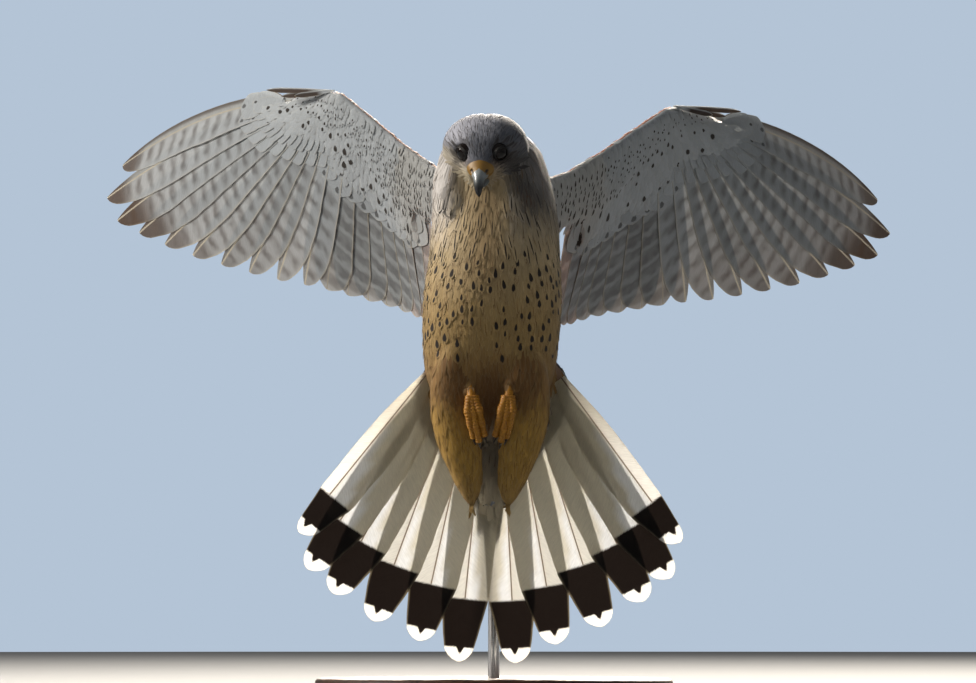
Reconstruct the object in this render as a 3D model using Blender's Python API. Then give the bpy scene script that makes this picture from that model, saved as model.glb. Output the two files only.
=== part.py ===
"""Male common kestrel hovering with raised wings and fanned tail, life size, on a display stand.

The bird faces -Y with its back to +Y, head up, and its own left is +X.
Sizes are in millimetres, and each mesh is turned to metres as it is made.
Places on the bird are measured from its own middle line, and ORIGIN moves them onto the stand.
"""

import math

import bmesh
import bpy
import numpy as np

MM = 0.001
GAP = 0.3  # clearance that touching nodes keep
ORIGIN = np.array([2.0, 20.0, 0.0])  # the middle of the stand's foot
AXIS_X = np.array([1.0, 0.0, 0.0])
AXIS_Y = np.array([0.0, 1.0, 0.0])
AXIS_Z = np.array([0.0, 0.0, 1.0])

# Stand: a round base, and one rod that ends in a blind hole in the lower back
BASE_RADIUS = 95.0
BASE_THICKNESS = 12.0
BASE_EDGE = 1.5
BASE_SIDES = 48
ROD_RADIUS = 3.0
ROD_TOP = 190.0
ROD_SIDES = 16
HOLE_LOW = 120.0  # the cutter of the rod's hole starts below the body

# Torso and neck sections: height, middle, half width, belly side, back side
TORSO_SECTIONS = (
    (134.0, 0.0, 6.0, -7.0, 2.0),
    (140.0, 0.0, 14.0, -12.0, 7.0),
    (150.0, 0.0, 23.0, -18.0, 13.0),
    (160.0, 0.0, 30.0, -22.5, 19.0),
    (172.0, 0.0, 34.5, -27.0, 24.5),
    (183.0, 0.2, 35.8, -31.5, 27.0),
    (194.0, 0.6, 36.6, -36.0, 28.5),
    (208.0, 1.2, 36.9, -39.0, 29.5),
    (220.0, 1.8, 36.2, -39.5, 30.0),
    (231.0, 2.4, 34.9, -38.5, 29.5),
    (246.0, 2.6, 34.2, -34.0, 28.0),
    (262.0, 2.4, 32.6, -28.0, 25.0),
    (273.0, 1.8, 30.6, -24.0, 23.0),
    (281.0, 0.8, 29.2, -19.0, 20.5),
    (289.0, 0.5, 26.2, -13.0, 17.0),
    (295.0, 0.2, 20.2, -9.0, 13.0),
)
NECK_CUT = 262.0
TORSO_RINGS = 18
NECK_RINGS = 8
BODY_SIDES = 24
BODY_POWER = 2.2  # of the superellipse: 2 is an ellipse

# Head, in its own axes: forward, half width, top and underside from its middle
HEAD_MIDDLE = np.array([-2.7, -15.0, 288.6])
HEAD_PITCH = math.radians(35)
HEAD_YAW = math.radians(9)
HEAD_SECTIONS = (
    (-21.5, 6.0, 4.6, -6.0),
    (-19.5, 11.0, 8.6, -10.0),
    (-15.0, 17.0, 13.0, -14.5),
    (-8.0, 21.6, 16.2, -17.0),
    (-1.0, 22.6, 17.0, -17.6),
    (5.0, 20.2, 16.0, -17.0),
    (9.0, 16.6, 14.2, -15.6),
    (12.5, 13.2, 11.8, -13.4),
    (16.0, 10.0, 8.8, -11.4),
    (19.0, 7.6, 5.6, -9.6),
)
HEAD_RINGS = 13
HEAD_SIDES = 20
HEAD_POWER = 2.15
HEAD_F = np.array([
    -math.sin(HEAD_YAW) * math.cos(HEAD_PITCH),
    -math.cos(HEAD_YAW) * math.cos(HEAD_PITCH),
    -math.sin(HEAD_PITCH),
])
HEAD_S = np.array([math.cos(HEAD_YAW), -math.sin(HEAD_YAW), 0.0])
HEAD_U = np.cross(HEAD_F, HEAD_S)
EYE_RADIUS = 5.5
EYE_OPENING = (12.0, 5.4, 11.0)  # forward, up and aside
EYE_TURN = math.radians(46)  # how far the gaze turns outwards from straight ahead
EYE_DEPTH = 4.4  # from the ball's middle to the opening
LID_RADIUS = 4.7
LID_THICKNESS = 1.0
LID_PARTS = 12
LID_SIDES = 6
LID_SINK = 0.4  # how far the lid's middle line sits inside the opening
MOUTH_LINE = 0.6  # half the height of the groove that runs back from the corner of the bill
# The groove's corners: forward, up and aside
MOUTH_PATH = ((15.0, -5.2, 7.2), (9.5, -6.4, 13.4), (7.0, -6.8, 16.4))

# Bill: along it, half width, top and underside from its middle line
BILL_START = (14.0, -1.2)
BILL_STRAIGHT = 6.8
BILL_BEND_RADIUS = 9.6
BILL_BEND = math.radians(80)
BILL_SECTIONS = (
    (0.0, 5.6, 4.9, -3.6),
    (0.3, 5.2, 4.5, -3.3),
    (0.5, 4.4, 3.9, -2.8),
    (0.7, 3.3, 3.0, -2.2),
    (0.88, 1.9, 1.8, -1.3),
    (1.0, 0.5, 0.5, -0.4),
)
BILL_RINGS = 11
LOWER_BILL_SECTIONS = (
    (13.0, 4.8, -5.0, -10.4),
    (19.0, 4.2, -4.95, -9.4),
    (22.5, 3.2, -5.1, -8.6),
    (24.6, 1.6, -5.6, -7.6),
)
NOSTRIL = (20.4, 1.0)
NOSTRIL_RADIUS = 0.65
NOSTRIL_SPAN = (2.6, 8.0)  # from the middle plane, inside the bill and outside it
NOSTRIL_RISE = 1.0
BILL_SIDES = 14

# Thighs, feathered lobes behind the feet: height, middle, half width, belly side, back side
THIGH_SECTIONS = (
    (101.5, 9.5, 1.4, -7.5, -5.0),
    (106.0, 10.0, 4.4, -9.5, -3.6),
    (113.0, 11.0, 7.4, -12.5, -2.4),
    (121.0, 12.8, 9.2, -15.5, -1.8),
    (131.0, 15.2, 11.3, -19.0, -1.6),
    (142.0, 17.0, 12.9, -22.0, -1.6),
    (153.0, 18.0, 13.6, -25.0, -3.0),
    (165.0, 18.0, 13.6, -27.6, -6.0),
    (176.0, 17.5, 12.0, -29.5, -9.0),
    (187.0, 17.0, 6.5, -29.5, -16.0),
)
THIGH_RINGS = 13
THIGH_SIDES = 16

# Feet with the toes closed, for the left foot
SHANK_TOP = (11.5, -20.0, 174.0)
SHANK_RADIUS = 2.2
KNUCKLE_RADIUS = 2.53
KNUCKLE = (9.4, -30.0, 157.0)
TOE_RADIUS = 1.75
TOE_ASIDE = (-3.1, 0.0, 3.1)
TOE_LOW = (19.5, 22.5, 20.5)
TOE_MEET = 0.08  # how far the toes close towards the middle one at their tips
TOE_LEAN = -3.6  # the toes reach towards the bird's middle line
TOE_BULGE = 3.4  # how far the toes curve out in front, and then how far back their tips lie
TOE_RETURN = 3.2
TOE_PAD = 0.09  # share of the radius by which each joint's pad stands out
HIND_TOE = 8.0
HIND_RADII = (1.9, 1.8, 1.6, 1.4)
TOE_SIDES = 8
CLAW_LENGTH = 7.0
CLAW_RADIUS = 1.1
CLAW_BEND = math.radians(70)
CLAW_TAPER = 0.86

# Tail fan: tips as measured from the fan's point, for one side, outermost first
FAN_POINT = np.array([3.2, 9.0, 216.0])
FAN_TURN = math.radians(1.4)
TAIL_TIPS = (
    (99.8, 130.0),
    (95.0, 149.0),
    (81.2, 161.5),
    (59.9, 175.3),
    (36.0, 185.1),
    (14.8, 195.5),
)
TAIL_OUTER_WEBS = (6.5, 9.0, 11.0, 12.0, 12.5, 13.0)
TAIL_INNER_WEBS = (15.5, 16.5, 16.5, 16.0, 15.5, 14.0)
TAIL_START = 58.0
TAIL_LEVEL = 8.6  # of the middle pair at the root
TAIL_STEP = 0.95  # each feather lies this far under the one inside it
TAIL_DIP = math.radians(2.5)
TAIL_CORE = (
    (102.0, 0.6, 6.0, 1.0, 8.8),
    (112.0, 0.8, 13.0, 0.4, 9.8),
    (124.0, 1.0, 21.0, 0.0, 10.8),
    (138.0, 1.3, 31.0, -0.2, 11.8),
    (148.0, 1.6, 37.0, -0.4, 12.2),
    (158.0, 2.0, 40.0, -0.6, 12.4),
    (168.0, 2.2, 39.0, -0.6, 12.4),
    (176.0, 2.4, 34.0, 0.0, 12.0),
)
TAIL_COVERTS = 5
TAIL_COVERT_TURN = math.radians(19)  # of the outermost ones
TAIL_COVERT_START = 70.0  # from the fan point
TAIL_COVERT_END = 128.0
TAIL_COVERT_LOSS = 10.0  # how much sooner the outermost ones end
TAIL_COVERT_WEB = 8.5
TAIL_COVERT_LEVELS = (0.9, 10.6)
TAIL_COVERT_STEP = 0.35

# Wing bones for the left wing, before the roll that both wings share
WING_MIDDLE = np.array([3.7, 0.0, 236.0])
WING_ROLL = math.radians(2.6)
SHOULDER = np.array([20.0, 12.0, 270.0])
ELBOW = np.array([52.0, 50.0, 268.0])
WRIST = np.array([85.0, 63.0, 310.0])
HAND_DIRECTION = np.array([0.460, 0.888, 0.0])
DORSAL = np.array([-0.8, 0.45, 0.3])

# Flight feathers from the body outwards: place along the bones, then where the tip is.
# The place is measured from the wrist: negative along the arm, positive along the hand.
ARM_FEATHERS = (
    (-66.0, 35.0, 66.0, 199.5),
    (-54.0, 37.5, 78.0, 199.0),
    (-44.0, 41.5, 91.0, 199.8),
    (-35.0, 48.0, 103.0, 202.2),
    (-26.5, 56.5, 113.5, 204.7),
    (-18.5, 66.5, 122.5, 206.9),
    (-11.6, 77.4, 130.5, 209.2),
    (-4.9, 88.7, 139.5, 211.8),
)
HAND_FEATHERS = (
    (4.6, 100.6, 149.5, 213.9),
    (8.8, 115.0, 162.5, 216.0),
    (13.0, 130.2, 176.5, 219.2),
    (17.6, 145.3, 191.0, 222.8),
    (22.2, 160.8, 206.0, 226.8),
    (26.8, 176.0, 221.5, 232.0),
    (31.3, 190.0, 237.0, 237.6),
    (35.8, 202.1, 250.0, 243.6),
    (40.2, 208.2, 257.5, 255.3),
    (44.8, 200.7, 255.0, 272.8),
)
# How far the outer primaries curve towards the leading edge, innermost of them first
OUTER_BOWS = (0.5, 1.5, 3.0, 5.0, 7.0, 9.5)
ARM_WEBS = (9.0, 13.0)  # the web on the leading side, then the one on the trailing side
HAND_WEBS = (5.0, 15.0)
VANE_THICKNESS = 0.55
VANE_STEP = 1.05  # how far each web lies over or under the next shaft
COVERT_STEP = 0.5
WEB_PAST_SHAFT = 3.0  # how far a web may reach past the next shaft
COVERT_REACH_ARM = 0.47
COVERT_REACH_HAND = 0.34
COVERT_LEVEL = 2.35
ARM_COVERT_WEBS = (8.0, 9.0)
HAND_COVERT_WEBS = (4.6, 5.4)
WRIST_COVERT_WEB = 3.5  # the webs that face each other across the wrist

# Arm core: leading edge, rear edge and thickness from the body outwards
ARM_FRONT = (
    (17.0, 4.0, 272.0),
    (36.0, 19.0, 279.0),
    (53.0, 33.5, 290.5),
    (70.0, 47.5, 303.5),
    (86.0, 60.0, 315.0),
)
ARM_REAR = (
    (22.0, 24.0, 244.0),
    (38.0, 41.0, 253.0),
    (52.5, 56.0, 260.0),
    (69.5, 62.5, 281.0),
    (85.7, 68.5, 303.0),
)
ARM_THICKNESS = (12.0, 10.0, 9.2, 8.3, 7.4)
# Hand core: place along the hand, reach to the front and to the rear, thickness
HAND_CORE = (
    (12.0, 6.4, 9.0, 6.6),
    (26.0, 5.6, 9.0, 6.2),
    (40.0, 4.4, 8.0, 5.8),
    (50.0, 3.0, 6.0, 5.0),
    (56.0, 1.2, 2.6, 2.6),
)
# Section of the fleshy wing: share of the chord, then share of the thickness
AIRFOIL = (
    (0.0, 0.0),
    (0.10, 0.40),
    (0.35, 0.50),
    (0.70, 0.46),
    (1.0, 0.40),
    (1.0, -0.40),
    (0.70, -0.44),
    (0.35, -0.46),
    (0.10, -0.36),
)
ALULA = ((5.0, 124.0, 103.0, 312.0), (9.0, 116.0, 97.0, 309.0))  # place on the hand, then the tip
ALULA_WIDTH = 7.5
ALULA_RISE = 3.5  # from the bone to the roots

# Along each kind of vane: place on the shaft, then the share of the leading and trailing webs
PRIMARY_PROFILE = (
    (0.0, 0.3, 0.06),
    (0.12, 0.5, 0.22),
    (0.32, 1.0, 0.9),
    (0.6, 1.0, 0.95),
    (0.86, 0.75, 0.75),
    (1.0, 0.1, 0.1),
)
SECONDARY_PROFILE = ((0.0, 0.2, 0.14), (0.34, 1.0, 1.0), (0.93, 0.95, 0.9), (1.0, 0.3, 0.3))
COVERT_PROFILE = ((0.0, 0.3, 0.25), (0.75, 1.0, 1.0), (1.0, 0.25, 0.25))
TAIL_PROFILE = ((0.0, 0.3, 0.3), (0.3, 0.85, 0.85), (0.75, 0.95, 0.9), (0.96, 0.66, 0.5), (1.0, 0.35, 0.15))


def unit(vector):
    return np.asarray(vector, float) / np.linalg.norm(vector)


def smooth_rows(rows, count):
    """Resamples rows of numbers, evenly along the first column, on a monotone cubic curve."""
    rows = np.asarray(rows, float)
    place = rows[:, 0]
    wanted = np.linspace(place[0], place[-1], count)
    steps = np.diff(place)
    made = [wanted]
    for values in rows[:, 1:].T:
        slopes = np.diff(values) / steps
        tangents = np.empty(len(values))
        tangents[0] = slopes[0]
        tangents[-1] = slopes[-1]
        tangents[1:-1] = np.where(slopes[:-1] * slopes[1:] > 0, 0.5 * (slopes[:-1] + slopes[1:]), 0.0)
        index = np.clip(np.searchsorted(place, wanted, side="right") - 1, 0, len(steps) - 1)
        width = steps[index]
        t = (wanted - place[index]) / width
        made.append(
            (2 * t**3 - 3 * t**2 + 1) * values[index]
            + (t**3 - 2 * t**2 + t) * width * tangents[index]
            + (3 * t**2 - 2 * t**3) * values[index + 1]
            + (t**3 - t**2) * width * tangents[index + 1]
        )
    return np.stack(made, axis=1)


def closed_loft(rings):
    """Triangles of a skin through rings of equal length, with a fan over each end."""
    rings = [np.asarray(ring, float) for ring in rings]
    sides = len(rings[0])
    points = np.concatenate(rings + [[rings[0].mean(axis=0)], [rings[-1].mean(axis=0)]])
    first_middle = len(rings) * sides
    last = (len(rings) - 1) * sides
    triangles = []
    for row in range(len(rings) - 1):
        for side in range(sides):
            a = row * sides + side
            b = row * sides + (side + 1) % sides
            triangles.append((a, b, b + sides))
            triangles.append((a, b + sides, a + sides))
    for side in range(sides):
        after = (side + 1) % sides
        triangles.append((first_middle, after, side))
        triangles.append((first_middle + 1, last + side, last + after))
    return points, triangles


def facing_out(points, triangles):
    corners = points[np.asarray(triangles)]
    volume = np.einsum("ij,ij->i", corners[:, 0], np.cross(corners[:, 1], corners[:, 2])).sum()
    return [t[::-1] for t in triangles] if volume < 0 else triangles


def make_object(name, points, triangles):
    """A mesh object from millimetres on the bird, moved onto the stand and turned to metres."""
    points = np.asarray(points, float) - ORIGIN
    mesh = bpy.data.meshes.new(name)
    mesh.from_pydata((points * MM).tolist(), [], [tuple(t) for t in facing_out(points, triangles)])
    made = bpy.data.objects.new(name, mesh)
    bpy.context.scene.collection.objects.link(made)
    return made


def superellipse(sides, power):
    turn = 2 * math.pi * np.arange(sides) / sides
    across = np.sign(np.cos(turn)) * np.abs(np.cos(turn)) ** (2 / power)
    deep = np.sign(np.sin(turn)) * np.abs(np.sin(turn)) ** (2 / power)
    return across, deep


def upright_rings(rows, sides, power, grow=0.0):
    """Rings of a body that stands along Z, each from a middle, a half width and two depths."""
    across, deep = superellipse(sides, power)
    rings = []
    for height, middle, half_width, front, back in rows:
        centre = 0.5 * (front + back)
        reach = 0.5 * (back - front) + grow
        x = middle + (half_width + grow) * across
        y = centre + reach * deep
        rings.append(np.stack([x, y, np.full(sides, height)], axis=1))
    return rings


def lengthened(rows, ends):
    """The same rows, with the first and last moved out along the body."""
    rows = np.array(rows, float)
    rows[0, 0] -= ends
    rows[-1, 0] += ends
    return rows


def split_rows(rows, cut, count_below, count_above):
    """Rows below and above a cut, each side ending half a gap away from it."""
    fine = smooth_rows(rows, 241)
    below = fine[fine[:, 0] <= cut - GAP / 2]
    above = fine[fine[:, 0] >= cut + GAP / 2]
    edge = np.array([np.interp(cut, fine[:, 0], column) for column in fine.T])
    low_edge = edge.copy()
    low_edge[0] = cut - GAP / 2
    high_edge = edge.copy()
    high_edge[0] = cut + GAP / 2
    below = np.vstack([below, low_edge])
    above = np.vstack([high_edge, above])
    pick_below = np.linspace(0, len(below) - 1, count_below).round().astype(int)
    pick_above = np.linspace(0, len(above) - 1, count_above).round().astype(int)
    return below[pick_below], above[pick_above]


def sphere(name, middle, radius, columns=16, rows=10):
    rings = []
    for row in range(1, rows):
        lift = math.pi * row / rows - math.pi / 2
        turn = 2 * math.pi * np.arange(columns) / columns
        flat = math.cos(lift) * radius
        height = np.full(columns, math.sin(lift) * radius)
        ring = np.stack([flat * np.cos(turn), flat * np.sin(turn), height], axis=1)
        rings.append(np.asarray(middle) + ring)
    points, triangles = closed_loft(rings)
    points[-2] = np.asarray(middle) - AXIS_Z * radius
    points[-1] = np.asarray(middle) + AXIS_Z * radius
    return make_object(name, points, triangles)


def frames_along(path, guide):
    """For each point of a path, two directions across it."""
    path = np.asarray(path, float)
    ways = np.gradient(path, axis=0)
    frames = []
    for way in ways:
        side = unit(np.cross(way, guide))
        frames.append((side, unit(np.cross(side, way))))
    return frames


def tube(name, path, radii, sides, guide=AXIS_X):
    turn = 2 * math.pi * np.arange(sides) / sides
    rings = []
    for point, radius, (side, lift) in zip(path, radii, frames_along(path, guide)):
        rings.append(point + radius * (np.outer(np.cos(turn), side) + np.outer(np.sin(turn), lift)))
    return make_object(name, *closed_loft(rings))


def remove(*objects):
    for gone in objects:
        mesh = gone.data
        bpy.data.objects.remove(gone)
        if mesh.users == 0:
            bpy.data.meshes.remove(mesh)


def bake(target):
    """Puts the result of the modifiers into the mesh."""
    bpy.context.view_layer.update()
    graph = bpy.context.evaluated_depsgraph_get()
    made = bpy.data.meshes.new_from_object(target.evaluated_get(graph))
    target.modifiers.clear()
    old = target.data
    target.data = made
    bpy.data.meshes.remove(old)


def keep_largest(target):
    """Leaves only the largest closed surface of the mesh."""
    shape = bmesh.new()
    shape.from_mesh(target.data)
    bmesh.ops.remove_doubles(shape, verts=shape.verts, dist=2e-7)
    bmesh.ops.triangulate(shape, faces=shape.faces)
    unseen = set(shape.faces)
    islands = []
    while unseen:
        queue = [unseen.pop()]
        island = set(queue)
        while queue:
            face = queue.pop()
            for edge in face.edges:
                for other in edge.link_faces:
                    if other in unseen:
                        unseen.discard(other)
                        island.add(other)
                        queue.append(other)
        islands.append(island)

    def volume(island):
        total = 0.0
        for face in island:
            a, b, c = (vert.co for vert in face.verts)
            total += a.dot(b.cross(c))
        return abs(total)

    islands.sort(key=volume, reverse=True)
    for island in islands[1:]:
        bmesh.ops.delete(shape, geom=list(island), context="FACES")
    loose = [vert for vert in shape.verts if not vert.link_faces]
    bmesh.ops.delete(shape, geom=loose, context="VERTS")
    shape.to_mesh(target.data)
    shape.free()


def fuse(name, pieces):
    """One closed body from overlapping closed pieces."""
    whole = pieces[0]
    others = bpy.data.collections.new("to fuse")
    for piece in pieces[1:]:
        others.objects.link(piece)
    if len(pieces) > 1:
        union = whole.modifiers.new("fuse", "BOOLEAN")
        union.operation = "UNION"
        union.solver = "EXACT"
        union.operand_type = "COLLECTION"
        union.collection = others
        bake(whole)
    remove(*pieces[1:])
    bpy.data.collections.remove(others)
    keep_largest(whole)
    whole.name = name
    whole.data.name = name
    return whole


def cut(target, *cutters):
    """Takes the cutters away from the target, and then removes them."""
    for cutter in cutters:
        away = target.modifiers.new("cut", "BOOLEAN")
        away.operation = "DIFFERENCE"
        away.solver = "EXACT"
        away.use_self = True
        away.object = cutter
        bake(target)
    remove(*cutters)
    keep_largest(target)
    return target


def swollen(source, amount=GAP):
    """A copy of a mesh object with its surface moved out."""
    copy = source.copy()
    copy.data = source.data.copy()
    bpy.context.scene.collection.objects.link(copy)
    shape = bmesh.new()
    shape.from_mesh(copy.data)
    shape.normal_update()
    moves = []
    for vert in shape.verts:
        normal = vert.normal
        lean = max(0.45, min((face.normal.dot(normal) for face in vert.link_faces), default=1.0))
        moves.append(normal * (amount * MM / lean))
    for vert, move in zip(shape.verts, moves):
        vert.co += move
    shape.to_mesh(copy.data)
    shape.free()
    return copy


def finish(target, colour, roughness=0.6, metallic=0.0):
    """Gives a node its own material and shading, and puts it in the object's collection."""
    material = bpy.data.materials.new(target.name)
    material.use_nodes = True
    shader = next(node for node in material.node_tree.nodes if node.type == "BSDF_PRINCIPLED")
    shader.inputs["Base Color"].default_value = (*colour, 1.0)
    shader.inputs["Roughness"].default_value = roughness
    shader.inputs["Metallic"].default_value = metallic
    material.diffuse_color = (*colour, 1.0)
    target.data.materials.clear()
    target.data.materials.append(material)
    target.data.polygons.foreach_set("use_smooth", [True] * len(target.data.polygons))
    for collection in list(target.users_collection):
        collection.objects.unlink(target)
    bpy.data.collections["common_kestrel"].objects.link(target)


def vane_mesh(rings):
    """Closes a vane of flat rings, with its two faces split along the same diagonals.

    Each ring runs over the upper face from the leading edge to the trailing one, and back below.
    """
    rows, corners = rings.shape[:2]
    across = corners // 2
    triangles = []
    for row in range(rows - 1):
        near = corners * row
        far = near + corners
        for step in range(across - 1):
            a, b = near + step, near + step + 1
            c, d = far + step, far + step + 1
            triangles += [(a, b, d), (a, d, c)]
            e, f = near + corners - 1 - step, near + corners - 2 - step
            g, h = far + corners - 1 - step, far + corners - 2 - step
            triangles += [(e, h, f), (e, g, h)]
        for top, low in ((across - 1, across), (corners - 1, 0)):
            a, b = near + top, near + low
            c, d = far + top, far + low
            triangles += [(a, b, d), (a, d, c)]
    last = corners * (rows - 1)
    for step in range(across - 1):
        a, b = step, step + 1
        c, d = corners - 2 - step, corners - 1 - step
        triangles += [(a, d, c), (a, c, b)]
        triangles += [(last + a, last + b, last + c), (last + a, last + c, last + d)]
    return make_object("vane", rings.reshape(-1, 3), triangles)


def head_point(forward, up, aside=0.0):
    return HEAD_MIDDLE + forward * HEAD_F + up * HEAD_U + aside * HEAD_S


def build_stand():
    turn = 2 * math.pi * np.arange(BASE_SIDES) / BASE_SIDES
    circle = np.stack([np.cos(turn), np.sin(turn), np.zeros(BASE_SIDES)], axis=1)
    rings = []
    for radius, height in (
        (BASE_RADIUS - BASE_EDGE, 0.0),
        (BASE_RADIUS, BASE_EDGE),
        (BASE_RADIUS, BASE_THICKNESS - BASE_EDGE),
        (BASE_RADIUS - BASE_EDGE, BASE_THICKNESS),
    ):
        rings.append(ORIGIN + circle * radius + AXIS_Z * height)
    base = make_object("stand_base", *closed_loft(rings))
    finish(base, (0.05, 0.05, 0.055), roughness=0.4)

    foot = ORIGIN + AXIS_Z * (BASE_THICKNESS + GAP)
    head = ORIGIN + AXIS_Z * ROD_TOP
    rod = tube("stand_rod", [foot, head], [ROD_RADIUS] * 2, ROD_SIDES)
    finish(rod, (0.6, 0.6, 0.62), roughness=0.3, metallic=1.0)


def rod_hole():
    low = ORIGIN + AXIS_Z * HOLE_LOW
    high = ORIGIN + AXIS_Z * (ROD_TOP + GAP)
    return tube("hole", [low, high], [ROD_RADIUS + 1.4 * GAP] * 2, ROD_SIDES)


def head_rings(grow=0.0):
    rows = smooth_rows(HEAD_SECTIONS, HEAD_RINGS)
    across, deep = superellipse(HEAD_SIDES, HEAD_POWER)
    rings = []
    for index, (forward, half_width, top, low) in enumerate(rows):
        if grow and index in (0, HEAD_RINGS - 1):
            forward += math.copysign(grow, index - 1)
        centre = 0.5 * (top + low)
        reach = 0.5 * (top - low) + grow
        ring = []
        for a, d in zip(across, deep):
            ring.append(head_point(forward, centre + reach * d, (half_width + grow) * a))
        rings.append(np.array(ring))
    return rings


def gaze(side):
    return unit(math.cos(EYE_TURN) * HEAD_F + 0.1 * HEAD_U + side * math.sin(EYE_TURN) * HEAD_S)


def eye_middle(side):
    forward, up, aside = EYE_OPENING
    return head_point(forward, up, side * aside) - gaze(side) * EYE_DEPTH


def lid(side):
    """A ring of soft skin around the eye, closed on itself."""
    way = gaze(side)
    flat = unit(np.cross(way, HEAD_U))
    rise = np.cross(flat, way)
    middle = eye_middle(side) + way * (EYE_DEPTH - LID_SINK)
    rings = []
    for index in range(LID_PARTS):
        turn = 2 * math.pi * index / LID_PARTS
        out = math.cos(turn) * flat + math.sin(turn) * rise
        ring = []
        for corner in range(LID_SIDES):
            bend = 2 * math.pi * corner / LID_SIDES
            ring.append(
                middle
                + out * (LID_RADIUS + LID_THICKNESS * math.cos(bend))
                + way * LID_THICKNESS * math.sin(bend)
            )
        rings.append(np.array(ring))
    points = np.concatenate(rings)
    triangles = []
    for index in range(LID_PARTS):
        after = (index + 1) % LID_PARTS
        for corner in range(LID_SIDES):
            other = (corner + 1) % LID_SIDES
            a, b = index * LID_SIDES + corner, index * LID_SIDES + other
            c, d = after * LID_SIDES + other, after * LID_SIDES + corner
            triangles += [(a, b, c), (a, c, d)]
    return make_object("lid", points, triangles)


def mouth_groove(side):
    """A thin wedge that marks the line of the mouth on the face."""
    outward = unit(0.45 * HEAD_F + side * 0.85 * HEAD_S)
    rings = []
    for forward, up, aside in MOUTH_PATH:
        point = head_point(forward, up, side * aside)
        inner = point - outward * 0.5
        outer = point + outward * 4.0
        rings.append(np.array([
            inner,
            outer + HEAD_U * MOUTH_LINE,
            outer - HEAD_U * MOUTH_LINE,
        ]))
    return make_object("groove", *closed_loft(rings))


def build_head(body_copy):
    eyes = {}
    head = make_object("head", *closed_loft(head_rings()))
    head = fuse("head", [head, lid(1), lid(-1)])
    for side in (1, -1):
        cut(head, sphere("socket", eye_middle(side), EYE_RADIUS + GAP + 0.1, 14, 10))
        cut(head, mouth_groove(side))
        eyes[side] = sphere(
            "eye_left" if side > 0 else "eye_right", eye_middle(side), EYE_RADIUS, 16, 10
        )
    cut(head, body_copy)
    for eye in eyes.values():
        finish(eye, (0.02, 0.012, 0.008), roughness=0.08)
    finish(head, (0.42, 0.42, 0.43), roughness=0.85)
    return head


def bill_path():
    """Points of the upper bill's middle line, in forward and up, with the way it points there."""
    forward, up = BILL_START
    total = BILL_STRAIGHT + BILL_BEND_RADIUS * BILL_BEND
    path = []
    for place in np.linspace(0.0, 1.0, BILL_RINGS):
        run = place * total
        if run <= BILL_STRAIGHT:
            path.append((place, forward + run, up, 0.0))
            continue
        turn = (run - BILL_STRAIGHT) / BILL_BEND_RADIUS
        path.append((
            place,
            forward + BILL_STRAIGHT + BILL_BEND_RADIUS * math.sin(turn),
            up - BILL_BEND_RADIUS * (1 - math.cos(turn)),
            turn,
        ))
    return path


def build_bill():
    rows = smooth_rows(BILL_SECTIONS, BILL_RINGS)
    across, deep = superellipse(BILL_SIDES, 2.0)
    rings = []
    for (_, forward, up, turn), (_, half_width, top, low) in zip(bill_path(), rows):
        rise = math.cos(turn) * HEAD_U + math.sin(turn) * HEAD_F
        middle = head_point(forward, up) + rise * 0.5 * (top + low)
        reach = 0.5 * (top - low)
        ring = []
        for a, d in zip(across, deep):
            ring.append(middle + HEAD_S * half_width * a + rise * reach * d)
        rings.append(np.array(ring))
    upper = make_object("bill_upper", *closed_loft(rings))
    for side in (1, -1):
        inner = head_point(NOSTRIL[0], NOSTRIL[1], side * NOSTRIL_SPAN[0])
        outer = head_point(NOSTRIL[0], NOSTRIL[1] + NOSTRIL_RISE, side * NOSTRIL_SPAN[1])
        cut(upper, tube("nostril", [inner, outer], [NOSTRIL_RADIUS] * 2, 10, HEAD_F))

    rings = []
    for forward, half_width, top, low in smooth_rows(LOWER_BILL_SECTIONS, 6):
        centre = 0.5 * (top + low)
        reach = 0.5 * (top - low)
        ring = []
        for a, d in zip(across, deep):
            level = d if d < 0 else 0.5 * d
            ring.append(head_point(forward, centre + reach * level, half_width * a))
        rings.append(np.array(ring))
    lower = make_object("bill_lower", *closed_loft(rings))
    cut(lower, swollen(upper))
    for part in (upper, lower):
        cut(part, make_object("face", *closed_loft(head_rings(GAP))))
    finish(upper, (0.22, 0.25, 0.3), roughness=0.35)
    finish(lower, (0.22, 0.25, 0.3), roughness=0.35)


def rolled(points, side):
    """Both wings share one roll about the bird's long axis; the right one is mirrored first."""
    points = np.atleast_2d(np.asarray(points, float)).copy()
    points[:, 0] *= side
    lean = points - np.array([0.0, 0.0, WING_MIDDLE[2]])
    turned = points.copy()
    turned[:, 0] = math.cos(WING_ROLL) * lean[:, 0] + math.sin(WING_ROLL) * lean[:, 2]
    turned[:, 2] = math.cos(WING_ROLL) * lean[:, 2] - math.sin(WING_ROLL) * lean[:, 0]
    return turned + WING_MIDDLE


def bone_place(place):
    """A point on the wing's bones, from its distance to the wrist."""
    if place >= 0:
        return WRIST + HAND_DIRECTION * place
    arm = np.linalg.norm(WRIST - ELBOW)
    if place >= -arm:
        return WRIST + unit(ELBOW - WRIST) * -place
    return ELBOW + unit(SHOULDER - ELBOW) * (-place - arm)


def flight_shafts():
    """Roots and tips of the left wing's flight feathers, body side first, and one more at each end."""
    roots = []
    tips = []
    for place, *tip in ARM_FEATHERS + HAND_FEATHERS:
        roots.append(bone_place(place))
        tips.append(np.array(tip))
    for line in (roots, tips):
        line.insert(0, 2 * line[0] - line[1])
        line.append(2 * line[-1] - line[-2])
    return np.array(roots), np.array(tips)


def shaft_points(roots, tips, place):
    """The point of every shaft at one place along it, with the curve of the outer primaries."""
    points = roots + (tips - roots) * place
    first = len(roots) - 1 - len(OUTER_BOWS)
    for index, bow in enumerate(OUTER_BOWS + OUTER_BOWS[-1:]):
        points[first + index] += AXIS_Z * (4 * bow * place * (1 - place))
    return points


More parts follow.
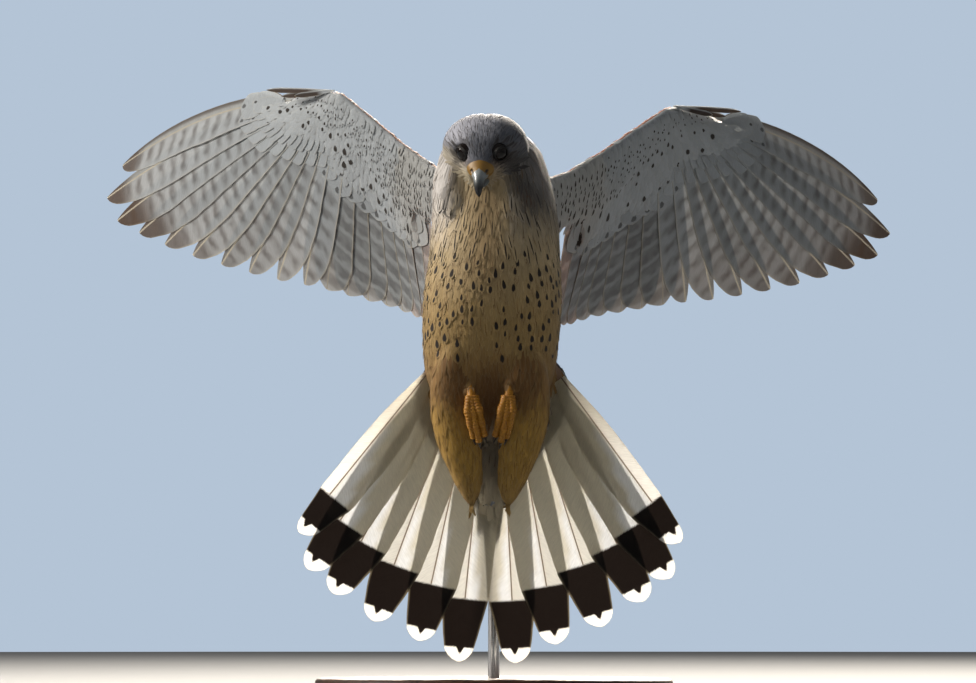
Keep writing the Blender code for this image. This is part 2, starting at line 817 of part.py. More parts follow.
def surface_normals(roots, tips, place):
    """The dorsal direction of the wing's surface at one place along every shaft."""
    points = shaft_points(roots, tips, place)
    normals = np.cross(np.gradient(points, axis=0), tips - roots)
    normals *= np.sign(normals @ DORSAL)[:, None]
    return normals / np.linalg.norm(normals, axis=1)[:, None]


def wing_vane(index, side, webs, profile, reach=1.0, level=0.0, step=VANE_STEP):
    """A feather whose leading web lies over the next shaft outwards and trailing web under the last.

    Its length is a share of the flight feather's, and the level lifts it off the flight feathers.
    """
    roots, tips = flight_shafts()
    shaft = unit(tips[index] - roots[index])
    rings = []
    for place, lead_share, trail_share in profile:
        along = place * reach
        points = shaft_points(roots, tips, along)
        up = surface_normals(roots, tips, max(along, 0.15))[index]
        middle = points[index] + up * level * (1.0 - 0.15 * place)
        edges = []
        for other, width, sign in (
            (index + 1, webs[0] * lead_share, 1.0),
            (index - 1, webs[1] * trail_share, -1.0),
        ):
            way = points[other] - points[index]
            way -= shaft * (way @ shaft)
            gap = max(np.linalg.norm(way), 3.0)
            width = min(width, gap + WEB_PAST_SHAFT)
            edges.append(middle + unit(way) * width + up * (sign * step * width / gap))
        half = up * (0.5 * VANE_THICKNESS)
        front, rear = edges
        ring = [front + half, middle + half, rear + half, rear - half, middle - half, front - half]
        rings.append(rolled(ring, side))
    return vane_mesh(np.array(rings))


def airfoil_ring(front, rear, dorsal, thickness):
    chord = rear - front
    up = unit(dorsal - unit(chord) * (dorsal @ unit(chord)))
    return np.array([front + chord * a + up * (thickness * h) for a, h in AIRFOIL])


def wing_cores():
    """The rings of the fleshy arm and hand, which meet in one plane at the wrist."""
    normals = surface_normals(*flight_shafts(), 0.3)
    arm = []
    for index, front, rear, thickness in zip((1, 2, 4, 6, 8), ARM_FRONT, ARM_REAR, ARM_THICKNESS):
        arm.append(airfoil_ring(np.array(front), np.array(rear), normals[index], thickness))
    wrist_way = unit(np.cross(np.array(ARM_REAR[-1]) - np.array(ARM_FRONT[-1]), normals[8]))
    wrist_way *= np.sign(wrist_way @ HAND_DIRECTION)
    hand = [arm[-1] + wrist_way * GAP / 2]
    arm[-1] = arm[-1] - wrist_way * GAP / 2
    for place, reach_front, reach_rear, thickness in HAND_CORE:
        share = place / HAND_CORE[-1][0]
        dorsal = unit((1 - share) * normals[9] + share * normals[-2])
        rearward = unit(np.cross(dorsal, HAND_DIRECTION))
        rearward *= -np.sign(rearward[2])
        middle = WRIST + HAND_DIRECTION * place
        hand.append(
            airfoil_ring(middle - rearward * reach_front, middle + rearward * reach_rear, dorsal, thickness)
        )
    return arm, hand


def wing_vanes(side, chosen, webs, profile):
    """The flight feathers of one part of a wing."""
    return [wing_vane(index, side, webs, profile) for index in chosen]


def wing_coverts(side, chosen, webs, reach):
    """A tier of coverts over the flight feathers and another under them."""
    made = []
    last_of_arm = len(ARM_FEATHERS)
    for index in chosen:
        lead, trail = webs
        if index == last_of_arm:
            lead = WRIST_COVERT_WEB
        if index == last_of_arm + 1:
            trail = WRIST_COVERT_WEB
        for level in (COVERT_LEVEL, -COVERT_LEVEL):
            cover = (index, side, (lead, trail), COVERT_PROFILE, reach, level, COVERT_STEP)
            made.append(wing_vane(*cover))
    return made


def alula(side):
    """Short stiff feathers that lie along the front of the hand."""
    dorsal = surface_normals(*flight_shafts(), 0.2)[10]
    rise = unit(np.cross(HAND_DIRECTION, dorsal))
    rise *= np.sign(rise[2])
    made = []
    for place, *tip in ALULA:
        root = WRIST + HAND_DIRECTION * place + rise * ALULA_RISE
        along = unit(np.array(tip) - root)
        length = np.linalg.norm(np.array(tip) - root)
        across = unit(rise - along * (rise @ along))
        rings = []
        for share, lead, trail in COVERT_PROFILE:
            middle = root + along * (length * share)
            front = middle + across * (0.5 * ALULA_WIDTH * lead)
            rear = middle - across * (0.5 * ALULA_WIDTH * trail)
            half = dorsal * (0.5 * VANE_THICKNESS)
            rings.append(rolled([front + half, rear + half, rear - half, front - half], side))
        made.append(vane_mesh(np.array(rings)))
    return made


def build_wing(side, body_copy):
    word = "left" if side > 0 else "right"
    arm_rings, hand_rings = wing_cores()
    arm_core = make_object("core", *closed_loft([rolled(ring, side) for ring in arm_rings]))
    hand_core = make_object("core", *closed_loft([rolled(ring, side) for ring in hand_rings]))
    arm_count = len(ARM_FEATHERS)
    arm_range = range(1, arm_count + 1)
    hand_range = range(arm_count + 1, arm_count + len(HAND_FEATHERS) + 1)
    arm_vanes = wing_vanes(side, arm_range, ARM_WEBS, SECONDARY_PROFILE)
    arm_vanes += wing_coverts(side, arm_range[1::2], ARM_COVERT_WEBS, COVERT_REACH_ARM)
    hand_vanes = wing_vanes(side, hand_range, HAND_WEBS, PRIMARY_PROFILE)
    hand_vanes += wing_coverts(side, hand_range[:-1], HAND_COVERT_WEBS, COVERT_REACH_HAND)
    arm = fuse(f"wing_arm_{word}", [arm_core] + arm_vanes)
    cut(arm, body_copy)
    hand = fuse(f"wing_hand_{word}", [hand_core] + hand_vanes + alula(side))
    finish(arm, (0.5, 0.32, 0.2), roughness=0.8)
    finish(hand, (0.22, 0.17, 0.14), roughness=0.8)


def fan_direction(aside, down):
    """From the fan's point to a place on the fan, in the fan's own plane."""
    x = aside * math.cos(FAN_TURN) - down * math.sin(FAN_TURN)
    z = -down * math.cos(FAN_TURN) - aside * math.sin(FAN_TURN)
    return np.array([x, -math.tan(TAIL_DIP) * down, z])


def fan_vane(root, tip, side, webs, profile):
    """A tail feather that lies flat in the fan; its first web is on the outer side."""
    along = unit(tip - root)
    length = np.linalg.norm(tip - root)
    outward = unit(np.cross(AXIS_Y, along)) * side
    if outward[0] * side < 0:
        outward = -outward
    half = AXIS_Y * (0.5 * VANE_THICKNESS)
    rings = []
    for place, outer_share, inner_share in profile:
        middle = root + along * (length * place)
        outer = middle + outward * (webs[0] * outer_share)
        inner = middle - outward * (webs[1] * inner_share)
        rings.append([outer + half, inner + half, inner - half, outer - half])
    return vane_mesh(np.array(rings))


def build_tail(body_copy):
    core_rings = upright_rings(smooth_rows(TAIL_CORE, 10), 16, 3.0)
    pieces = [make_object("core", *closed_loft(core_rings))]
    start = np.array([FAN_POINT[0], TAIL_LEVEL, FAN_POINT[2]])
    order = len(TAIL_TIPS)
    for index, (aside, down) in enumerate(TAIL_TIPS):
        for side in (1, -1):
            level = (order - index) * TAIL_STEP if index < order - 1 or side < 0 else 0.0
            tip = start + fan_direction(side * aside, down) - AXIS_Y * level
            whole = np.linalg.norm(tip - start)
            bare = TAIL_START / whole
            root = start + (tip - start) * bare - AXIS_Y * level * (1 - bare)
            webs = (TAIL_OUTER_WEBS[index], TAIL_INNER_WEBS[index])
            pieces.append(fan_vane(root, tip, side, webs, TAIL_PROFILE))
    for level in TAIL_COVERT_LEVELS:
        for index in range(TAIL_COVERTS):
            place = (index - (TAIL_COVERTS - 1) / 2) / ((TAIL_COVERTS - 1) / 2)
            turn = place * TAIL_COVERT_TURN
            way = fan_direction(math.sin(turn), math.cos(turn))
            nudge = AXIS_Y * (level - FAN_POINT[1] + TAIL_COVERT_STEP * (index % 2))
            root = FAN_POINT + way * TAIL_COVERT_START + nudge
            tip = FAN_POINT + way * (TAIL_COVERT_END - TAIL_COVERT_LOSS * abs(place)) + nudge
            pieces.append(fan_vane(root, tip, 1, (TAIL_COVERT_WEB, TAIL_COVERT_WEB), COVERT_PROFILE))
    tail = fuse("tail", pieces)
    cut(tail, body_copy)
    finish(tail, (0.62, 0.62, 0.6), roughness=0.8)


def build_claw(name, start, way):
    path = []
    radii = []
    for place in np.linspace(0.0, 1.0, 6):
        turn = place * CLAW_BEND
        run = CLAW_LENGTH / CLAW_BEND
        path.append(start + way * run * math.sin(turn) + AXIS_Y * run * (1 - math.cos(turn)) * 0.9)
        radii.append(CLAW_RADIUS * (1.0 - CLAW_TAPER * place))
    return tube(name, path, radii, TOE_SIDES)


def build_leg(side, torso):
    word = "left" if side > 0 else "right"
    rows = smooth_rows(THIGH_SECTIONS, THIGH_RINGS)
    rows[:, 1] *= side
    thigh = make_object(f"thigh_{word}", *closed_loft(upright_rings(rows, THIGH_SIDES, 2.0)))
    cut(thigh, swollen(torso))

    flip = np.array([side, 1.0, 1.0])
    knuckle = np.array(KNUCKLE) * flip
    top = np.array(SHANK_TOP) * flip
    pieces = [tube("shank", [top, knuckle], [SHANK_RADIUS, KNUCKLE_RADIUS], TOE_SIDES + 2)]
    claws = []
    for index, (aside, low) in enumerate(zip(TOE_ASIDE, TOE_LOW)):
        path = []
        radii = []
        for place in np.linspace(0.0, 1.0, 7):
            meet = 1 - TOE_MEET * place
            x = aside * (0.4 + 0.6 * math.sin(min(1.0, 2.2 * place) * math.pi / 2)) * meet
            x = side * (x + TOE_LEAN * place**1.5)
            y = TOE_RETURN * place - TOE_BULGE * math.sin(place * math.pi)
            path.append(knuckle + np.array([x, y, 2.0 - low * place]))
            pads = 1.0 + TOE_PAD * math.cos(place * 6 * math.pi)
            radii.append(TOE_RADIUS * (1.0 - 0.3 * place) * pads)
        pieces.append(tube("toe", path, radii, TOE_SIDES))
        claws.append((path[-1], unit(path[-1] - path[-2])))
    heel = knuckle + np.array([0.0, 1.0, -1.0])
    path = [heel + np.array([-side * 1.6 * p, 4.2 * p, -HIND_TOE * p]) for p in np.linspace(0, 1, 4)]
    pieces.append(tube("hind", path, HIND_RADII, TOE_SIDES))
    claws.append((path[-1], unit(path[-1] - path[-2])))
    foot = fuse(f"foot_{word}", pieces)
    cut(foot, swollen(torso), swollen(thigh))
    for index, (start, way) in enumerate(claws):
        claw = build_claw(f"claw_{word}_{index + 1}", start + way * GAP, way)
        finish(claw, (0.04, 0.04, 0.045), roughness=0.3)
    finish(thigh, (0.6, 0.42, 0.25), roughness=0.85)
    finish(foot, (0.75, 0.5, 0.08), roughness=0.5)


def clear_scene():
    for thing in list(bpy.data.objects):
        bpy.data.objects.remove(thing, do_unlink=True)
    home = bpy.data.collections.new("common_kestrel")
    bpy.context.scene.collection.children.link(home)


def main():
    clear_scene()
    build_stand()
    below, above = split_rows(TORSO_SECTIONS, NECK_CUT, TORSO_RINGS, NECK_RINGS)
    torso = make_object("torso", *closed_loft(upright_rings(below, BODY_SIDES, BODY_POWER)))
    neck = make_object("neck", *closed_loft(upright_rings(above, BODY_SIDES, BODY_POWER)))
    whole = smooth_rows(TORSO_SECTIONS, 40)
    swollen_body = make_object(
        "whole", *closed_loft(upright_rings(lengthened(whole, GAP), BODY_SIDES, BODY_POWER, GAP))
    )
    cut(neck, make_object("face", *closed_loft(head_rings(GAP))))
    for side in (1, -1):
        build_wing(side, swollen(swollen_body, 0.0))
        build_leg(side, torso)
    build_tail(swollen(swollen_body, 0.0))
    build_head(swollen(neck))
    build_bill()
    cut(torso, rod_hole())
    remove(swollen_body)
    finish(torso, (0.72, 0.55, 0.38), roughness=0.85)
    finish(neck, (0.7, 0.6, 0.48), roughness=0.85)


main()
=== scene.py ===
"""A male common kestrel that hovers head up, life size, held by a plain stand.

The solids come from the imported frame. This script gives the bird its skin, plumage, bill, eyes and
feet, and finishes the stand. Sizes are in millimetres on the bird, which faces -Y with its own left
at +X, and every mesh is turned to metres on the stand as it is made.
"""

from __future__ import annotations

import logging
import math
from dataclasses import dataclass, field
from enum import Enum
import bpy
import numpy as np
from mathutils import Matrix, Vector
from mathutils.bvhtree import BVHTree
from mathutils.kdtree import KDTree

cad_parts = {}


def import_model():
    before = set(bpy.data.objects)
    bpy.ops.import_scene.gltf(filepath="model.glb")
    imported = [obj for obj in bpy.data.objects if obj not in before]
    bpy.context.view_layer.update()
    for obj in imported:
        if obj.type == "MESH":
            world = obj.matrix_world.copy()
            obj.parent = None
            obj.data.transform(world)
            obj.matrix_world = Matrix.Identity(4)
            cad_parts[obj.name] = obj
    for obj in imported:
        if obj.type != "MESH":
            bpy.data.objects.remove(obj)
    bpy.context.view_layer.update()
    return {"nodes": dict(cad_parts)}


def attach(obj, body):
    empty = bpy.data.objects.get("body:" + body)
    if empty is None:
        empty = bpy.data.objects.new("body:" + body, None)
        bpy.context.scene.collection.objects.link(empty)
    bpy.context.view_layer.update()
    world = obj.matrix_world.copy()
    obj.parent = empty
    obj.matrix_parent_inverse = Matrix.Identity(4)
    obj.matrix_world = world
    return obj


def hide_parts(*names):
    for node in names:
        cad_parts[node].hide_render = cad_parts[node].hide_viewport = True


LOG = logging.getLogger("kestrel")
MM = 0.001
ORIGIN = np.array([2.0, 20.0, 0.0])
Array = np.ndarray
Rings = list[Array]
Faces = list[tuple[int, ...]]
# A drop's half width, half length and middle from the tip, where no drop shows
NO_DROP = (0.1, 0.1, -90.0)


class Side(Enum):
    """The bird's own sides."""

    LEFT = 1
    RIGHT = -1

    @property
    def word(self) -> str:
        """The side as it stands in names."""
        return self.name.lower()


class Hue(Enum):
    """The plumage's colours, as sRGB hex values."""

    CREAM = "D6C8A8"
    WHITE = "ECECE9"
    PALE_BUFF = "BFAC88"
    BUFF = "9E8352"
    OCHRE = "866638"
    RUFOUS = "664623"
    TROUSER = "A8843C"
    VENT = "A39A88"
    CHESTNUT = "84482A"
    SLATE = "8A909B"
    CROWN = "B2B5C2"
    FOREHEAD = "4E5562"
    MALAR = "35312F"
    CHEEK = "B0A99C"
    # A pale grey that paints the sunlit side of the neck
    NECK = "CFCED0"
    SPOT = "1F1814"
    DUSK = "4A3C33"
    WING_WHITE = "A5ACB2"
    WING_PALE = "A7ADB1"
    WING_BAR = "6B6F73"
    WING_GREY = "8E9394"
    FLIGHT_DARK = "3B302A"
    # TAIL_PALE paints the light that comes through one tail vane and is also the outermost feather's pale
    # outer web; TAIL_SHADE is painted shade where tail vanes overlap and is also given to the undertail
    # coverts
    TAIL_PALE = "F0F0EE"
    TAIL_SHADE = "CABFA2"
    TAIL_SLATE = "9399A2"
    TAIL_BLACK = "15100E"


def linear(code: str) -> tuple[float, float, float, float]:
    """Turns an sRGB hex value into a linear colour.

    Args:
        code: Six hex digits.

    Returns:
        Red, green, blue and an alpha of one.
    """
    parts = [int(code[i : i + 2], 16) / 255 for i in (0, 2, 4)]
    made = [p / 12.92 if p <= 0.04045 else ((p + 0.055) / 1.055) ** 2.4 for p in parts]
    return (made[0], made[1], made[2], 1.0)


def tone(hue: Hue) -> Array:
    """The linear red, green and blue of a plumage colour."""
    return np.array(linear(hue.value)[:3])


def unit(rows: Array) -> Array:
    """Vectors turned to length one along the last axis."""
    rows = np.asarray(rows, float)
    return rows / np.maximum(np.linalg.norm(rows, axis=-1, keepdims=True), 1e-9)


def ease(value: Array, low: float, high: float) -> Array:
    """A smooth step.

    Args:
        value: Where to read it.
        low: Where it is still nothing.
        high: Where it is whole.

    Returns:
        Shares from 0 to 1.
    """
    t = np.clip((np.asarray(value, float) - low) / (high - low), 0.0, 1.0)
    return t * t * (3 - 2 * t)


def blend(first: Array, second: Array, share: Array) -> Array:
    """Mixes two colours by a share per point.

    Args:
        first: Colours, or one colour.
        second: Colours, or one colour.
        share: How much of the second each point takes.

    Returns:
        One colour per point.
    """
    share = np.asarray(share, float)[..., None]
    return first * (1 - share) + second * share


def abreast(*parts: Array | float) -> Array:
    """Arrays or single numbers side by side, as one row per point."""
    return np.stack(np.broadcast_arrays(*parts), axis=-1)


def smooth_rows(rows: Array, count: int) -> Array:
    """Resamples rows of numbers evenly along their first column on a monotone cubic.

    Args:
        rows: Rows that rise in their first column.
        count: How many rows to make.

    Returns:
        The new rows.
    """
    rows = np.asarray(rows, float)
    place = rows[:, 0]
    wanted = np.linspace(place[0], place[-1], count)
    steps = np.diff(place)
    made = [wanted]
    for values in rows[:, 1:].T:
        slopes = np.diff(values) / steps
        tangents = np.empty(len(values))
        tangents[0] = slopes[0]
        tangents[-1] = slopes[-1]
        tangents[1:-1] = np.where(slopes[:-1] * slopes[1:] > 0, 0.5 * (slopes[:-1] + slopes[1:]), 0.0)
        index = np.clip(np.searchsorted(place, wanted, side="right") - 1, 0, len(steps) - 1)
        width = steps[index]
        t = (wanted - place[index]) / width
        made.append(
            (2 * t**3 - 3 * t**2 + 1) * values[index]
            + (t**3 - 2 * t**2 + t) * width * tangents[index]
            + (3 * t**2 - 2 * t**3) * values[index + 1]
            + (t**3 - t**2) * width * tangents[index + 1]
        )
    return np.stack(made, axis=1)


def superellipse(sides: int, power: float) -> tuple[Array, Array]:
    """Points round a superellipse.

    Args:
        sides: How many points.
        power: Two is an ellipse, and more is squarer.

    Returns:
        Their places across and deep, from -1 to 1.
    """
    turn = 2 * math.pi * np.arange(sides) / sides
    across = np.sign(np.cos(turn)) * np.abs(np.cos(turn)) ** (2 / power)
    deep = np.sign(np.sin(turn)) * np.abs(np.sin(turn)) ** (2 / power)
    return across, deep


def turned_outwards(points: Array, faces: Faces) -> Faces:
    """Turns a closed mesh's faces over where they point inwards.

    Args:
        points: The mesh's points.
        faces: Its faces, all turned alike.

    Returns:
        The faces, pointing outwards.
    """
    volume = 0.0
    for face in faces:
        for b, c in zip(face[1:], face[2:]):
            volume += float(points[face[0]] @ np.cross(points[b], points[c]))
    return [face[::-1] for face in faces] if volume < 0 else faces


def loft(rings: Rings) -> tuple[Array, Faces]:
    """Skins rings of equal length with quads and closes both ends.

    Args:
        rings: Rings of points, in order.

    Returns:
        Points and faces that point outwards.
    """
    sides = len(rings[0])
    points = np.concatenate([*rings, [rings[0].mean(axis=0)], [rings[-1].mean(axis=0)]])
    last = (len(rings) - 1) * sides
    faces: Faces = []
    for row in range(len(rings) - 1):
        for side in range(sides):
            a = row * sides + side
            b = row * sides + (side + 1) % sides
            faces.append((a, b, b + sides, a + sides))
    for side in range(sides):
        after = (side + 1) % sides
        faces.append((len(points) - 2, after, side))
        faces.append((len(points) - 1, last + side, last + after))
    return points, turned_outwards(points, faces)


def bare_object(name: str, points: Array, faces: Faces) -> bpy.types.Object:
    """Makes a smooth mesh object from millimetres on the bird.

    Args:
        name: The piece's name.
        points: Its points.
        faces: Its faces.

    Returns:
        The object, at the origin, with its place in its mesh.
    """
    mesh = bpy.data.meshes.new(name)
    mesh.from_pydata(((np.asarray(points, float) - ORIGIN) * MM).tolist(), [], faces)
    mesh.update()
    mesh.polygons.foreach_set("use_smooth", [True] * len(mesh.polygons))
    made = bpy.data.objects.new(name, mesh)
    bpy.context.scene.collection.objects.link(made)
    return made


def dress(piece: bpy.types.Object, material: bpy.types.Material, slot: str, *nodes: str) -> None:
    """Gives a piece its finish, puts it on the body and hides the solids that it stands for.

    Args:
        piece: The finished piece.
        material: Its finish.
        slot: Not used.
        *nodes: The CAD nodes that it replaces.
    """
    piece.data.materials.clear()
    piece.data.materials.append(material)
    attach(piece, "root")
    if nodes:
        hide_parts(*nodes)


def baked(piece: bpy.types.Object) -> None:
    """Puts the result of a piece's modifiers into its mesh.

    Args:
        piece: The piece.
    """
    graph = bpy.context.evaluated_depsgraph_get()
    made = bpy.data.meshes.new_from_object(piece.evaluated_get(graph))
    piece.modifiers.clear()
    old = piece.data
    piece.data = made
    bpy.data.meshes.remove(old)


def add(
    tree: bpy.types.NodeTree,
    kind: str,
    *inputs: object,
    out: int | str = 0,
    named: dict[str, object] | None = None,
    **settings: object,
) -> bpy.types.NodeSocket:
    """Adds one shader or geometry node with its settings and links.

    Args:
        tree: The tree that it goes into.
        kind: The node's type, without its leading word where that is ShaderNode.
        *inputs: Sockets or values for its inputs in order, and None to skip one.
        out: The output to hand back.
        named: Sockets or values for inputs by name.
        **settings: Properties of the node.

    Returns:
        The chosen output socket, or the node's first input where it has no output.
    """
    node = tree.nodes.new(kind if kind[:4] in ("Geom", "Func", "Node") else "ShaderNode" + kind)
    for key, value in settings.items():
        setattr(node, key, value)
    wanted = [(i, value) for i, value in enumerate(inputs) if value is not None]
    wanted += list((named or {}).items())
    for key, value in wanted:
        socket = node.inputs[key]
        if isinstance(value, bpy.types.NodeSocket):
            tree.links.new(value, socket)
        else:
            socket.default_value = value
    return node.outputs[out] if node.outputs else node.inputs[0]


def fresh_material(name: str) -> bpy.types.Material:
    """An empty node material of that name.

    Args:
        name: Its name.

    Returns:
        The material, without nodes.
    """
    material = bpy.data.materials.new(name)
    material.use_nodes = True
    material.node_tree.nodes.clear()
    return material


def parts_of(tree: bpy.types.NodeTree, name: str) -> list[bpy.types.NodeSocket]:
    """The three parts of a vector that the mesh carries.

    Args:
        tree: The material's tree.
        name: The attribute's name.

    Returns:
        Three output sockets.
    """
    vector = add(tree, "Attribute", out="Vector", attribute_name=name)
    return list(add(tree, "SeparateXYZ", vector).node.outputs)


def surface(material: bpy.types.Material, inputs: dict[str, object]) -> bpy.types.Material:
    """Ends a material's nodes in one principled surface.

    Args:
        material: The material.
        inputs: The surface's sockets or values by name.

    Returns:
        The same material.
    """
    tree = material.node_tree
    add(tree, "OutputMaterial", add(tree, "BsdfPrincipled", named=inputs))
    return material


@dataclass(frozen=True)
class PlumageFinish:
    """Keratin barbs on a feather's vane, soft and dull, that let some light through.

    Barbs stand about 0.35 mm apart and run outwards and towards the tip. They are drawn a little
    coarser than that, so that they show as the fine streaks of a real vane.
    """

    name: str
    roughness: float = 0.72
    translucency: float = 0.12
    barb_mm: float = 0.45
    streak: float = 0.16
    bar_mm: float = 8.0
    bar_share: float = 0.5
    bar_blur: float = 0.16
    banded: bool = False
    shaft_mm: float = 0.0
    shaft_hex: str = "5A4A3A"
    relief_mm: float = 0.05
    barb_along: float = 1.0
    barb_out: float = 0.9

    def build(self) -> bpy.types.Material:
        """Builds the material from the attributes that every feather carries.

        Returns:
            The material.
        """
        material = fresh_material(self.name)
        tree = material.node_tree
        tint = add(tree, "Attribute", out="Color", attribute_name="tint")
        ink = add(tree, "Attribute", out="Color", attribute_name="ink")
        across, along, to_tip = parts_of(tree, "vane")
        edge, fringe, vary = parts_of(tree, "trim")
        drop_parts = parts_of(tree, "drop")
        off_shaft = add(tree, "Math", across, operation="ABSOLUTE")

        # Barbs leave the shaft at about 40 degrees
        forward = add(tree, "Math", along, self.barb_along, operation="MULTIPLY")
        slant = add(tree, "Math", off_shaft, -self.barb_out, forward, operation="MULTIPLY_ADD")
        barb_x = add(tree, "Math", across, 0.3, operation="MULTIPLY")
        barb_y = add(tree, "Math", slant, 1.0 / self.barb_mm, operation="MULTIPLY")
        barb_z = add(tree, "Math", vary, 61.0, operation="MULTIPLY")
        barb_place = add(tree, "CombineXYZ", barb_x, barb_y, barb_z)
        barbs = add(tree, "TexNoise", named={"Vector": barb_place, "Scale": 1.0, "Detail": 2.0})
        low, high = 1.0 - self.streak, 1.0 + self.streak
        shade = add(tree, "MapRange", barbs, 0.25, 0.75, low, high)
        colour = add(tree, "VectorMath", tint, operation="SCALE", named={"Scale": shade})

        # Bars across the vane, counted back from the tip and broken up by the barbs
        if self.bar_mm > 0:
            bar_parts = parts_of(tree, "bars")
            bend = add(tree, "Math", off_shaft, 0.16, to_tip, operation="MULTIPLY_ADD")
            bar_x = add(tree, "Math", across, 0.16, operation="MULTIPLY")
            bar_y = add(tree, "Math", along, 0.13, operation="MULTIPLY")
            bar_place = add(tree, "CombineXYZ", bar_x, bar_y, barb_z)
            waver = add(tree, "TexNoise", named={"Vector": bar_place, "Scale": 1.0, "Detail": 1.0})
            swayed = add(tree, "Math", waver, 0.62 * self.bar_mm, bend, operation="MULTIPLY_ADD")
            rough = add(tree, "Math", barbs, 1.1, swayed, operation="MULTIPLY_ADD")
            turn = add(tree, "Math", rough, 1.0 / self.bar_mm, bar_parts[1], operation="MULTIPLY_ADD")
            cycle = add(tree, "Math", turn, operation="FRACT")
            middle = add(tree, "Math", cycle, 0.5, operation="SUBTRACT")
            away = add(tree, "Math", middle, operation="ABSOLUTE")
            half = 0.5 * self.bar_share
            soft = self.bar_blur
            bar = add(tree, "MapRange", away, half + soft, half - soft, interpolation_type="SMOOTHSTEP")
            patchy = add(tree, "MapRange", waver, 0.3, 0.6, 0.45, 1.0)
            strength = add(tree, "Math", bar_parts[0], patchy, operation="MULTIPLY")
            amount = add(tree, "Math", bar, strength, operation="MULTIPLY")
            colour = add(tree, "MixRGB", amount, colour, ink)

        # A drop or streak near the tip, wider towards the tip
        shift = add(tree, "Math", to_tip, drop_parts[2], operation="SUBTRACT")
        run = add(tree, "Math", shift, drop_parts[1], operation="DIVIDE")
        taper = add(tree, "Math", run, -0.32, 0.82, operation="MULTIPLY_ADD")
        reach = add(tree, "Math", taper, drop_parts[0], operation="MULTIPLY")
        sideways = add(tree, "Math", across, reach, operation="DIVIDE")
        spot_place = add(tree, "CombineXYZ", sideways, run, 0.0)
        spread = add(tree, "VectorMath", spot_place, operation="LENGTH", out="Value")
        ragged = add(tree, "Math", barbs, 0.7, spread, operation="MULTIPLY_ADD")
        spot = add(tree, "MapRange", ragged, 1.5, 1.15, interpolation_type="SMOOTHSTEP")
        colour = add(tree, "MixRGB", spot, colour, ink)

        paint = 1.0
        if self.banded:
            # The tail's black band and white tip, with the dark shaft running a little into the white
            band_parts = parts_of(tree, "band")
            near = add(tree, "MapRange", off_shaft, 2.4, 0.2, 0.0, 3.0, interpolation_type="SMOOTHSTEP")
            tip_side = add(tree, "Math", to_tip, near, operation="ADD")
            wavy = add(tree, "Math", barbs, 1.8, tip_side, operation="MULTIPLY_ADD")
            start = add(tree, "Math", wavy, band_parts[0], operation="SUBTRACT")
            after = add(tree, "MapRange", start, 0.6, 1.3, interpolation_type="SMOOTHSTEP")
            wavy_end = add(tree, "Math", barbs, 1.6, to_tip, operation="MULTIPLY_ADD")
            end = add(tree, "Math", band_parts[1], wavy_end, operation="SUBTRACT")
            before = add(tree, "MapRange", end, -1.2, 0.2, interpolation_type="SMOOTHSTEP")
            inside = add(tree, "Math", after, before, operation="MULTIPLY")
            inked = add(tree, "Math", inside, band_parts[2], operation="MULTIPLY")
            dark = linear(Hue.TAIL_BLACK.value)[:3]
            black = add(tree, "VectorMath", dark, operation="SCALE", named={"Scale": shade})
            colour = add(tree, "MixRGB", inked, colour, black)
            white = add(tree, "MapRange", start, 0.9, 0.3, interpolation_type="SMOOTHSTEP")
            tipped = add(tree, "Math", white, band_parts[2], operation="MULTIPLY")
            colour = add(tree, "MixRGB", tipped, colour, linear(Hue.WHITE.value))
            hidden = add(tree, "Math", inked, tipped, operation="ADD")
            paint = add(tree, "Math", 1.0, hidden, operation="SUBTRACT", use_clamp=True)

        # The margin wears paler
        margin = add(tree, "MapRange", edge, 0.55, 1.0, interpolation_type="SMOOTHSTEP")
        pale = add(tree, "Math", margin, fringe, operation="MULTIPLY")
        colour = add(tree, "MixRGB", pale, colour, linear(Hue.CREAM.value))
        if self.shaft_mm > 0:
            shaft = add(tree, "MapRange", off_shaft, self.shaft_mm * 1.3, self.shaft_mm * 0.7)
            drawn = add(tree, "Math", shaft, paint, operation="MULTIPLY")
            colour = add(tree, "MixRGB", drawn, colour, linear(self.shaft_hex))

        bump = add(tree, "Bump", named={"Height": barbs, "Distance": self.relief_mm * MM, "Strength": 0.7})
        skin = add(
            tree,
            "BsdfPrincipled",
            named={
                "Base Color": colour,
                "Roughness": self.roughness,
                "Specular IOR Level": 0.25,
                "Sheen Weight": 0.12,
                "Sheen Roughness": 0.6,
                "Normal": bump,
            },
        )
        # A thin vane passes more light than its face throws back, most of all where it is dark
        glow = add(tree, "Gamma", colour, 0.5)
        through = add(tree, "BsdfTranslucent", named={"Color": glow, "Normal": bump})
        both = add(tree, "MixShader", self.translucency, skin, through)
        add(tree, "OutputMaterial", both)
        return material


@dataclass(frozen=True)
class SkinFinish:
    """Bare skin under the coat, tinted as the feathers over it, so that no gap shows."""

    name: str = "plumage_underlayer"

    def build(self) -> bpy.types.Material:
        """Builds the material from the skin's own tint.

        Returns:
            The material.
        """
        material = fresh_material(self.name)
        tree = material.node_tree
        tint = add(tree, "Attribute", out="Color", attribute_name="tint")
        place = add(tree, "TexCoord", out="Object")
        # Down is clumped at about 2 mm
        stretch = add(tree, "Mapping", place, named={"Scale": (1.0, 1.0, 0.3)})
        down = add(tree, "TexNoise", named={"Vector": stretch, "Scale": 500.0, "Detail": 3.0})
        shade = add(tree, "MapRange", down, 0.2, 0.8, 0.7, 1.0)
        colour = add(tree, "VectorMath", tint, operation="SCALE", named={"Scale": shade})
        bump = add(tree, "Bump", named={"Height": down, "Distance": 0.0004, "Strength": 0.8})
        return surface(material, {"Base Color": colour, "Roughness": 0.85, "Normal": bump})


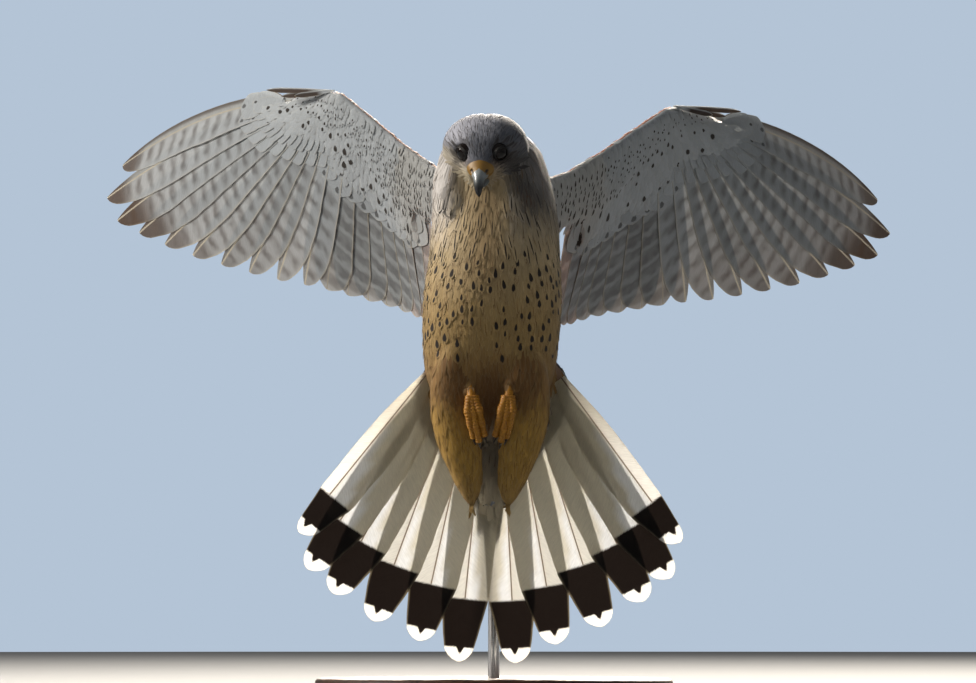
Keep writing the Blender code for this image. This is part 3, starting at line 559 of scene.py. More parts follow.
@dataclass(frozen=True)
class BillFinish:
    """Horn of the bill, blue-grey with a black tip, and the waxy yellow cere at its base."""

    name: str = "horn_and_cere"
    horn: str = "A9AFAC"
    tip: str = "0E0F14"
    cere: str = "7C5817"

    def build(self) -> bpy.types.Material:
        """Builds the material from the share of cere, of tip and of painted shade that each point carries.

        Returns:
            The material.
        """
        material = fresh_material(self.name)
        tree = material.node_tree
        parts = parts_of(tree, "part")
        place = add(tree, "TexCoord", out="Object")
        # Growth lines of the horn, about 0.5 mm apart
        fine = add(tree, "TexNoise", named={"Vector": place, "Scale": 1600.0, "Detail": 3.0})
        broad = add(tree, "TexNoise", named={"Vector": place, "Scale": 350.0, "Detail": 2.0})
        horn = add(tree, "MixRGB", broad, linear(self.horn), linear("5E6A76"))
        horn = add(tree, "MixRGB", parts[1], horn, linear(self.tip))
        cere = add(tree, "MixRGB", broad, linear(self.cere), linear("8F6F2C"))
        rough_edge = add(tree, "Math", broad, 0.5, parts[0], operation="MULTIPLY_ADD")
        share = add(tree, "MapRange", rough_edge, 0.68, 0.84, interpolation_type="SMOOTHSTEP")
        colour = add(tree, "MixRGB", share, horn, cere)
        # The third part paints shade in dark brown at the top of the cere's base and in the nostril pits, and
        # darkens the whole gape a little
        colour = add(tree, "MixRGB", parts[2], colour, linear("241408"))
        rough = add(tree, "MapRange", share, 0.0, 1.0, 0.28, 0.5)
        bump = add(tree, "Bump", named={"Height": fine, "Distance": 0.00004, "Strength": 0.5})
        return surface(material, {"Base Color": colour, "Roughness": rough, "Normal": bump, "IOR": 1.54})


@dataclass(frozen=True)
class EyeFinish:
    """A wet eye with a black pupil and a very dark brown iris under the clear cornea."""

    name: str = "wet_eye"

    def build(self) -> bpy.types.Material:
        """Builds the material from the distance to the pupil's middle.

        Returns:
            The material.
        """
        material = fresh_material(self.name)
        tree = material.node_tree
        parts = parts_of(tree, "part")
        place = add(tree, "TexCoord", out="Object")
        # Near-black under a wet cornea, so that the eye shows one small sharp highlight
        fibres = add(tree, "TexNoise", named={"Vector": place, "Scale": 2500.0, "Detail": 3.0})
        iris = add(tree, "MixRGB", fibres, linear("0D0806"), linear("170E09"))
        pupil = add(tree, "MapRange", parts[0], 0.46, 0.5, interpolation_type="SMOOTHSTEP")
        colour = add(tree, "MixRGB", pupil, linear("050404"), iris)
        return surface(material, {"Base Color": colour, "Roughness": 0.05, "IOR": 1.376})


@dataclass(frozen=True)
class ScaleFinish:
    """Scaly bare skin, waxy and slightly glossy, darker between its plates."""

    name: str = "scaly_yellow_skin"
    bright: str = "CE9724"
    deep: str = "8E5A1A"
    grain_mm: float = 0.7

    def build(self) -> bpy.types.Material:
        """Builds the material on the object's own place.

        Returns:
            The material.
        """
        material = fresh_material(self.name)
        tree = material.node_tree
        place = add(tree, "TexCoord", out="Object")
        # Small plates with darker seams catch the light one by one
        scale = 1000.0 / self.grain_mm
        cells = add(tree, "TexVoronoi", named={"Vector": place, "Scale": scale}, feature="DISTANCE_TO_EDGE")
        cloud = add(tree, "TexNoise", named={"Vector": place, "Scale": 260.0, "Detail": 3.0})
        seam = add(tree, "MapRange", cells, 0.02, 0.14, interpolation_type="SMOOTHSTEP")
        base = add(tree, "MixRGB", cloud, linear(self.bright), linear(self.deep))
        colour = add(tree, "MixRGB", seam, linear(self.deep), base)
        bump = add(tree, "Bump", named={"Height": seam, "Distance": 0.00008, "Strength": 0.6})
        return surface(
            material, {"Base Color": colour, "Roughness": 0.45, "Specular IOR Level": 0.4, "Normal": bump}
        )


@dataclass(frozen=True)
class ClawFinish:
    """Polished black horn of the claws, greyer at the root."""

    name: str = "black_horn"

    def build(self) -> bpy.types.Material:
        """Builds the material on the object's own place.

        Returns:
            The material.
        """
        material = fresh_material(self.name)
        tree = material.node_tree
        place = add(tree, "TexCoord", out="Object")
        # Faint growth streaks keep the polished black from looking like plastic
        fine = add(tree, "TexNoise", named={"Vector": place, "Scale": 1400.0, "Detail": 3.0})
        colour = add(tree, "MixRGB", fine, linear("0E0D0E"), linear("2C2A2B"))
        return surface(material, {"Base Color": colour, "Roughness": 0.28, "IOR": 1.54})


@dataclass(frozen=True)
class WalnutFinish:
    """Turned walnut, stained dark and waxed, with open grain about 1 mm wide."""

    name: str = "stained_walnut"

    def build(self) -> bpy.types.Material:
        """Builds the material with its grain along X.

        Returns:
            The material.
        """
        material = fresh_material(self.name)
        tree = material.node_tree
        place = add(tree, "TexCoord", out="Object")
        along = add(tree, "Mapping", place, named={"Scale": (0.06, 1.0, 1.0), "Rotation": (0.2, 0.0, 0.1)})
        # The broad figure gives the wood its dark and light streaks, and the pores their fine dark pits
        broad = {"Vector": along, "Scale": 90.0, "Detail": 4.0, "Distortion": 0.6}
        figure = add(tree, "TexNoise", named=broad)
        pores = add(tree, "TexNoise", named={"Vector": along, "Scale": 1000.0, "Detail": 3.0})
        streak = add(tree, "MapRange", figure, 0.35, 0.65)
        colour = add(tree, "MixRGB", streak, linear("2A1A12"), linear("4E3323"))
        pit = add(tree, "MapRange", pores, 0.38, 0.46)
        colour = add(tree, "MixRGB", pit, linear("150C08"), colour)
        rough = add(tree, "MapRange", pores, 0.3, 0.7, 0.56, 0.46)
        bump = add(tree, "Bump", named={"Height": pit, "Distance": 0.0001, "Strength": 0.4})
        return surface(
            material, {"Base Color": colour, "Roughness": rough, "Specular IOR Level": 0.25, "Normal": bump}
        )


@dataclass(frozen=True)
class SteelFinish:
    """Drawn stainless rod, brushed along its length."""

    name: str = "brushed_steel"

    def build(self) -> bpy.types.Material:
        """Builds the material with its brush lines along Z.

        Returns:
            The material.
        """
        material = fresh_material(self.name)
        tree = material.node_tree
        place = add(tree, "TexCoord", out="Object")
        along = add(tree, "Mapping", place, named={"Scale": (1.0, 1.0, 0.02)})
        # Brush lines draw the highlight out along the rod
        lines = add(tree, "TexNoise", named={"Vector": along, "Scale": 4000.0, "Detail": 2.0})
        rough = add(tree, "MapRange", lines, 0.3, 0.7, 0.22, 0.38)
        colour = add(tree, "MixRGB", lines, linear("B8BABD"), linear("D2D3D5"))
        bump = add(tree, "Bump", named={"Height": lines, "Distance": 0.00001, "Strength": 0.4})
        return surface(
            material, {"Base Color": colour, "Metallic": 1.0, "Roughness": rough, "Normal": bump}
        )


@dataclass
class Look:
    """What each feather's finish reads: arrays with one row per feather or per point."""

    tint: Array
    ink: Array
    drop: Array
    fringe: Array
    vary: Array
    patch: Array


class FeatherBatch:
    """Feathers collected as one joined mesh, with the attributes that their finish reads."""

    KINDS = {"tint": "FLOAT_COLOR", "ink": "FLOAT_COLOR"}
    PATCH = 0.003

    def __init__(self, name: str) -> None:
        """Starts an empty batch.

        Args:
            name: The name of the piece that it becomes.
        """
        self.name = name
        self.points: list[Array] = []
        self.loops: list[Array] = []
        self.totals: list[Array] = []
        self.normals: list[Array] = []
        self.places: list[Array] = []
        self.fields: dict[str, list[Array]] = {}
        self.count = 0
        self.feathers = 0

    def _store(
        self, points: Array, faces: Array, normals: Array, fields: dict[str, Array], places: Array
    ) -> None:
        """Adds points, faces of one size, corner normals, attributes and bake places.

        Args:
            points: Its points.
            faces: Its faces, all of one size.
            normals: The corners' normals.
            fields: The points' attributes.
            places: The points' places on the bake map.
        """
        self.points.append(points)
        self.loops.append((faces + self.count).ravel())
        self.totals.append(np.full(len(faces), faces.shape[1]))
        self.normals.append(normals.reshape(-1, 3))
        self.places.append(places)
        for key, values in fields.items():
            self.fields.setdefault(key, []).append(values)
        self.count += len(points)

    def add_tufts(
        self, path: Array, normal: Array, half_width: Array, thickness: Array, camber: Array, look: Look
    ) -> None:
        """Adds small feathers, each a thin closed leaf with four corners to a ring.

        Args:
            path: Points down each feather's middle, as feathers, rows, xyz.
            normal: The way out of the skin at each.
            half_width: Half the width at each.
            thickness: The thickness in the middle at each.
            camber: How far the edges curl towards the skin at each.
            look: What the finish reads, one row per feather.
        """
        count, rows = path.shape[:2]
        way = unit(np.gradient(path, axis=1))
        side = unit(np.cross(way, normal))
        out = unit(np.cross(side, way))
        wide = side * half_width[..., None]
        curl = out * camber[..., None]
        thick = out * (0.5 * thickness[..., None])
        ring = np.stack([path - wide - curl, path + thick, path + wide - curl, path - thick], axis=2)
        soft = unit(0.3 * out + 0.7 * normal)
        lean = 0.12 * side
        upper = [unit(soft - lean), soft, unit(soft + lean)]
        lower = [unit(lean - soft), -soft, unit(-lean - soft)]
        shading = np.stack([*upper, *lower, -way, way], axis=2)
        faces: list[tuple[int, int, int, int]] = []
        shades: list[tuple[int, int, int, int]] = []
        pairs = ((0, 1), (1, 2), (3, 4), (4, 5))
        for row in range(rows - 1):
            for corner in range(4):
                a = row * 4 + corner
                b = row * 4 + (corner + 1) % 4
                faces.append((a, b, b + 4, a + 4))
                first, second = pairs[corner]
                low, high = row * 8, row * 8 + 8
                shades.append((low + first, low + second, high + second, high + first))
        last = (rows - 1) * 4
        faces += [(3, 2, 1, 0), (last, last + 1, last + 2, last + 3)]
        shades += [(6, 6, 6, 6), tuple([(rows - 1) * 8 + 7] * 4)]
        template = np.array(faces)
        all_faces = (template[None] + (np.arange(count) * rows * 4)[:, None, None]).reshape(-1, 4)
        normals = shading.reshape(count, rows * 8, 3)[:, np.array(shades)].reshape(-1, 3)

        steps = np.linalg.norm(np.diff(path, axis=1), axis=2)
        along = np.concatenate([np.zeros((count, 1)), np.cumsum(steps, axis=1)], axis=1)
        length = along[:, -1:]
        across = np.stack([-half_width, 0 * half_width, half_width, 0 * half_width], axis=2)
        run = np.repeat(along[..., None], 4, axis=2)
        rest = np.repeat((length - along)[..., None], 4, axis=2)
        edge = np.broadcast_to(np.array([1.0, 0.0, 1.0, 0.0]), across.shape).copy()
        edge[:, -1] = 1.0
        share = run / np.maximum(length[..., None], 1e-6)
        widest = np.maximum(half_width.max(axis=1), 1e-6)[:, None, None]
        places = np.stack([across / widest, 2 * share - 1], axis=-1) * (0.5 * self.PATCH)
        places += look.patch[:, None, None]

        def spread(values: Array) -> Array:
            """Repeats a row per feather for each of its points."""
            return np.repeat(values, rows * 4, axis=0)

        fields = {
            "tint": spread(look.tint),
            "ink": spread(look.ink),
            "drop": spread(look.drop),
            "vane": np.stack([across, run, rest], axis=-1).reshape(-1, 3),
            "trim": np.stack([edge.reshape(-1), spread(look.fringe), spread(look.vary)], axis=1),
        }
        self._store(ring.reshape(-1, 3), all_faces, normals, fields, places.reshape(-1, 2))
        self.feathers += count

    def add_wisps(self, root: Array, way: Array, out: Array, length: Array, width: Array, look: Look) -> None:
        """Adds loose barbs, each a three-sided spike.

        Args:
            root: Where each starts.
            way: Where each points.
            out: The way out of the skin.
            length: How long each is.
            width: How thick each is at its root.
            look: What the finish reads, one row per barb.
        """
        count = len(root)
        side = unit(np.cross(way, out))
        wide = side * width[:, None]
        tall = out * width[:, None]
        tip = root + way * length[:, None]
        points = np.stack([root - wide, root + wide, root + tall, tip], axis=1)
        template = np.array([(0, 2, 3), (2, 1, 3), (1, 0, 3), (0, 1, 2)])
        faces = (template[None] + (np.arange(count) * 4)[:, None, None]).reshape(-1, 3)
        normals = np.repeat(out, 12, axis=0)
        normals = normals.reshape(count, 4, 3, 3).copy()
        normals[:, 2:] *= -1
        zero = np.zeros((count, 4))
        vane = np.stack([zero, zero + length[:, None] * np.array([0, 0, 0, 1.0]), zero + 1.0], axis=-1)

        def spread(values: Array) -> Array:
            """Repeats a row per barb for each of its points."""
            return np.repeat(values, 4, axis=0)

        fields = {
            "tint": spread(look.tint),
            "ink": spread(look.ink),
            "drop": spread(look.drop),
            "vane": vane.reshape(-1, 3),
            "trim": np.stack([zero.reshape(-1), spread(look.fringe), spread(look.vary)], axis=1),
        }
        corners = np.array([(-1, -1), (1, -1), (0, -1), (0, 1)]) * (0.4 * self.PATCH)
        places = look.patch[:, None] + corners[None]
        self._store(points.reshape(-1, 3), faces, normals.reshape(-1, 3), fields, places.reshape(-1, 2))

    def add_sheet(
        self,
        middle: Array,
        out: Array,
        thickness: Array,
        fields: dict[str, Array],
        cell: tuple[float, float, float, float],
    ) -> None:
        """Adds one large feather, a thin closed sheet of rows and columns.

        Args:
            middle: Points of its middle surface, as rows, columns, xyz.
            out: The way to its upper side at each.
            thickness: Its thickness at each.
            fields: Attributes, as upper and lower side, rows, columns, and size.
            cell: Its cell of the bake map, as left, low, width and height.
        """
        rows, columns = middle.shape[:2]
        half = out * (0.5 * thickness[..., None])
        points = np.concatenate([(middle + half).reshape(-1, 3), (middle - half).reshape(-1, 3)])
        along = unit(np.gradient(middle, axis=0))
        across = np.gradient(middle, axis=1)
        geo = unit(np.cross(across, along))
        geo *= np.sign((geo * out).sum(axis=2, keepdims=True))
        flip = bool((np.cross(across, along) * out).sum() < 0)
        grid = np.arange(rows * columns).reshape(rows, columns)
        a, b = grid[:-1, :-1].ravel(), grid[:-1, 1:].ravel()
        c, d = grid[1:, 1:].ravel(), grid[1:, :-1].ravel()
        upper = np.stack([a, b, c, d], axis=1)
        lower = upper[:, ::-1] + rows * columns
        if flip:
            upper, lower = upper[:, ::-1], lower[:, ::-1]
        rim = np.concatenate([grid[0], grid[1:, -1], grid[-1, -2::-1], grid[-2:0:-1, 0]])
        after = np.roll(rim, -1)
        walls = np.stack([rim, rim + rows * columns, after + rows * columns, after], axis=1)
        if flip:
            walls = walls[:, ::-1]
        faces = np.concatenate([upper, lower, walls])
        geo = unit(0.4 * geo + 0.6 * out)
        vertex_normals = np.concatenate([geo.reshape(-1, 3), -geo.reshape(-1, 3)])
        normals = vertex_normals[np.concatenate([upper, lower])]
        corner = points[walls]
        flat = unit(np.cross(corner[:, 1] - corner[:, 0], corner[:, 3] - corner[:, 0]))
        normals = np.concatenate([normals, np.repeat(flat[:, None], 4, axis=1)])
        left, low, width, height = cell
        u, v = np.meshgrid(np.linspace(0.03, 0.97, columns), np.linspace(0.01, 0.99, rows))
        top_place = np.stack([left + 0.5 * width * u, low + height * v], axis=-1).reshape(-1, 2)
        low_place = top_place + np.array([0.5 * width, 0.0])
        flat_fields = {key: values.reshape(2 * rows * columns, -1) for key, values in fields.items()}
        places = np.concatenate([top_place, low_place])
        self._store(points, faces, normals.reshape(-1, 3), flat_fields, places)
        self.feathers += 1

    def build(self) -> bpy.types.Object:
        """Joins what was added into one object in metres.

        Returns:
            The object.
        """
        mesh = bpy.data.meshes.new(self.name)
        points = (np.concatenate(self.points) - ORIGIN) * MM
        loops = np.concatenate(self.loops).astype(np.int32)
        totals = np.concatenate(self.totals)
        starts = np.concatenate([[0], np.cumsum(totals)[:-1]]).astype(np.int32)
        mesh.vertices.add(len(points))
        mesh.loops.add(len(loops))
        mesh.polygons.add(len(totals))
        mesh.vertices.foreach_set("co", points.astype(np.float32).ravel())
        mesh.loops.foreach_set("vertex_index", loops)
        mesh.polygons.foreach_set("loop_start", starts)
        mesh.polygons.foreach_set("use_smooth", np.ones(len(totals), bool))
        mesh.update(calc_edges=True)
        for key, parts in self.fields.items():
            values = np.concatenate(parts).astype(np.float32)
            kind = self.KINDS.get(key, "FLOAT_VECTOR")
            layer = mesh.attributes.new(key, kind, "POINT")
            if kind == "FLOAT_COLOR":
                values = np.concatenate([values, np.ones((len(values), 1), np.float32)], axis=1)
                layer.data.foreach_set("color", values.ravel())
            else:
                layer.data.foreach_set("vector", values.ravel())
        places = np.concatenate(self.places)[loops]
        mesh.uv_layers.new(name="OFBake").uv.foreach_set("vector", places.astype(np.float32).ravel())
        mesh.normals_split_custom_set(np.concatenate(self.normals).astype(np.float32))
        made = bpy.data.objects.new(self.name, mesh)
        bpy.context.scene.collection.objects.link(made)
        return made


@dataclass
class HeadShape:
    """The head's own axes and sections, as the solids have them."""

    middle: Array = field(default_factory=lambda: np.array([-2.7, -15.0, 288.6]))
    pitch: float = math.radians(35)
    yaw: float = math.radians(9)
    sections: tuple[tuple[float, ...], ...] = (
        (-21.5, 6.0, 4.6, -6.0),
        (-19.5, 11.0, 8.6, -10.0),
        (-15.0, 17.0, 13.0, -14.5),
        (-8.0, 21.6, 16.2, -17.0),
        (-1.0, 22.6, 17.0, -17.6),
        (5.0, 20.2, 16.0, -17.0),
        (9.0, 16.6, 14.2, -15.6),
        (12.5, 13.2, 11.8, -13.4),
        (16.0, 10.0, 8.8, -11.4),
        (19.0, 7.6, 5.6, -9.6),
    )
    eye_radius: float = 5.5
    eye_opening: tuple[float, float, float] = (12.0, 5.4, 11.0)
    eye_turn: float = math.radians(46)
    eye_depth: float = 4.4

    def __post_init__(self) -> None:
        """Works out the head's axes."""
        self.forward = np.array([
            -math.sin(self.yaw) * math.cos(self.pitch),
            -math.cos(self.yaw) * math.cos(self.pitch),
            -math.sin(self.pitch),
        ])
        self.aside = np.array([math.cos(self.yaw), -math.sin(self.yaw), 0.0])
        self.up = np.cross(self.forward, self.aside)

    def point(self, forward: float, up: float, aside: float = 0.0) -> Array:
        """A place on the head in bird millimetres."""
        return self.middle + forward * self.forward + up * self.up + aside * self.aside

    def local(self, points: Array) -> Array:
        """Places in the head's own axes, as forward, up and aside."""
        away = points - self.middle
        return np.stack([away @ self.forward, away @ self.up, away @ self.aside], axis=-1)

    def ring(self, section: Array, across: Array, deep: Array) -> Array:
        """One ring across the head or the bill.

        Args:
            section: How far forward it stands, its half width, its top and its bottom.
            across: Its outline's places across, from -1 to 1.
            deep: Its outline's places up, from -1 to 1.

        Returns:
            The ring's points.
        """
        forward, half_width, top, low = section
        centre, reach = 0.5 * (top + low), 0.5 * (top - low)
        places = zip(centre + reach * deep, half_width * across)
        return np.array([self.point(forward, up, aside) for up, aside in places])

    def rings(self, count: int = 26, sides: int = 36) -> Rings:
        """Rings of the head's outline.

        Args:
            count: How many rings.
            sides: How many points to a ring.

        Returns:
            The rings, from the nape forwards.
        """
        outline = superellipse(sides, 2.15)
        return [self.ring(section, *outline) for section in smooth_rows(self.sections, count)]

    def gaze(self, side: Side) -> Array:
        """The way that an eye looks."""
        turn = self.eye_turn
        return unit(math.cos(turn) * self.forward + 0.1 * self.up + side.value * math.sin(turn) * self.aside)

    def eye_axes(self, side: Side) -> tuple[Array, Array, Array]:
        """Where an eye looks, the way across it and the way up it.

        Args:
            side: Which eye.

        Returns:
            The gaze, the way across it and the way up it.
        """
        gaze = self.gaze(side)
        flat = unit(np.cross(gaze, self.up))
        return gaze, flat, np.cross(flat, gaze)

    def from_eye(self, side: Side, points: Array) -> tuple[Array, Array]:
        """How far places lie ahead of an eyeball's middle, and how far off the line of its gaze.

        Args:
            side: Which eye.
            points: Places in bird millimetres.

        Returns:
            Millimetres ahead and millimetres off the line.
        """
        gaze, away = self.gaze(side), points - self.eye_middle(side)
        ahead = away @ gaze
        return ahead, np.linalg.norm(away - ahead[..., None] * gaze, axis=-1)

    def eye_middle(self, side: Side) -> Array:
        """The middle of an eyeball."""
        forward, up, aside = self.eye_opening
        return self.point(forward, up, side.value * aside) - self.gaze(side) * self.eye_depth


@dataclass
class WingShape:
    """The wing's bones and the shafts that spring from them, before its roll."""

    side: Side
    middle: Array = field(default_factory=lambda: np.array([3.7, 0.0, 236.0]))
    roll: float = math.radians(2.6)
    shoulder: Array = field(default_factory=lambda: np.array([20.0, 12.0, 270.0]))
    elbow: Array = field(default_factory=lambda: np.array([52.0, 50.0, 268.0]))
    wrist: Array = field(default_factory=lambda: np.array([85.0, 63.0, 310.0]))
    hand_way: Array = field(default_factory=lambda: np.array([0.460, 0.888, 0.0]))
    dorsal: Array = field(default_factory=lambda: np.array([-0.8, 0.45, 0.3]))
    arm_feathers: tuple[tuple[float, ...], ...] = (
        (-66.0, 35.0, 66.0, 199.5),
        (-54.0, 37.5, 78.0, 199.0),
        (-44.0, 41.5, 91.0, 199.8),
        (-35.0, 48.0, 103.0, 202.2),
        (-26.5, 56.5, 113.5, 204.7),
        (-18.5, 66.5, 122.5, 206.9),
        (-11.6, 77.4, 130.5, 209.2),
        (-4.9, 88.7, 139.5, 211.8),
    )
    hand_feathers: tuple[tuple[float, ...], ...] = (
        (4.6, 100.6, 149.5, 213.9),
        (8.8, 115.0, 162.5, 216.0),
        (13.0, 130.2, 176.5, 219.2),
        (17.6, 145.3, 191.0, 222.8),
        (22.2, 160.8, 206.0, 226.8),
        (26.8, 176.0, 221.5, 232.0),
        (31.3, 190.0, 237.0, 237.6),
        (35.8, 202.1, 250.0, 243.6),
        (40.2, 208.2, 257.5, 255.3),
        (44.8, 200.7, 255.0, 272.8),
    )
    outer_bows: tuple[float, ...] = (0.5, 1.5, 3.0, 5.0, 7.0, 9.5)
    arm_front: tuple[tuple[float, ...], ...] = (
        (17.0, 4.0, 272.0), (36.0, 19.0, 279.0), (53.0, 33.5, 290.5), (70.0, 47.5, 303.5),
        (86.0, 60.0, 315.0))
    arm_rear: tuple[tuple[float, ...], ...] = (
        (22.0, 24.0, 244.0), (38.0, 41.0, 253.0), (52.5, 56.0, 260.0), (69.5, 62.5, 281.0),
        (85.7, 68.5, 303.0))
    arm_thickness: tuple[float, ...] = (12.0, 10.0, 9.2, 8.3, 7.4)
    hand_core: tuple[tuple[float, ...], ...] = (
        (12.0, 6.4, 9.0, 6.6), (26.0, 5.6, 9.0, 6.2), (40.0, 4.4, 8.0, 5.8), (50.0, 3.0, 6.0, 5.0),
        (56.0, 1.2, 2.6, 2.6))
    airfoil: tuple[tuple[float, float], ...] = (
        (0.0, 0.0), (0.03, 0.24), (0.10, 0.40), (0.35, 0.50), (0.70, 0.46), (0.95, 0.36),
        (1.0, 0.0), (0.95, -0.36), (0.70, -0.44), (0.35, -0.46), (0.10, -0.36), (0.03, -0.22))

    def __post_init__(self) -> None:
        """Tabulates the shafts, their points and the surface's normals."""
        roots = []
        tips = []
        for place, *tip in self.arm_feathers + self.hand_feathers:
            roots.append(self.bone(place))
            tips.append(np.array(tip))
        for line in (roots, tips):
            line.insert(0, 2 * line[0] - line[1])
            line.append(2 * line[-1] - line[-2])
        self.roots, self.tips = np.array(roots), np.array(tips)
        self.count = len(roots)
        self.table = np.linspace(0.0, 1.0, 61)
        points, normals = [], []
        for place in self.table:
            points.append(self._row(place))
            line = self._row(max(place, 0.15))
            normal = np.cross(np.gradient(line, axis=0), self.tips - self.roots)
            normals.append(unit(normal * np.sign(normal @ self.dorsal)[:, None]))
        self.points_table, self.normals_table = np.array(points), np.array(normals)

    def bone(self, place: float) -> Array:
        """A point on the bones, from its distance to the wrist.

        Args:
            place: Millimetres from the wrist, below nothing along the arm.

        Returns:
            The point.
        """
        if place >= 0:
            return self.wrist + self.hand_way * place
        arm = float(np.linalg.norm(self.wrist - self.elbow))
        if place >= -arm:
            return self.wrist + unit(self.elbow - self.wrist) * -place
        return self.elbow + unit(self.shoulder - self.elbow) * (-place - arm)

    def _row(self, place: float) -> Array:
        """Every shaft's point at one place along it.

        Args:
            place: The share along the shafts.

        Returns:
            One point for each shaft.
        """
        points = self.roots + (self.tips - self.roots) * place
        first = self.count - 1 - len(self.outer_bows)
        for index, bow in enumerate(self.outer_bows + self.outer_bows[-1:]):
            points[first + index] += np.array([0.0, 0.0, 4 * bow * place * (1 - place)])
        return points

    def at(self, series: Array, place: Array) -> tuple[Array, Array]:
        """Reads the wing's surface.

        Args:
            series: Which shaft, counted from the body, whole or between two.
            place: The share along it.

        Returns:
            Points and the dorsal normals there.
        """
        series = np.clip(np.asarray(series, float), 0, self.count - 1.0001)
        place = np.clip(np.asarray(place, float), 0, 0.99999) * (len(self.table) - 1)
        i, k = series.astype(int), place.astype(int)
        a, b = (series - i)[..., None], (place - k)[..., None]

        def read(table: Array) -> Array:
            """Reads a table between its rows and columns."""
            low = table[k, i] * (1 - a) + table[k, i + 1] * a
            high = table[k + 1, i] * (1 - a) + table[k + 1, i + 1] * a
            return low * (1 - b) + high * b

        return read(self.points_table), unit(read(self.normals_table))

    def placed(self, points: Array) -> Array:
        """Points of this wing after the mirror and the roll that both wings share.

        Args:
            points: Points of the left wing before its roll.

        Returns:
            The points in place.
        """
        points = np.array(points, float)
        points[..., 0] *= self.side.value
        lean = points - np.array([0.0, 0.0, self.middle[2]])
        turned = points.copy()
        turned[..., 0] = math.cos(self.roll) * lean[..., 0] + math.sin(self.roll) * lean[..., 2]
        turned[..., 2] = math.cos(self.roll) * lean[..., 2] - math.sin(self.roll) * lean[..., 0]
        turned[..., 1] = lean[..., 1]
        return turned + self.middle

    def turned(self, vectors: Array) -> Array:
        """Directions after the mirror and the roll."""
        return self.placed(vectors) - self.placed(np.zeros(3))

    def unplaced(self, points: Array) -> Array:
        """Takes the roll and the mirror off again.

        Args:
            points: Points in place.

        Returns:
            The points on the left wing before its roll.
        """
        lean = np.asarray(points, float) - self.middle
        back = lean.copy()
        back[..., 0] = math.cos(self.roll) * lean[..., 0] - math.sin(self.roll) * lean[..., 2]
        back[..., 2] = math.cos(self.roll) * lean[..., 2] + math.sin(self.roll) * lean[..., 0]
        back[..., 2] += self.middle[2]
        back[..., 0] *= self.side.value
        return back

    def foil(self, front: Array, rear: Array, dorsal: Array, thickness: float) -> Array:
        """One ring of the fleshy wing.

        Args:
            front: The chord's front.
            rear: The chord's rear.
            dorsal: The way to the upper side.
            thickness: How thick it is.

        Returns:
            The ring.
        """
        chord = rear - front
        up = unit(dorsal - unit(chord) * (dorsal @ unit(chord)))
        return np.array([front + chord * a + up * (thickness * h) for a, h in self.airfoil])

    def cores(self) -> tuple[Rings, Rings]:
        """The rings of the fleshy arm and of the hand, in place.

        Returns:
            The arm's rings and the hand's rings.
        """
        normals = self.at(np.arange(self.count), np.full(self.count, 0.3))[1]
        arm = []
        rows = zip((1, 2, 4, 6, 8), self.arm_front, self.arm_rear, self.arm_thickness)
        for index, front, rear, thick in rows:
            arm.append(self.foil(np.array(front), np.array(rear), normals[index], thick))
        hand = [arm[-1]]
        for place, front, rear, thick in self.hand_core:
            share = place / self.hand_core[-1][0]
            dorsal = unit((1 - share) * normals[9] + share * normals[-2])
            rearward = unit(np.cross(dorsal, self.hand_way))
            rearward *= -np.sign(rearward[2])
            middle = self.wrist + self.hand_way * place
            hand.append(self.foil(middle - rearward * front, middle + rearward * rear, dorsal, thick))
        return [self.placed(ring) for ring in arm], [self.placed(ring) for ring in hand]

    def pad(self) -> Rings:
        """The thin wedge behind the bones that holds the coverts up off the flight feathers.

        Returns:
            The wedge's rings.
        """
        rings = []
        shares = np.array([0.0, 0.15, 0.3, 0.5, 0.7, 0.85, 1.0])
        half = np.array([2.6, 3.2, 3.0, 2.5, 2.1, 1.8, 1.6])
        for series in np.linspace(1.0, 17.6, 40):
            end = 0.36 - 0.14 * float(ease(np.array(series), 7.0, 10.0))
            middle, up = self.at(np.full(7, series), shares * end)
            upper, lower = middle + up * half[:, None], middle - up * half[:, None]
            rings.append(self.placed(np.concatenate([upper, lower[::-1]])))
        return rings


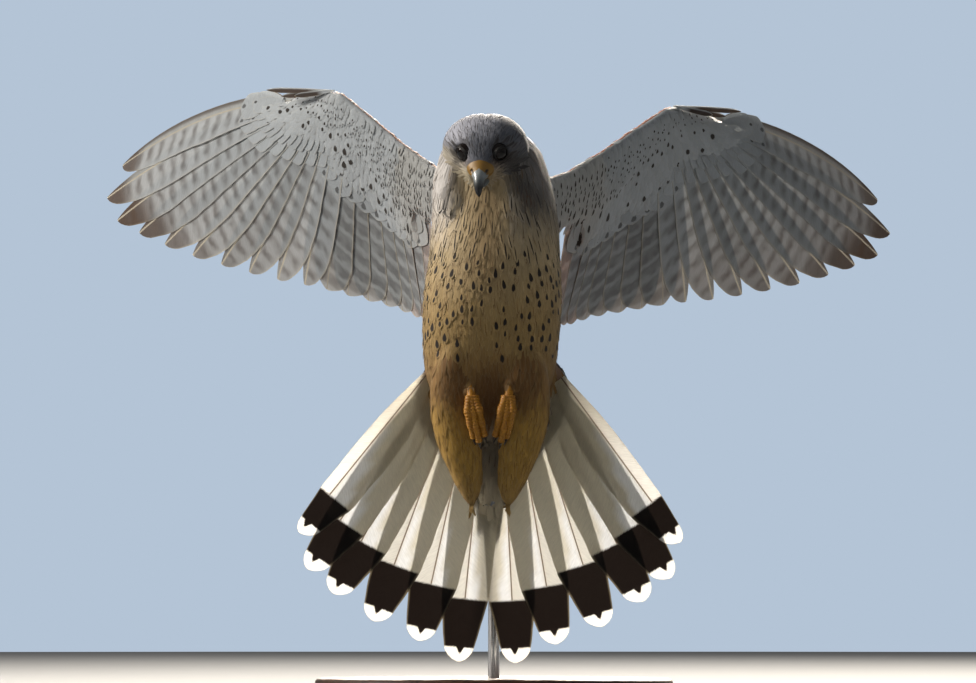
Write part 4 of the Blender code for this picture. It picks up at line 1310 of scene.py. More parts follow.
@dataclass
class BodyShape:
    """The torso's, thighs' and tail's sections, as the solids have them."""

    torso: tuple[tuple[float, ...], ...] = (
        (134.0, 0.0, 6.0, -7.0, 2.0),
        (140.0, 0.0, 14.0, -12.0, 7.0),
        (150.0, 0.0, 23.0, -18.0, 13.0),
        (160.0, 0.0, 30.0, -22.5, 19.0),
        (172.0, 0.0, 34.5, -27.0, 24.5),
        (183.0, 0.2, 35.8, -31.5, 27.0),
        (194.0, 0.6, 36.6, -36.0, 28.5),
        (208.0, 1.2, 36.9, -39.0, 29.5),
        (220.0, 1.8, 36.2, -39.5, 30.0),
        (231.0, 2.4, 34.9, -38.5, 29.5),
        (246.0, 2.6, 34.2, -34.0, 28.0),
        (262.0, 2.4, 32.6, -28.0, 25.0),
        (273.0, 1.8, 30.6, -24.0, 23.0),
        (281.0, 0.8, 29.2, -19.0, 20.5),
        (289.0, 0.5, 26.2, -13.0, 17.0),
        (295.0, 0.2, 20.2, -9.0, 13.0),
    )
    # The soft cheek and neck feathers that carry the head over into the neck, for the left side
    jowl: tuple[tuple[float, ...], ...] = (
        (256.0, 18.5, 12.5, -27.0, 8.0),
        (264.0, 18.0, 13.2, -25.5, 10.0),
        (272.0, 17.4, 13.4, -23.0, 11.0),
        (279.0, 16.6, 12.6, -20.5, 11.0),
        (285.5, 15.2, 11.4, -17.0, 10.0),
        (291.5, 13.4, 9.8, -13.5, 8.0),
        (297.0, 11.8, 7.0, -10.0, 4.0),
    )
    thigh: tuple[tuple[float, ...], ...] = (
        (101.5, 9.5, 1.4, -7.5, -5.0),
        (106.0, 10.0, 4.4, -9.5, -3.6),
        (113.0, 11.0, 7.4, -12.5, -2.4),
        (121.0, 12.8, 9.2, -15.5, -1.8),
        (131.0, 15.2, 11.3, -19.0, -1.6),
        (142.0, 17.0, 12.9, -22.0, -1.6),
        (153.0, 18.0, 13.6, -25.0, -3.0),
        (165.0, 18.0, 13.6, -27.6, -6.0),
        (176.0, 17.5, 12.0, -29.5, -9.0),
        (187.0, 17.0, 6.5, -29.5, -16.0),
    )
    tail_core: tuple[tuple[float, ...], ...] = (
        (102.0, 0.6, 6.0, 1.0, 8.8),
        (112.0, 0.8, 13.0, 0.4, 9.8),
        (124.0, 1.0, 21.0, 0.0, 10.8),
        (138.0, 1.3, 31.0, -0.2, 11.8),
        (148.0, 1.6, 37.0, -0.4, 12.2),
        (158.0, 2.0, 40.0, -0.6, 12.4),
        (168.0, 2.2, 39.0, -0.6, 12.4),
        (176.0, 2.4, 34.0, 0.0, 12.0),
    )
    fan_point: Array = field(default_factory=lambda: np.array([3.2, 9.0, 216.0]))
    fan_turn: float = math.radians(1.4)
    tail_dip: float = math.radians(2.5)

    def upright(self, rows: Array, sides: int, power: float) -> Rings:
        """Rings that stand along Z, each from a middle, a half width and two depths.

        Args:
            rows: Height, middle, half width, front and back of each.
            sides: How many points to a ring.
            power: How square the rings are.

        Returns:
            The rings.
        """
        across, deep = superellipse(sides, power)
        rings = []
        for height, middle, half_width, front, back in rows:
            x = middle + half_width * across
            y = 0.5 * (front + back) + 0.5 * (back - front) * deep
            rings.append(np.stack([x, y, np.full(sides, height)], axis=1))
        return rings

    @staticmethod
    def mirrored(rows: tuple[tuple[float, ...], ...]) -> Array:
        """Rows of the left side turned over to the right one."""
        return np.array(rows) * np.array([1.0, -1.0, 1.0, 1.0, 1.0])

    def thigh_rings(self, side: Side) -> Rings:
        """The rings of one feathered thigh.

        Args:
            side: Which thigh.

        Returns:
            The rings.
        """
        rows = smooth_rows(self.thigh, 26)
        rows[:, 1] *= side.value
        return self.upright(rows, 22, 2.0)

    def fan_way(self, aside: Array, down: Array) -> Array:
        """From the tail fan's point to places on the fan.

        Args:
            aside: Millimetres to the side.
            down: Millimetres down.

        Returns:
            Ways from the fan's point.
        """
        x = aside * math.cos(self.fan_turn) - down * math.sin(self.fan_turn)
        z = -down * math.cos(self.fan_turn) - aside * math.sin(self.fan_turn)
        return np.stack([x, -math.tan(self.tail_dip) * down, z], axis=-1)


class Region(Enum):
    """The parts of the skin that differ in how their feathers lie."""

    TORSO = 0
    HEAD = 1
    THIGH_LEFT = 2
    THIGH_RIGHT = 3
    WING_LEFT = 4
    WING_RIGHT = 5
    TAIL = 6


@dataclass
class Plumage:
    """One row per place on the skin: what feather grows there and how it is marked."""

    spacing: Array
    length: Array
    width: Array
    lift: Array
    tint: Array
    ink: Array
    drop: Array
    fringe: Array
    bare: Array
    mark_spacing: Array
    mark_chance: Array
    mark: Array

    @staticmethod
    def plain(count: int) -> Plumage:
        """Plain buff feathers of middling size.

        Args:
            count: How many feathers.

        Returns:
            The plumage.
        """
        ones = np.ones(count)
        return Plumage(
            spacing=5.0 * ones,
            length=13.0 * ones,
            width=6.5 * ones,
            lift=1.7 * ones,
            tint=np.tile(tone(Hue.BUFF), (count, 1)),
            ink=np.tile(tone(Hue.SPOT), (count, 1)),
            drop=np.tile(NO_DROP, (count, 1)),
            fringe=0.12 * ones,
            bare=np.zeros(count, bool),
            mark_spacing=6.0 * ones,
            mark_chance=0.0 * ones,
            mark=np.tile([1.0, 2.0, 3.0], (count, 1)),
        )


@dataclass
class Markings:
    """Where each kind and colour of feather grows on a male kestrel."""

    body: BodyShape
    head: HeadShape
    wings: dict[Region, WingShape]
    seed: int = 7

    def __post_init__(self) -> None:
        """Makes the table that finds a place's shaft and share along it on a wing."""
        self.rng = np.random.default_rng(self.seed)
        wing = self.wings[Region.WING_LEFT]
        series, place = np.meshgrid(np.linspace(0.6, 18.6, 181), np.linspace(0.0, 0.6, 41), indexing="ij")
        self.wing_keys = np.stack([series.ravel(), place.ravel()], axis=1)
        points = wing.at(series.ravel(), place.ravel())[0]
        self.wing_tree = KDTree(len(points))
        for index, point in enumerate(points):
            self.wing_tree.insert(point, index)
        self.wing_tree.balance()

    def wing_place(self, region: Region, points: Array) -> tuple[Array, Array, Array, Array]:
        """Finds places on a wing.

        Args:
            region: Which wing.
            points: Places in bird millimetres.

        Returns:
            The shaft, the share along it, how far dorsal the place is, and millimetres behind the
            wing's front edge.
        """
        wing = self.wings[region]
        local = wing.unplaced(points)
        found = np.array([self.wing_tree.find(point)[1] for point in local])
        series, place = self.wing_keys[found].T
        middle, normal = wing.at(series, place)
        dorsal = ((local - middle) * normal).sum(axis=1)
        base, _ = wing.at(series, np.zeros(len(series)))
        shaft = unit(wing.at(series, np.full(len(series), 0.5))[0] - base)
        behind = ((local - base) * shaft).sum(axis=1)
        return series, place, dorsal, behind

    def wing_rise(self, region: Region, points: Array, normals: Array) -> Array:
        """How far the skin of a wing faces its upper side, from -1 to 1.

        Args:
            region: The region.
            points: Places in bird millimetres.
            normals: The skin's normals there.

        Returns:
            One for each place.
        """
        wing = self.wings[region]
        series, place, _, _ = self.wing_place(region, points)
        return (normals * unit(wing.turned(wing.at(series, place)[1]))).sum(axis=1)

    def cloud(self, points: Array, size: float) -> Array:
        """A smooth random field from -1 to 1 with features of that size in millimetres.

        Args:
            points: Places in bird millimetres.
            size: How wide its features are.

        Returns:
            One number for each place.
        """
        rng = np.random.default_rng(self.seed + int(size * 10))
        total = np.zeros(len(points))
        for _ in range(9):
            wave = unit(rng.normal(size=3)) * (2 * math.pi / (size * rng.uniform(0.7, 1.6)))
            total += np.sin(points @ wave + rng.uniform(0, 2 * math.pi))
        return np.clip(total / 4.5, -1, 1)

    def way(self, region: Region, points: Array) -> Array:
        """The way that feathers lie, root to tip, before it is laid along the skin.

        Args:
            region: The region.
            points: Places in bird millimetres.

        Returns:
            A unit vector for each place.
        """
        down = np.array([0.0, 0.0, -1.0])
        if region is Region.HEAD:
            local = self.head.local(points)
            away = unit(local - np.array([19.0, -2.0, 0.0]))
            head = self.head
            back = away[:, :1] * head.forward + away[:, 1:2] * head.up + away[:, 2:] * head.aside
            rear = ease(-local[:, 0], 0.0, 16.0)[:, None]
            low = ease(-local[:, 1], 4.0, 16.0)[:, None]
            return unit(back * (1 - np.maximum(rear, 0.75 * low)) + down * np.maximum(rear, 0.75 * low))
        if region in (Region.WING_LEFT, Region.WING_RIGHT):
            wing = self.wings[region]
            series, place, _, _ = self.wing_place(region, points)
            near, _ = wing.at(series, np.clip(place - 0.05, 0, 1))
            far, _ = wing.at(series, np.clip(place + 0.15, 0, 1))
            return unit(wing.turned(far - near))
        if region is Region.TAIL:
            away = points - self.body.fan_point
            away[:, 1] = -math.tan(self.body.tail_dip) * 50
            return unit(away)
        if region in (Region.THIGH_LEFT, Region.THIGH_RIGHT):
            side = 1 if region is Region.THIGH_LEFT else -1
            tip = np.array([9.5 * side, -4.0, 92.0])
            return unit(tip - points)
        spread = np.zeros_like(points)
        spread[:, 0] = points[:, 0] * 0.004
        spread[:, 1] = -0.15 * ease(points[:, 2], 190, 150)
        return unit(spread + down)

    def read(self, region: Region, points: Array, normals: Array) -> Plumage:
        """Reads what grows at places of one region.

        Args:
            region: The region of the skin.
            points: Places in bird millimetres.
            normals: The skin's normals there.

        Returns:
            The feathers and their marks.
        """
        if region in self.wings:
            return self._wing(region, points, normals)
        if region in (Region.THIGH_LEFT, Region.THIGH_RIGHT):
            return self._thigh(points)
        readers = {Region.TORSO: self._torso, Region.HEAD: self._head, Region.TAIL: self._tail}
        return readers[region](points, normals)

    def _unevenly(self, made: Plumage, points: Array, size: float, soft: float, loose: float) -> None:
        """Makes tints uneven, as patches and from feather to feather.

        Args:
            made: The feathers, whose tints are changed.
            points: Their places.
            size: The patches' size in millimetres.
            soft: How strong the patches are.
            loose: How much one feather differs from the next.
        """
        each = self.rng.normal(size=(len(points), 1))
        made.tint *= 1 + soft * self.cloud(points, size)[:, None] + loose * each

    def _neck_marks(self, points: Array, normals: Array, made: Plumage) -> None:
        """Adds the dark moustaches, which cross from the face to the neck.

        Args:
            points: Places in bird millimetres.
            normals: The skin's normals there.
            made: The plumage to darken.
        """
        flat = points[:, [0, 2]]
        front = ease(-normals[:, 1], -0.1, 0.25)
        ragged = 1.6 * self.cloud(points, 7.0)
        # The moustache on the bird's left is drawn longer and wider than the one on its right, as painted
        # shade on the left side and painted light on the right
        for start, end, wide_from, wide_to in (
            ((7.5, 283.5), (20.0, 268.0), 2.6, 5.0),
            ((-17.5, 280.0), (-21.5, 269.0), 0.8, 1.8),
        ):
            first, last = np.array(start), np.array(end)
            run = last - first
            share = np.clip((flat - first) @ run / (run @ run), 0, 1)
            away = np.linalg.norm(flat - first - share[:, None] * run, axis=1) + ragged
            reach = wide_from + (wide_to - wide_from) * share
            amount = ease(away, reach + 4.0, reach - 1.5) * front * (0.9 - 0.3 * share)
            made.tint[:] = blend(made.tint, tone(Hue.MALAR), amount)

    def _torso(self, points: Array, normals: Array) -> Plumage:
        """The breast and belly in front, chestnut with black diamonds behind.

        Args:
            points: Places in bird millimetres.
            normals: The skin's normals there.

        Returns:
            What grows there.
        """
        count = len(points)
        made = Plumage.plain(count)
        x, z = points[:, 0], points[:, 2]
        back = ease(normals[:, 1] + 0.12 * self.cloud(points, 18), 0.12, 0.42)
        rump = ease(z, 205, 185) * back
        made.spacing = 2.25 - 0.45 * ease(z, 250, 270) + 2.0 * back
        made.length = 12.5 - 4.5 * ease(z, 245, 275) + 2.5 * back + 2.0 * ease(z, 190, 165)
        made.width = 2.4 - 0.7 * ease(z, 245, 275) + 3.6 * back
        made.lift = 0.75 - 0.2 * ease(z, 250, 270) + 0.75 * back
        belly = blend(tone(Hue.PALE_BUFF), tone(Hue.BUFF), ease(z, 258, 200))
        belly = blend(belly, tone(Hue.OCHRE), 0.8 * ease(z, 198, 180))
        middle = np.exp(-((x / 9.0) ** 2)) * ease(z, 192, 176)
        belly = blend(belly, tone(Hue.RUFOUS), 0.75 * middle)
        belly = blend(belly, tone(Hue.VENT), ease(z, 158, 142))
        throat = ease(z, 256, 270)
        centre_line = np.exp(-(((x + 1.5) / 10.0) ** 2))
        belly = blend(belly, tone(Hue.OCHRE), 0.5 * centre_line * ease(z, 215, 240))
        belly = blend(belly, tone(Hue.CREAM), 0.2 * throat * (1 - centre_line))
        sides = ease(np.abs(x + 3.5) + 2.5 * self.cloud(points, 8), 9.5, 20.0) * ease(z, 238, 274)
        # The neck's grey sides are painted lit on the bird's right and in painted shade towards its left
        neck_lit_and_shaded = blend(tone(Hue.NECK), 0.9 * tone(Hue.FOREHEAD), 0.95 * ease(x, 5, 17))
        belly = blend(belly, neck_lit_and_shaded, 0.85 * sides)
        neck = ease(z, 262, 280) * ease(normals[:, 1], -0.15, 0.2)
        upper = blend(tone(Hue.CHESTNUT), tone(Hue.CROWN), np.maximum(neck, ease(z, 250, 272) * back))
        upper = blend(upper, tone(Hue.SLATE), rump)
        made.tint = blend(belly, upper, back)
        self._unevenly(made, points, 14, 0.1, 0.035)
        # Streaks on the upper breast, drops lower down, fewer towards the belly's middle
        streaks = ease(z, 234, 244) * ease(z, 274, 264)
        drops = ease(z, 244, 234) * ease(z, 180, 190)
        centre = np.exp(-(((x + 1) / 12) ** 2)) * ease(z, 235, 200)
        small = 0.75 + 0.5 * self.rng.random(count)
        wide = np.where(z > 239, 0.42, 1.0 + 0.35 * ease(np.abs(x), 8, 30)) * small
        tall = np.where(z > 239, 4.8, 2.1) * small
        made.mark = abreast(wide, tall, tall + 1.0)
        made.mark_spacing = np.where(streaks > 0.5, 4.6, 5.9)
        made.mark_chance = (0.6 * streaks + 0.85 * drops * (1 - 0.7 * centre)) * (back < 0.4)
        diamond = (back > 0.5) & (rump < 0.4) & (z < 255)
        made.mark = np.where(diamond[:, None], abreast(1.9 * small, 2.6 * small, 3.4), made.mark)
        made.mark_spacing = np.where(diamond, 8.5, made.mark_spacing)
        made.mark_chance = np.where(diamond, 0.75, made.mark_chance)
        fine = (back > 0.5) & (z >= 255)
        made.drop = np.where(fine[:, None], abreast(0.3 * small, 3.5, 4.0), made.drop)
        brushed = (back < 0.5) & (self.rng.random(count) < 0.22)
        made.drop = np.where(brushed[:, None], abreast(0.14 * small, 3.0, 3.6), made.drop)
        made.ink = blend(tone(Hue.RUFOUS), tone(Hue.SPOT), np.maximum(back > 0.5, 0.35 * streaks))
        made.fringe = 0.12 + 0 * back
        self._neck_marks(points, normals, made)
        return made

    def _head(self, points: Array, normals: Array) -> Plumage:
        """A grey crown with dark streaks, pale cheeks and throat, and dark moustaches.

        Args:
            points: Places in bird millimetres.
            normals: The skin's normals there.

        Returns:
            What grows there.
        """
        count = len(points)
        made = Plumage.plain(count)
        forward, up, aside = self.head.local(points).T
        off = np.abs(aside)
        beak = np.linalg.norm(np.stack([forward - 19, up + 1, aside], axis=1), axis=1)
        size = ease(beak, 6, 26)
        made.spacing = 1.12 + 0.83 * size
        made.length = 2.5 + 4.9 * size
        made.width = 0.95 + 1.15 * size
        made.lift = 0.32 + 0.4 * size
        crown = blend(tone(Hue.CROWN), tone(Hue.FOREHEAD), 0.6 * ease(self.cloud(points, 9), -0.6, 0.9))
        # Painted shade darkens the crown towards the bird's left side
        shaded = 0.75 * ease(aside + 1.5 * self.cloud(points, 7), 1, 10)
        crown = blend(crown, 0.8 * tone(Hue.FOREHEAD), shaded)
        brow = ease(forward, 5, 14) * ease(up, 0, 3) * ease(aside, -12, -2)
        crown = blend(crown, 0.62 * tone(Hue.FOREHEAD), 0.75 * brow)
        cheek = blend(tone(Hue.CHEEK), tone(Hue.CROWN), ease(forward, 0, -9))
        face = blend(cheek, 0.8 * tone(Hue.CREAM), 0.7 * ease(forward + 0.3 * up, 2, 9) * ease(up, 0, -4))
        face = blend(face, tone(Hue.OCHRE), 0.45 * ease(aside, 0, 5) * ease(forward, 6, 10))
        # Painted shade darkens the face on the bird's left side
        face = blend(face, 0.85 * tone(Hue.FOREHEAD), 0.9 * ease(aside, 6, 13))
        top = ease(up + 0.2 * self.cloud(points, 6) * 6, 1.0, 5.5)
        made.tint = blend(face, crown, top)
        throat = ease(up, -8, -12) * ease(off, 13, 9)
        made.tint = blend(made.tint, 0.85 * blend(tone(Hue.CREAM), tone(Hue.PALE_BUFF), 0.8), throat)
        for side in Side:
            away_mm = self.head.from_eye(side, points)[1]
            same = (aside * side.value) > 0
            rim = ease(away_mm, 7.4, 4.6) * same
            made.tint = blend(made.tint, tone(Hue.MALAR), 0.5 * rim)
            made.tint = blend(made.tint, tone(Hue.SPOT), 0.6 * ease(away_mm, 5.0, 4.4) * same)
            # A dark line runs from the eye to the bill and another behind the eye
            lore = ease(np.abs(up - 2.6), 3.2, 1.6) * ease(forward, 12.5, 14.0) * ease(off, 3.5, 5.5) * same
            made.tint = blend(made.tint, tone(Hue.DUSK), 0.55 * lore)
            behind = ease(np.abs(up - 4.0), 3.4, 1.4) * ease(forward, 9, 6) * ease(forward, -3, 2)
            behind = behind * ease(off, 12, 14)
            made.tint = blend(made.tint, tone(Hue.DUSK), 0.25 * behind * same)
            made.bare |= (away_mm < 4.3) & same
        self._unevenly(made, points, 6, 0.1, 0.035)
        lot = self.rng.random(count)
        streak = np.stack([0.16 + 0.1 * lot, 0.36 * made.length, 0.45 * made.length], axis=1)
        streaky = (lot < 0.5) & (top > 0.4)
        cheeky = (lot < 0.35) & (top <= 0.4) & (up > -8) & (forward < 8)
        made.drop = np.where((streaky | cheeky)[:, None], streak, made.drop)
        made.ink = np.tile(tone(Hue.MALAR), (count, 1))
        made.fringe = 0.08 + 0 * lot
        made.bare |= (forward > 17.2) & (up > -6.2)
        self._neck_marks(points, normals, made)
        return made

    def _thigh(self, points: Array) -> Plumage:
        """Long loose ochre feathers that hang to a point.

        Args:
            points: Places in bird millimetres.

        Returns:
            What grows there.
        """
        count = len(points)
        made = Plumage.plain(count)
        z = points[:, 2]
        low = ease(z, 135, 108)
        made.spacing = 2.6 - 0.5 * low
        made.length = 13.0 - 5.0 * ease(z, 122, 106)
        made.width = 3.0 - 1.2 * low
        made.lift = 1.1 - 0.8 * ease(z, 130, 108)
        made.bare = z < 103.5
        made.tint = blend(tone(Hue.OCHRE), tone(Hue.TROUSER), ease(z, 175, 150))
        made.tint = blend(made.tint, tone(Hue.PALE_BUFF), 0.25 * low)
        sleeve = ease(points[:, 1], -22, -27) * ease(z, 158, 164)
        made.tint = blend(made.tint, tone(Hue.RUFOUS), 0.6 * sleeve)
        self._unevenly(made, points, 10, 0.1, 0.04)
        lot = self.rng.random(count)
        shaft = np.stack([0.18 + 0 * z, 5.0 + 0 * z, 6.0 + 0 * z], axis=1)
        made.drop = np.where((lot < 0.3)[:, None], shaft, made.drop)
        made.ink = np.tile(tone(Hue.RUFOUS), (count, 1))
        return made

    def _wing(self, region: Region, points: Array, normals: Array) -> Plumage:
        """White underneath with black spots, chestnut with black spots above.

        Args:
            region: The region.
            points: Places in bird millimetres.
            normals: The skin's normals there.

        Returns:
            What grows there.
        """
        count = len(points)
        made = Plumage.plain(count)
        series, _, _, behind = self.wing_place(region, points)
        rear = ease(behind, -4, 26)
        made.spacing = 2.3 + 0.9 * rear
        made.length = 6.5 + 4.5 * rear
        made.width = 2.8 + 1.5 * rear
        made.lift = 0.65 + 0.25 * rear
        upper = ease(self.wing_rise(region, points, normals), 0.12, 0.3)
        hand = ease(series, 8.5, 10.5)
        under = blend(tone(Hue.WING_WHITE), tone(Hue.PALE_BUFF), 0.16 * ease(series, 4.0, 1.0))
        edge = ease(behind, -1.5, -5.0) * ease(series, 8, 12)
        under = blend(under, tone(Hue.DUSK), 0.55 * edge)
        above = blend(tone(Hue.CHESTNUT), tone(Hue.FLIGHT_DARK), hand * ease(behind, 2, 6))
        made.tint = blend(under, above, upper)
        self._unevenly(made, points, 9, 0.07, 0.03)
        small = 0.7 + 0.6 * self.rng.random(count)
        reach = (0.55 + 1.05 * rear) * small
        reach = np.where(upper > 0.5, 1.25 * reach, reach)
        near = ease(series, 4.0, 1.5)
        tall = reach * (1.25 + 1.3 * near)
        made.mark = abreast(reach, tall, tall + 0.6)
        made.mark_spacing = 3.3 + 3.9 * rear + 1.5 * (upper > 0.5)
        made.mark_chance = 0.8 + 0 * rear
        made.fringe = 0.1 + 0 * upper
        # The thin rear face of the pad would show feathers of the other side
        made.bare = (np.abs(self.wing_rise(region, points, normals)) < 0.5) & (behind > 10)
        return made

    def _tail(self, points: Array, normals: Array) -> Plumage:
        """Slate over the tail's root and pale cream under it.

        Args:
            points: Places in bird millimetres.
            normals: The skin's normals there.

        Returns:
            What grows there.
        """
        count = len(points)
        made = Plumage.plain(count)
        above = ease(normals[:, 1], -0.1, 0.2)
        low = ease(points[:, 2], 128, 112)
        made.spacing = 2.3 + 2.0 * above
        made.length = 16.0 + 4.0 * low * (1 - above)
        made.width = 3.0 + 3.2 * above
        made.bare = (points[:, 2] > 132) & (np.abs(points[:, 0] - 2) > 24) & (above < 0.5)
        made.lift = 1.1 + 0 * above
        under = blend(tone(Hue.VENT), tone(Hue.TAIL_SHADE), 0.8 * ease(points[:, 2], 140, 112))
        made.tint = blend(under, tone(Hue.SLATE), above)
        self._unevenly(made, points, 9, 0.06, 0.06)
        return made


@dataclass
class Skin:
    """One skin for the whole bird, on which its coat is rooted."""

    body: BodyShape
    head: HeadShape
    marks: Markings
    wings: dict[Region, WingShape]
    voxel_mm: float = 1.15
    eye_pit: tuple[float, float] = (6.0, 4.2)
    eye_sink: float = 1.6
    depths: dict[Region, float] = field(
        default_factory=lambda: {
            Region.TORSO: 1.5,
            Region.HEAD: 0.8,
            Region.THIGH_LEFT: 1.3,
            Region.THIGH_RIGHT: 1.3,
            Region.WING_LEFT: 0.5,
            Region.WING_RIGHT: 0.5,
            Region.TAIL: 0.9,
        }
    )

    def _lofts(self) -> list[tuple[Region, Rings]]:
        """The closed forms that are joined into the skin.

        Returns:
            The region and rings of each.
        """
        body = self.body
        made = [
            (Region.TORSO, body.upright(smooth_rows(body.torso, 60), 48, 2.2)),
            (Region.TORSO, body.upright(smooth_rows(body.jowl, 20), 30, 2.0)),
            (Region.TORSO, body.upright(smooth_rows(body.mirrored(body.jowl), 20), 30, 2.0)),
            (Region.HEAD, self.head.rings(40, 48)),
            (Region.THIGH_LEFT, body.thigh_rings(Side.LEFT)),
            (Region.THIGH_RIGHT, body.thigh_rings(Side.RIGHT)),
            (Region.TAIL, body.upright(smooth_rows(body.tail_core, 24), 30, 3.0)),
        ]
        for region, wing in self.wings.items():
            arm, hand = wing.cores()
            made += [(region, arm), (region, hand), (region, wing.pad())]
        for region, side in ((Region.THIGH_LEFT, 1), (Region.THIGH_RIGHT, -1)):
            # Feathers sleeve the shank almost to the toes
            place = np.linspace(0, 1, 12)[:, None]
            top, low = np.array([11.9 * side, -17.0, 179.0]), np.array([10.0 * side, -27.6, 161.5])
            ring = [(top + (low - top) * p, 4.4 - 1.6 * float(p)) for p in place[:, 0]]
            across, deep = superellipse(18, 2.0)
            flat, rise = np.array([1.0, 0.0, 0.0]), np.array([0.0, -0.82, 0.57])
            made.append((region, [c + r * (np.outer(across, flat) + np.outer(deep, rise)) for c, r in ring]))
        return made

    def build(self) -> bpy.types.Object:
        """Joins the forms, evens the mesh out and draws it in by the coat's depth.

        Returns:
            The skin.
        """
        every: list[Array] = []
        all_faces: Faces = []
        trees: dict[Region, list[BVHTree]] = {}
        start = 0
        for region, rings in self._lofts():
            points, faces = loft(rings)
            trees.setdefault(region, []).append(BVHTree.FromPolygons(points.tolist(), faces))
            every.append(points)
            all_faces += [tuple(i + start for i in face) for face in faces]
            start += len(points)
        made = bare_object("skin", np.concatenate(every), all_faces)
        remesh = made.modifiers.new("remesh", "REMESH")
        remesh.mode = "VOXEL"
        remesh.voxel_size = self.voxel_mm * MM
        smooth = made.modifiers.new("smooth", "SMOOTH")
        smooth.factor = 0.5
        smooth.iterations = 5
        baked(made)
        mesh = made.data
        points = self._coordinates(mesh) / MM + ORIGIN
        normals = self._normals(mesh)
        best = np.full(len(points), 1e9)
        self.region = np.zeros(len(points), int)
        for region, group in trees.items():
            for tree in group:
                away = np.array([tree.find_nearest(Vector(p), 60.0)[3] or 60.0 for p in points])
                closer = away < best
                best[closer] = away[closer]
                self.region[closer] = region.value
        depth = np.array([self.depths[Region(i)] for i in range(len(Region))])[self.region]
        points -= normals * depth[:, None]
        for side in Side:
            reach, radial = self.head.from_eye(side, points)
            sunk = ease(radial, *self.eye_pit) * (reach > 0)
            points -= self.head.gaze(side) * (self.eye_sink * sunk)[:, None]
        mesh.vertices.foreach_set("co", ((points - ORIGIN) * MM).astype(np.float32).ravel())
        mesh.update()
        mesh.polygons.foreach_set("use_smooth", [True] * len(mesh.polygons))
        self.points, self.normals = points, self._normals(mesh)
        faces = [tuple(p.vertices) for p in mesh.polygons]
        halves = [(face[0], face[2], face[3]) for face in faces if len(face) == 4]
        self.faces = np.array([face[:3] for face in faces] + halves)
        self.tree = BVHTree.FromPolygons(points.tolist(), self.faces.tolist())
        self.face_normals = unit(self.normals[self.faces].sum(axis=1))
        self._paint(made)
        return made

    @staticmethod
    def _coordinates(mesh: bpy.types.Mesh) -> Array:
        """A mesh's points."""
        values = np.empty(len(mesh.vertices) * 3, np.float32)
        mesh.vertices.foreach_get("co", values)
        return values.reshape(-1, 3).astype(float)

    @staticmethod
    def _normals(mesh: bpy.types.Mesh) -> Array:
        """A mesh's point normals."""
        values = np.empty(len(mesh.vertices) * 3, np.float32)
        mesh.vertex_normals.foreach_get("vector", values)
        return values.reshape(-1, 3).astype(float)

    def _paint(self, made: bpy.types.Object) -> None:
        """Gives the skin the tint of the feathers over it.

        Args:
            made: The skin.
        """
        tint = np.ones((len(self.points), 4))
        for region in Region:
            here = self.region == region.value
            if here.any():
                tint[here, :3] = self.marks.read(region, self.points[here], self.normals[here]).tint
        layer = made.data.attributes.new("tint", "FLOAT_COLOR", "POINT")
        layer.data.foreach_set("color", np.clip(tint, 0, 1).astype(np.float32).ravel())

    def place_on_map(self, region: Region, points: Array, normals: Array) -> Array:
        """Unrolls a region round its own length.

        Args:
            region: The region.
            points: Places on it.
            normals: The skin's normals there.

        Returns:
            Places on the bake map, from 0 to 1.
        """
        if region is Region.HEAD:
            forward, up, aside = self.head.local(points).T
            u, v = np.arctan2(aside, up) / (2 * math.pi) + 0.5, (forward + 25) / 50
        elif region in self.wings:
            series, _, _, behind = self.marks.wing_place(region, points)
            u, v = series / 19, (behind + 12) / 60
        elif region is Region.TAIL:
            away = points - self.body.fan_point
            half = np.arctan2(away[:, 0], -away[:, 2]) / 1.6 + 0.5
            u, v = 0.5 * half + 0.5 * (normals[:, 1] > 0), (180 - points[:, 2]) / 80
        elif region in (Region.THIGH_LEFT, Region.THIGH_RIGHT):
            side = 1 if region is Region.THIGH_LEFT else -1
            turn = np.arctan2(points[:, 0] - 15 * side, -points[:, 1] - 12) / (2 * math.pi) + 0.5
            u, v = 0.5 * turn + 0.5 * (side > 0), (points[:, 2] - 98) / 92
        else:
            turn = np.arctan2(points[:, 0], -points[:, 1]) / (2 * math.pi) + 0.5
            u, v = turn, (points[:, 2] - 130) / 170
        return 0.01 + 0.98 * np.clip(np.stack([u, v], axis=1), 0, 1)

    def near(self, points: Array) -> tuple[Array, Array]:
        """The nearest places on the skin and their smooth normals.

        Args:
            points: Places in bird millimetres.

        Returns:
            Places on the skin and the normals there.
        """
        places = np.empty_like(points)
        normals = np.empty_like(points)
        for row, point in enumerate(points):
            found, _, index, _ = self.tree.find_nearest(point)
            places[row] = found
            normals[row] = self.face_normals[index]
        return places, normals

    def candidates(self, rng: np.random.Generator, per_mm2: float) -> tuple[Array, Array, Array]:
        """Random places all over the skin.

        Args:
            rng: The random numbers.
            per_mm2: How many to a square millimetre.

        Returns:
            Places, normals and regions.
        """
        corners = self.points[self.faces]
        area = 0.5 * np.linalg.norm(
            np.cross(corners[:, 1] - corners[:, 0], corners[:, 2] - corners[:, 0]), axis=1
        )
        count = int(area.sum() * per_mm2)
        LOG.info("skin: %.0f square mm, %d candidates", area.sum(), count)
        pick = rng.choice(len(area), count, p=area / area.sum())
        a, b = rng.random((2, count, 1))
        over = (a + b) > 1
        a, b = np.where(over, 1 - a, a), np.where(over, 1 - b, b)
        chosen = corners[pick]
        places = chosen[:, 0] + a * (chosen[:, 1] - chosen[:, 0]) + b * (chosen[:, 2] - chosen[:, 0])
        return places, self.face_normals[pick], self.region[self.faces[pick, 0]]


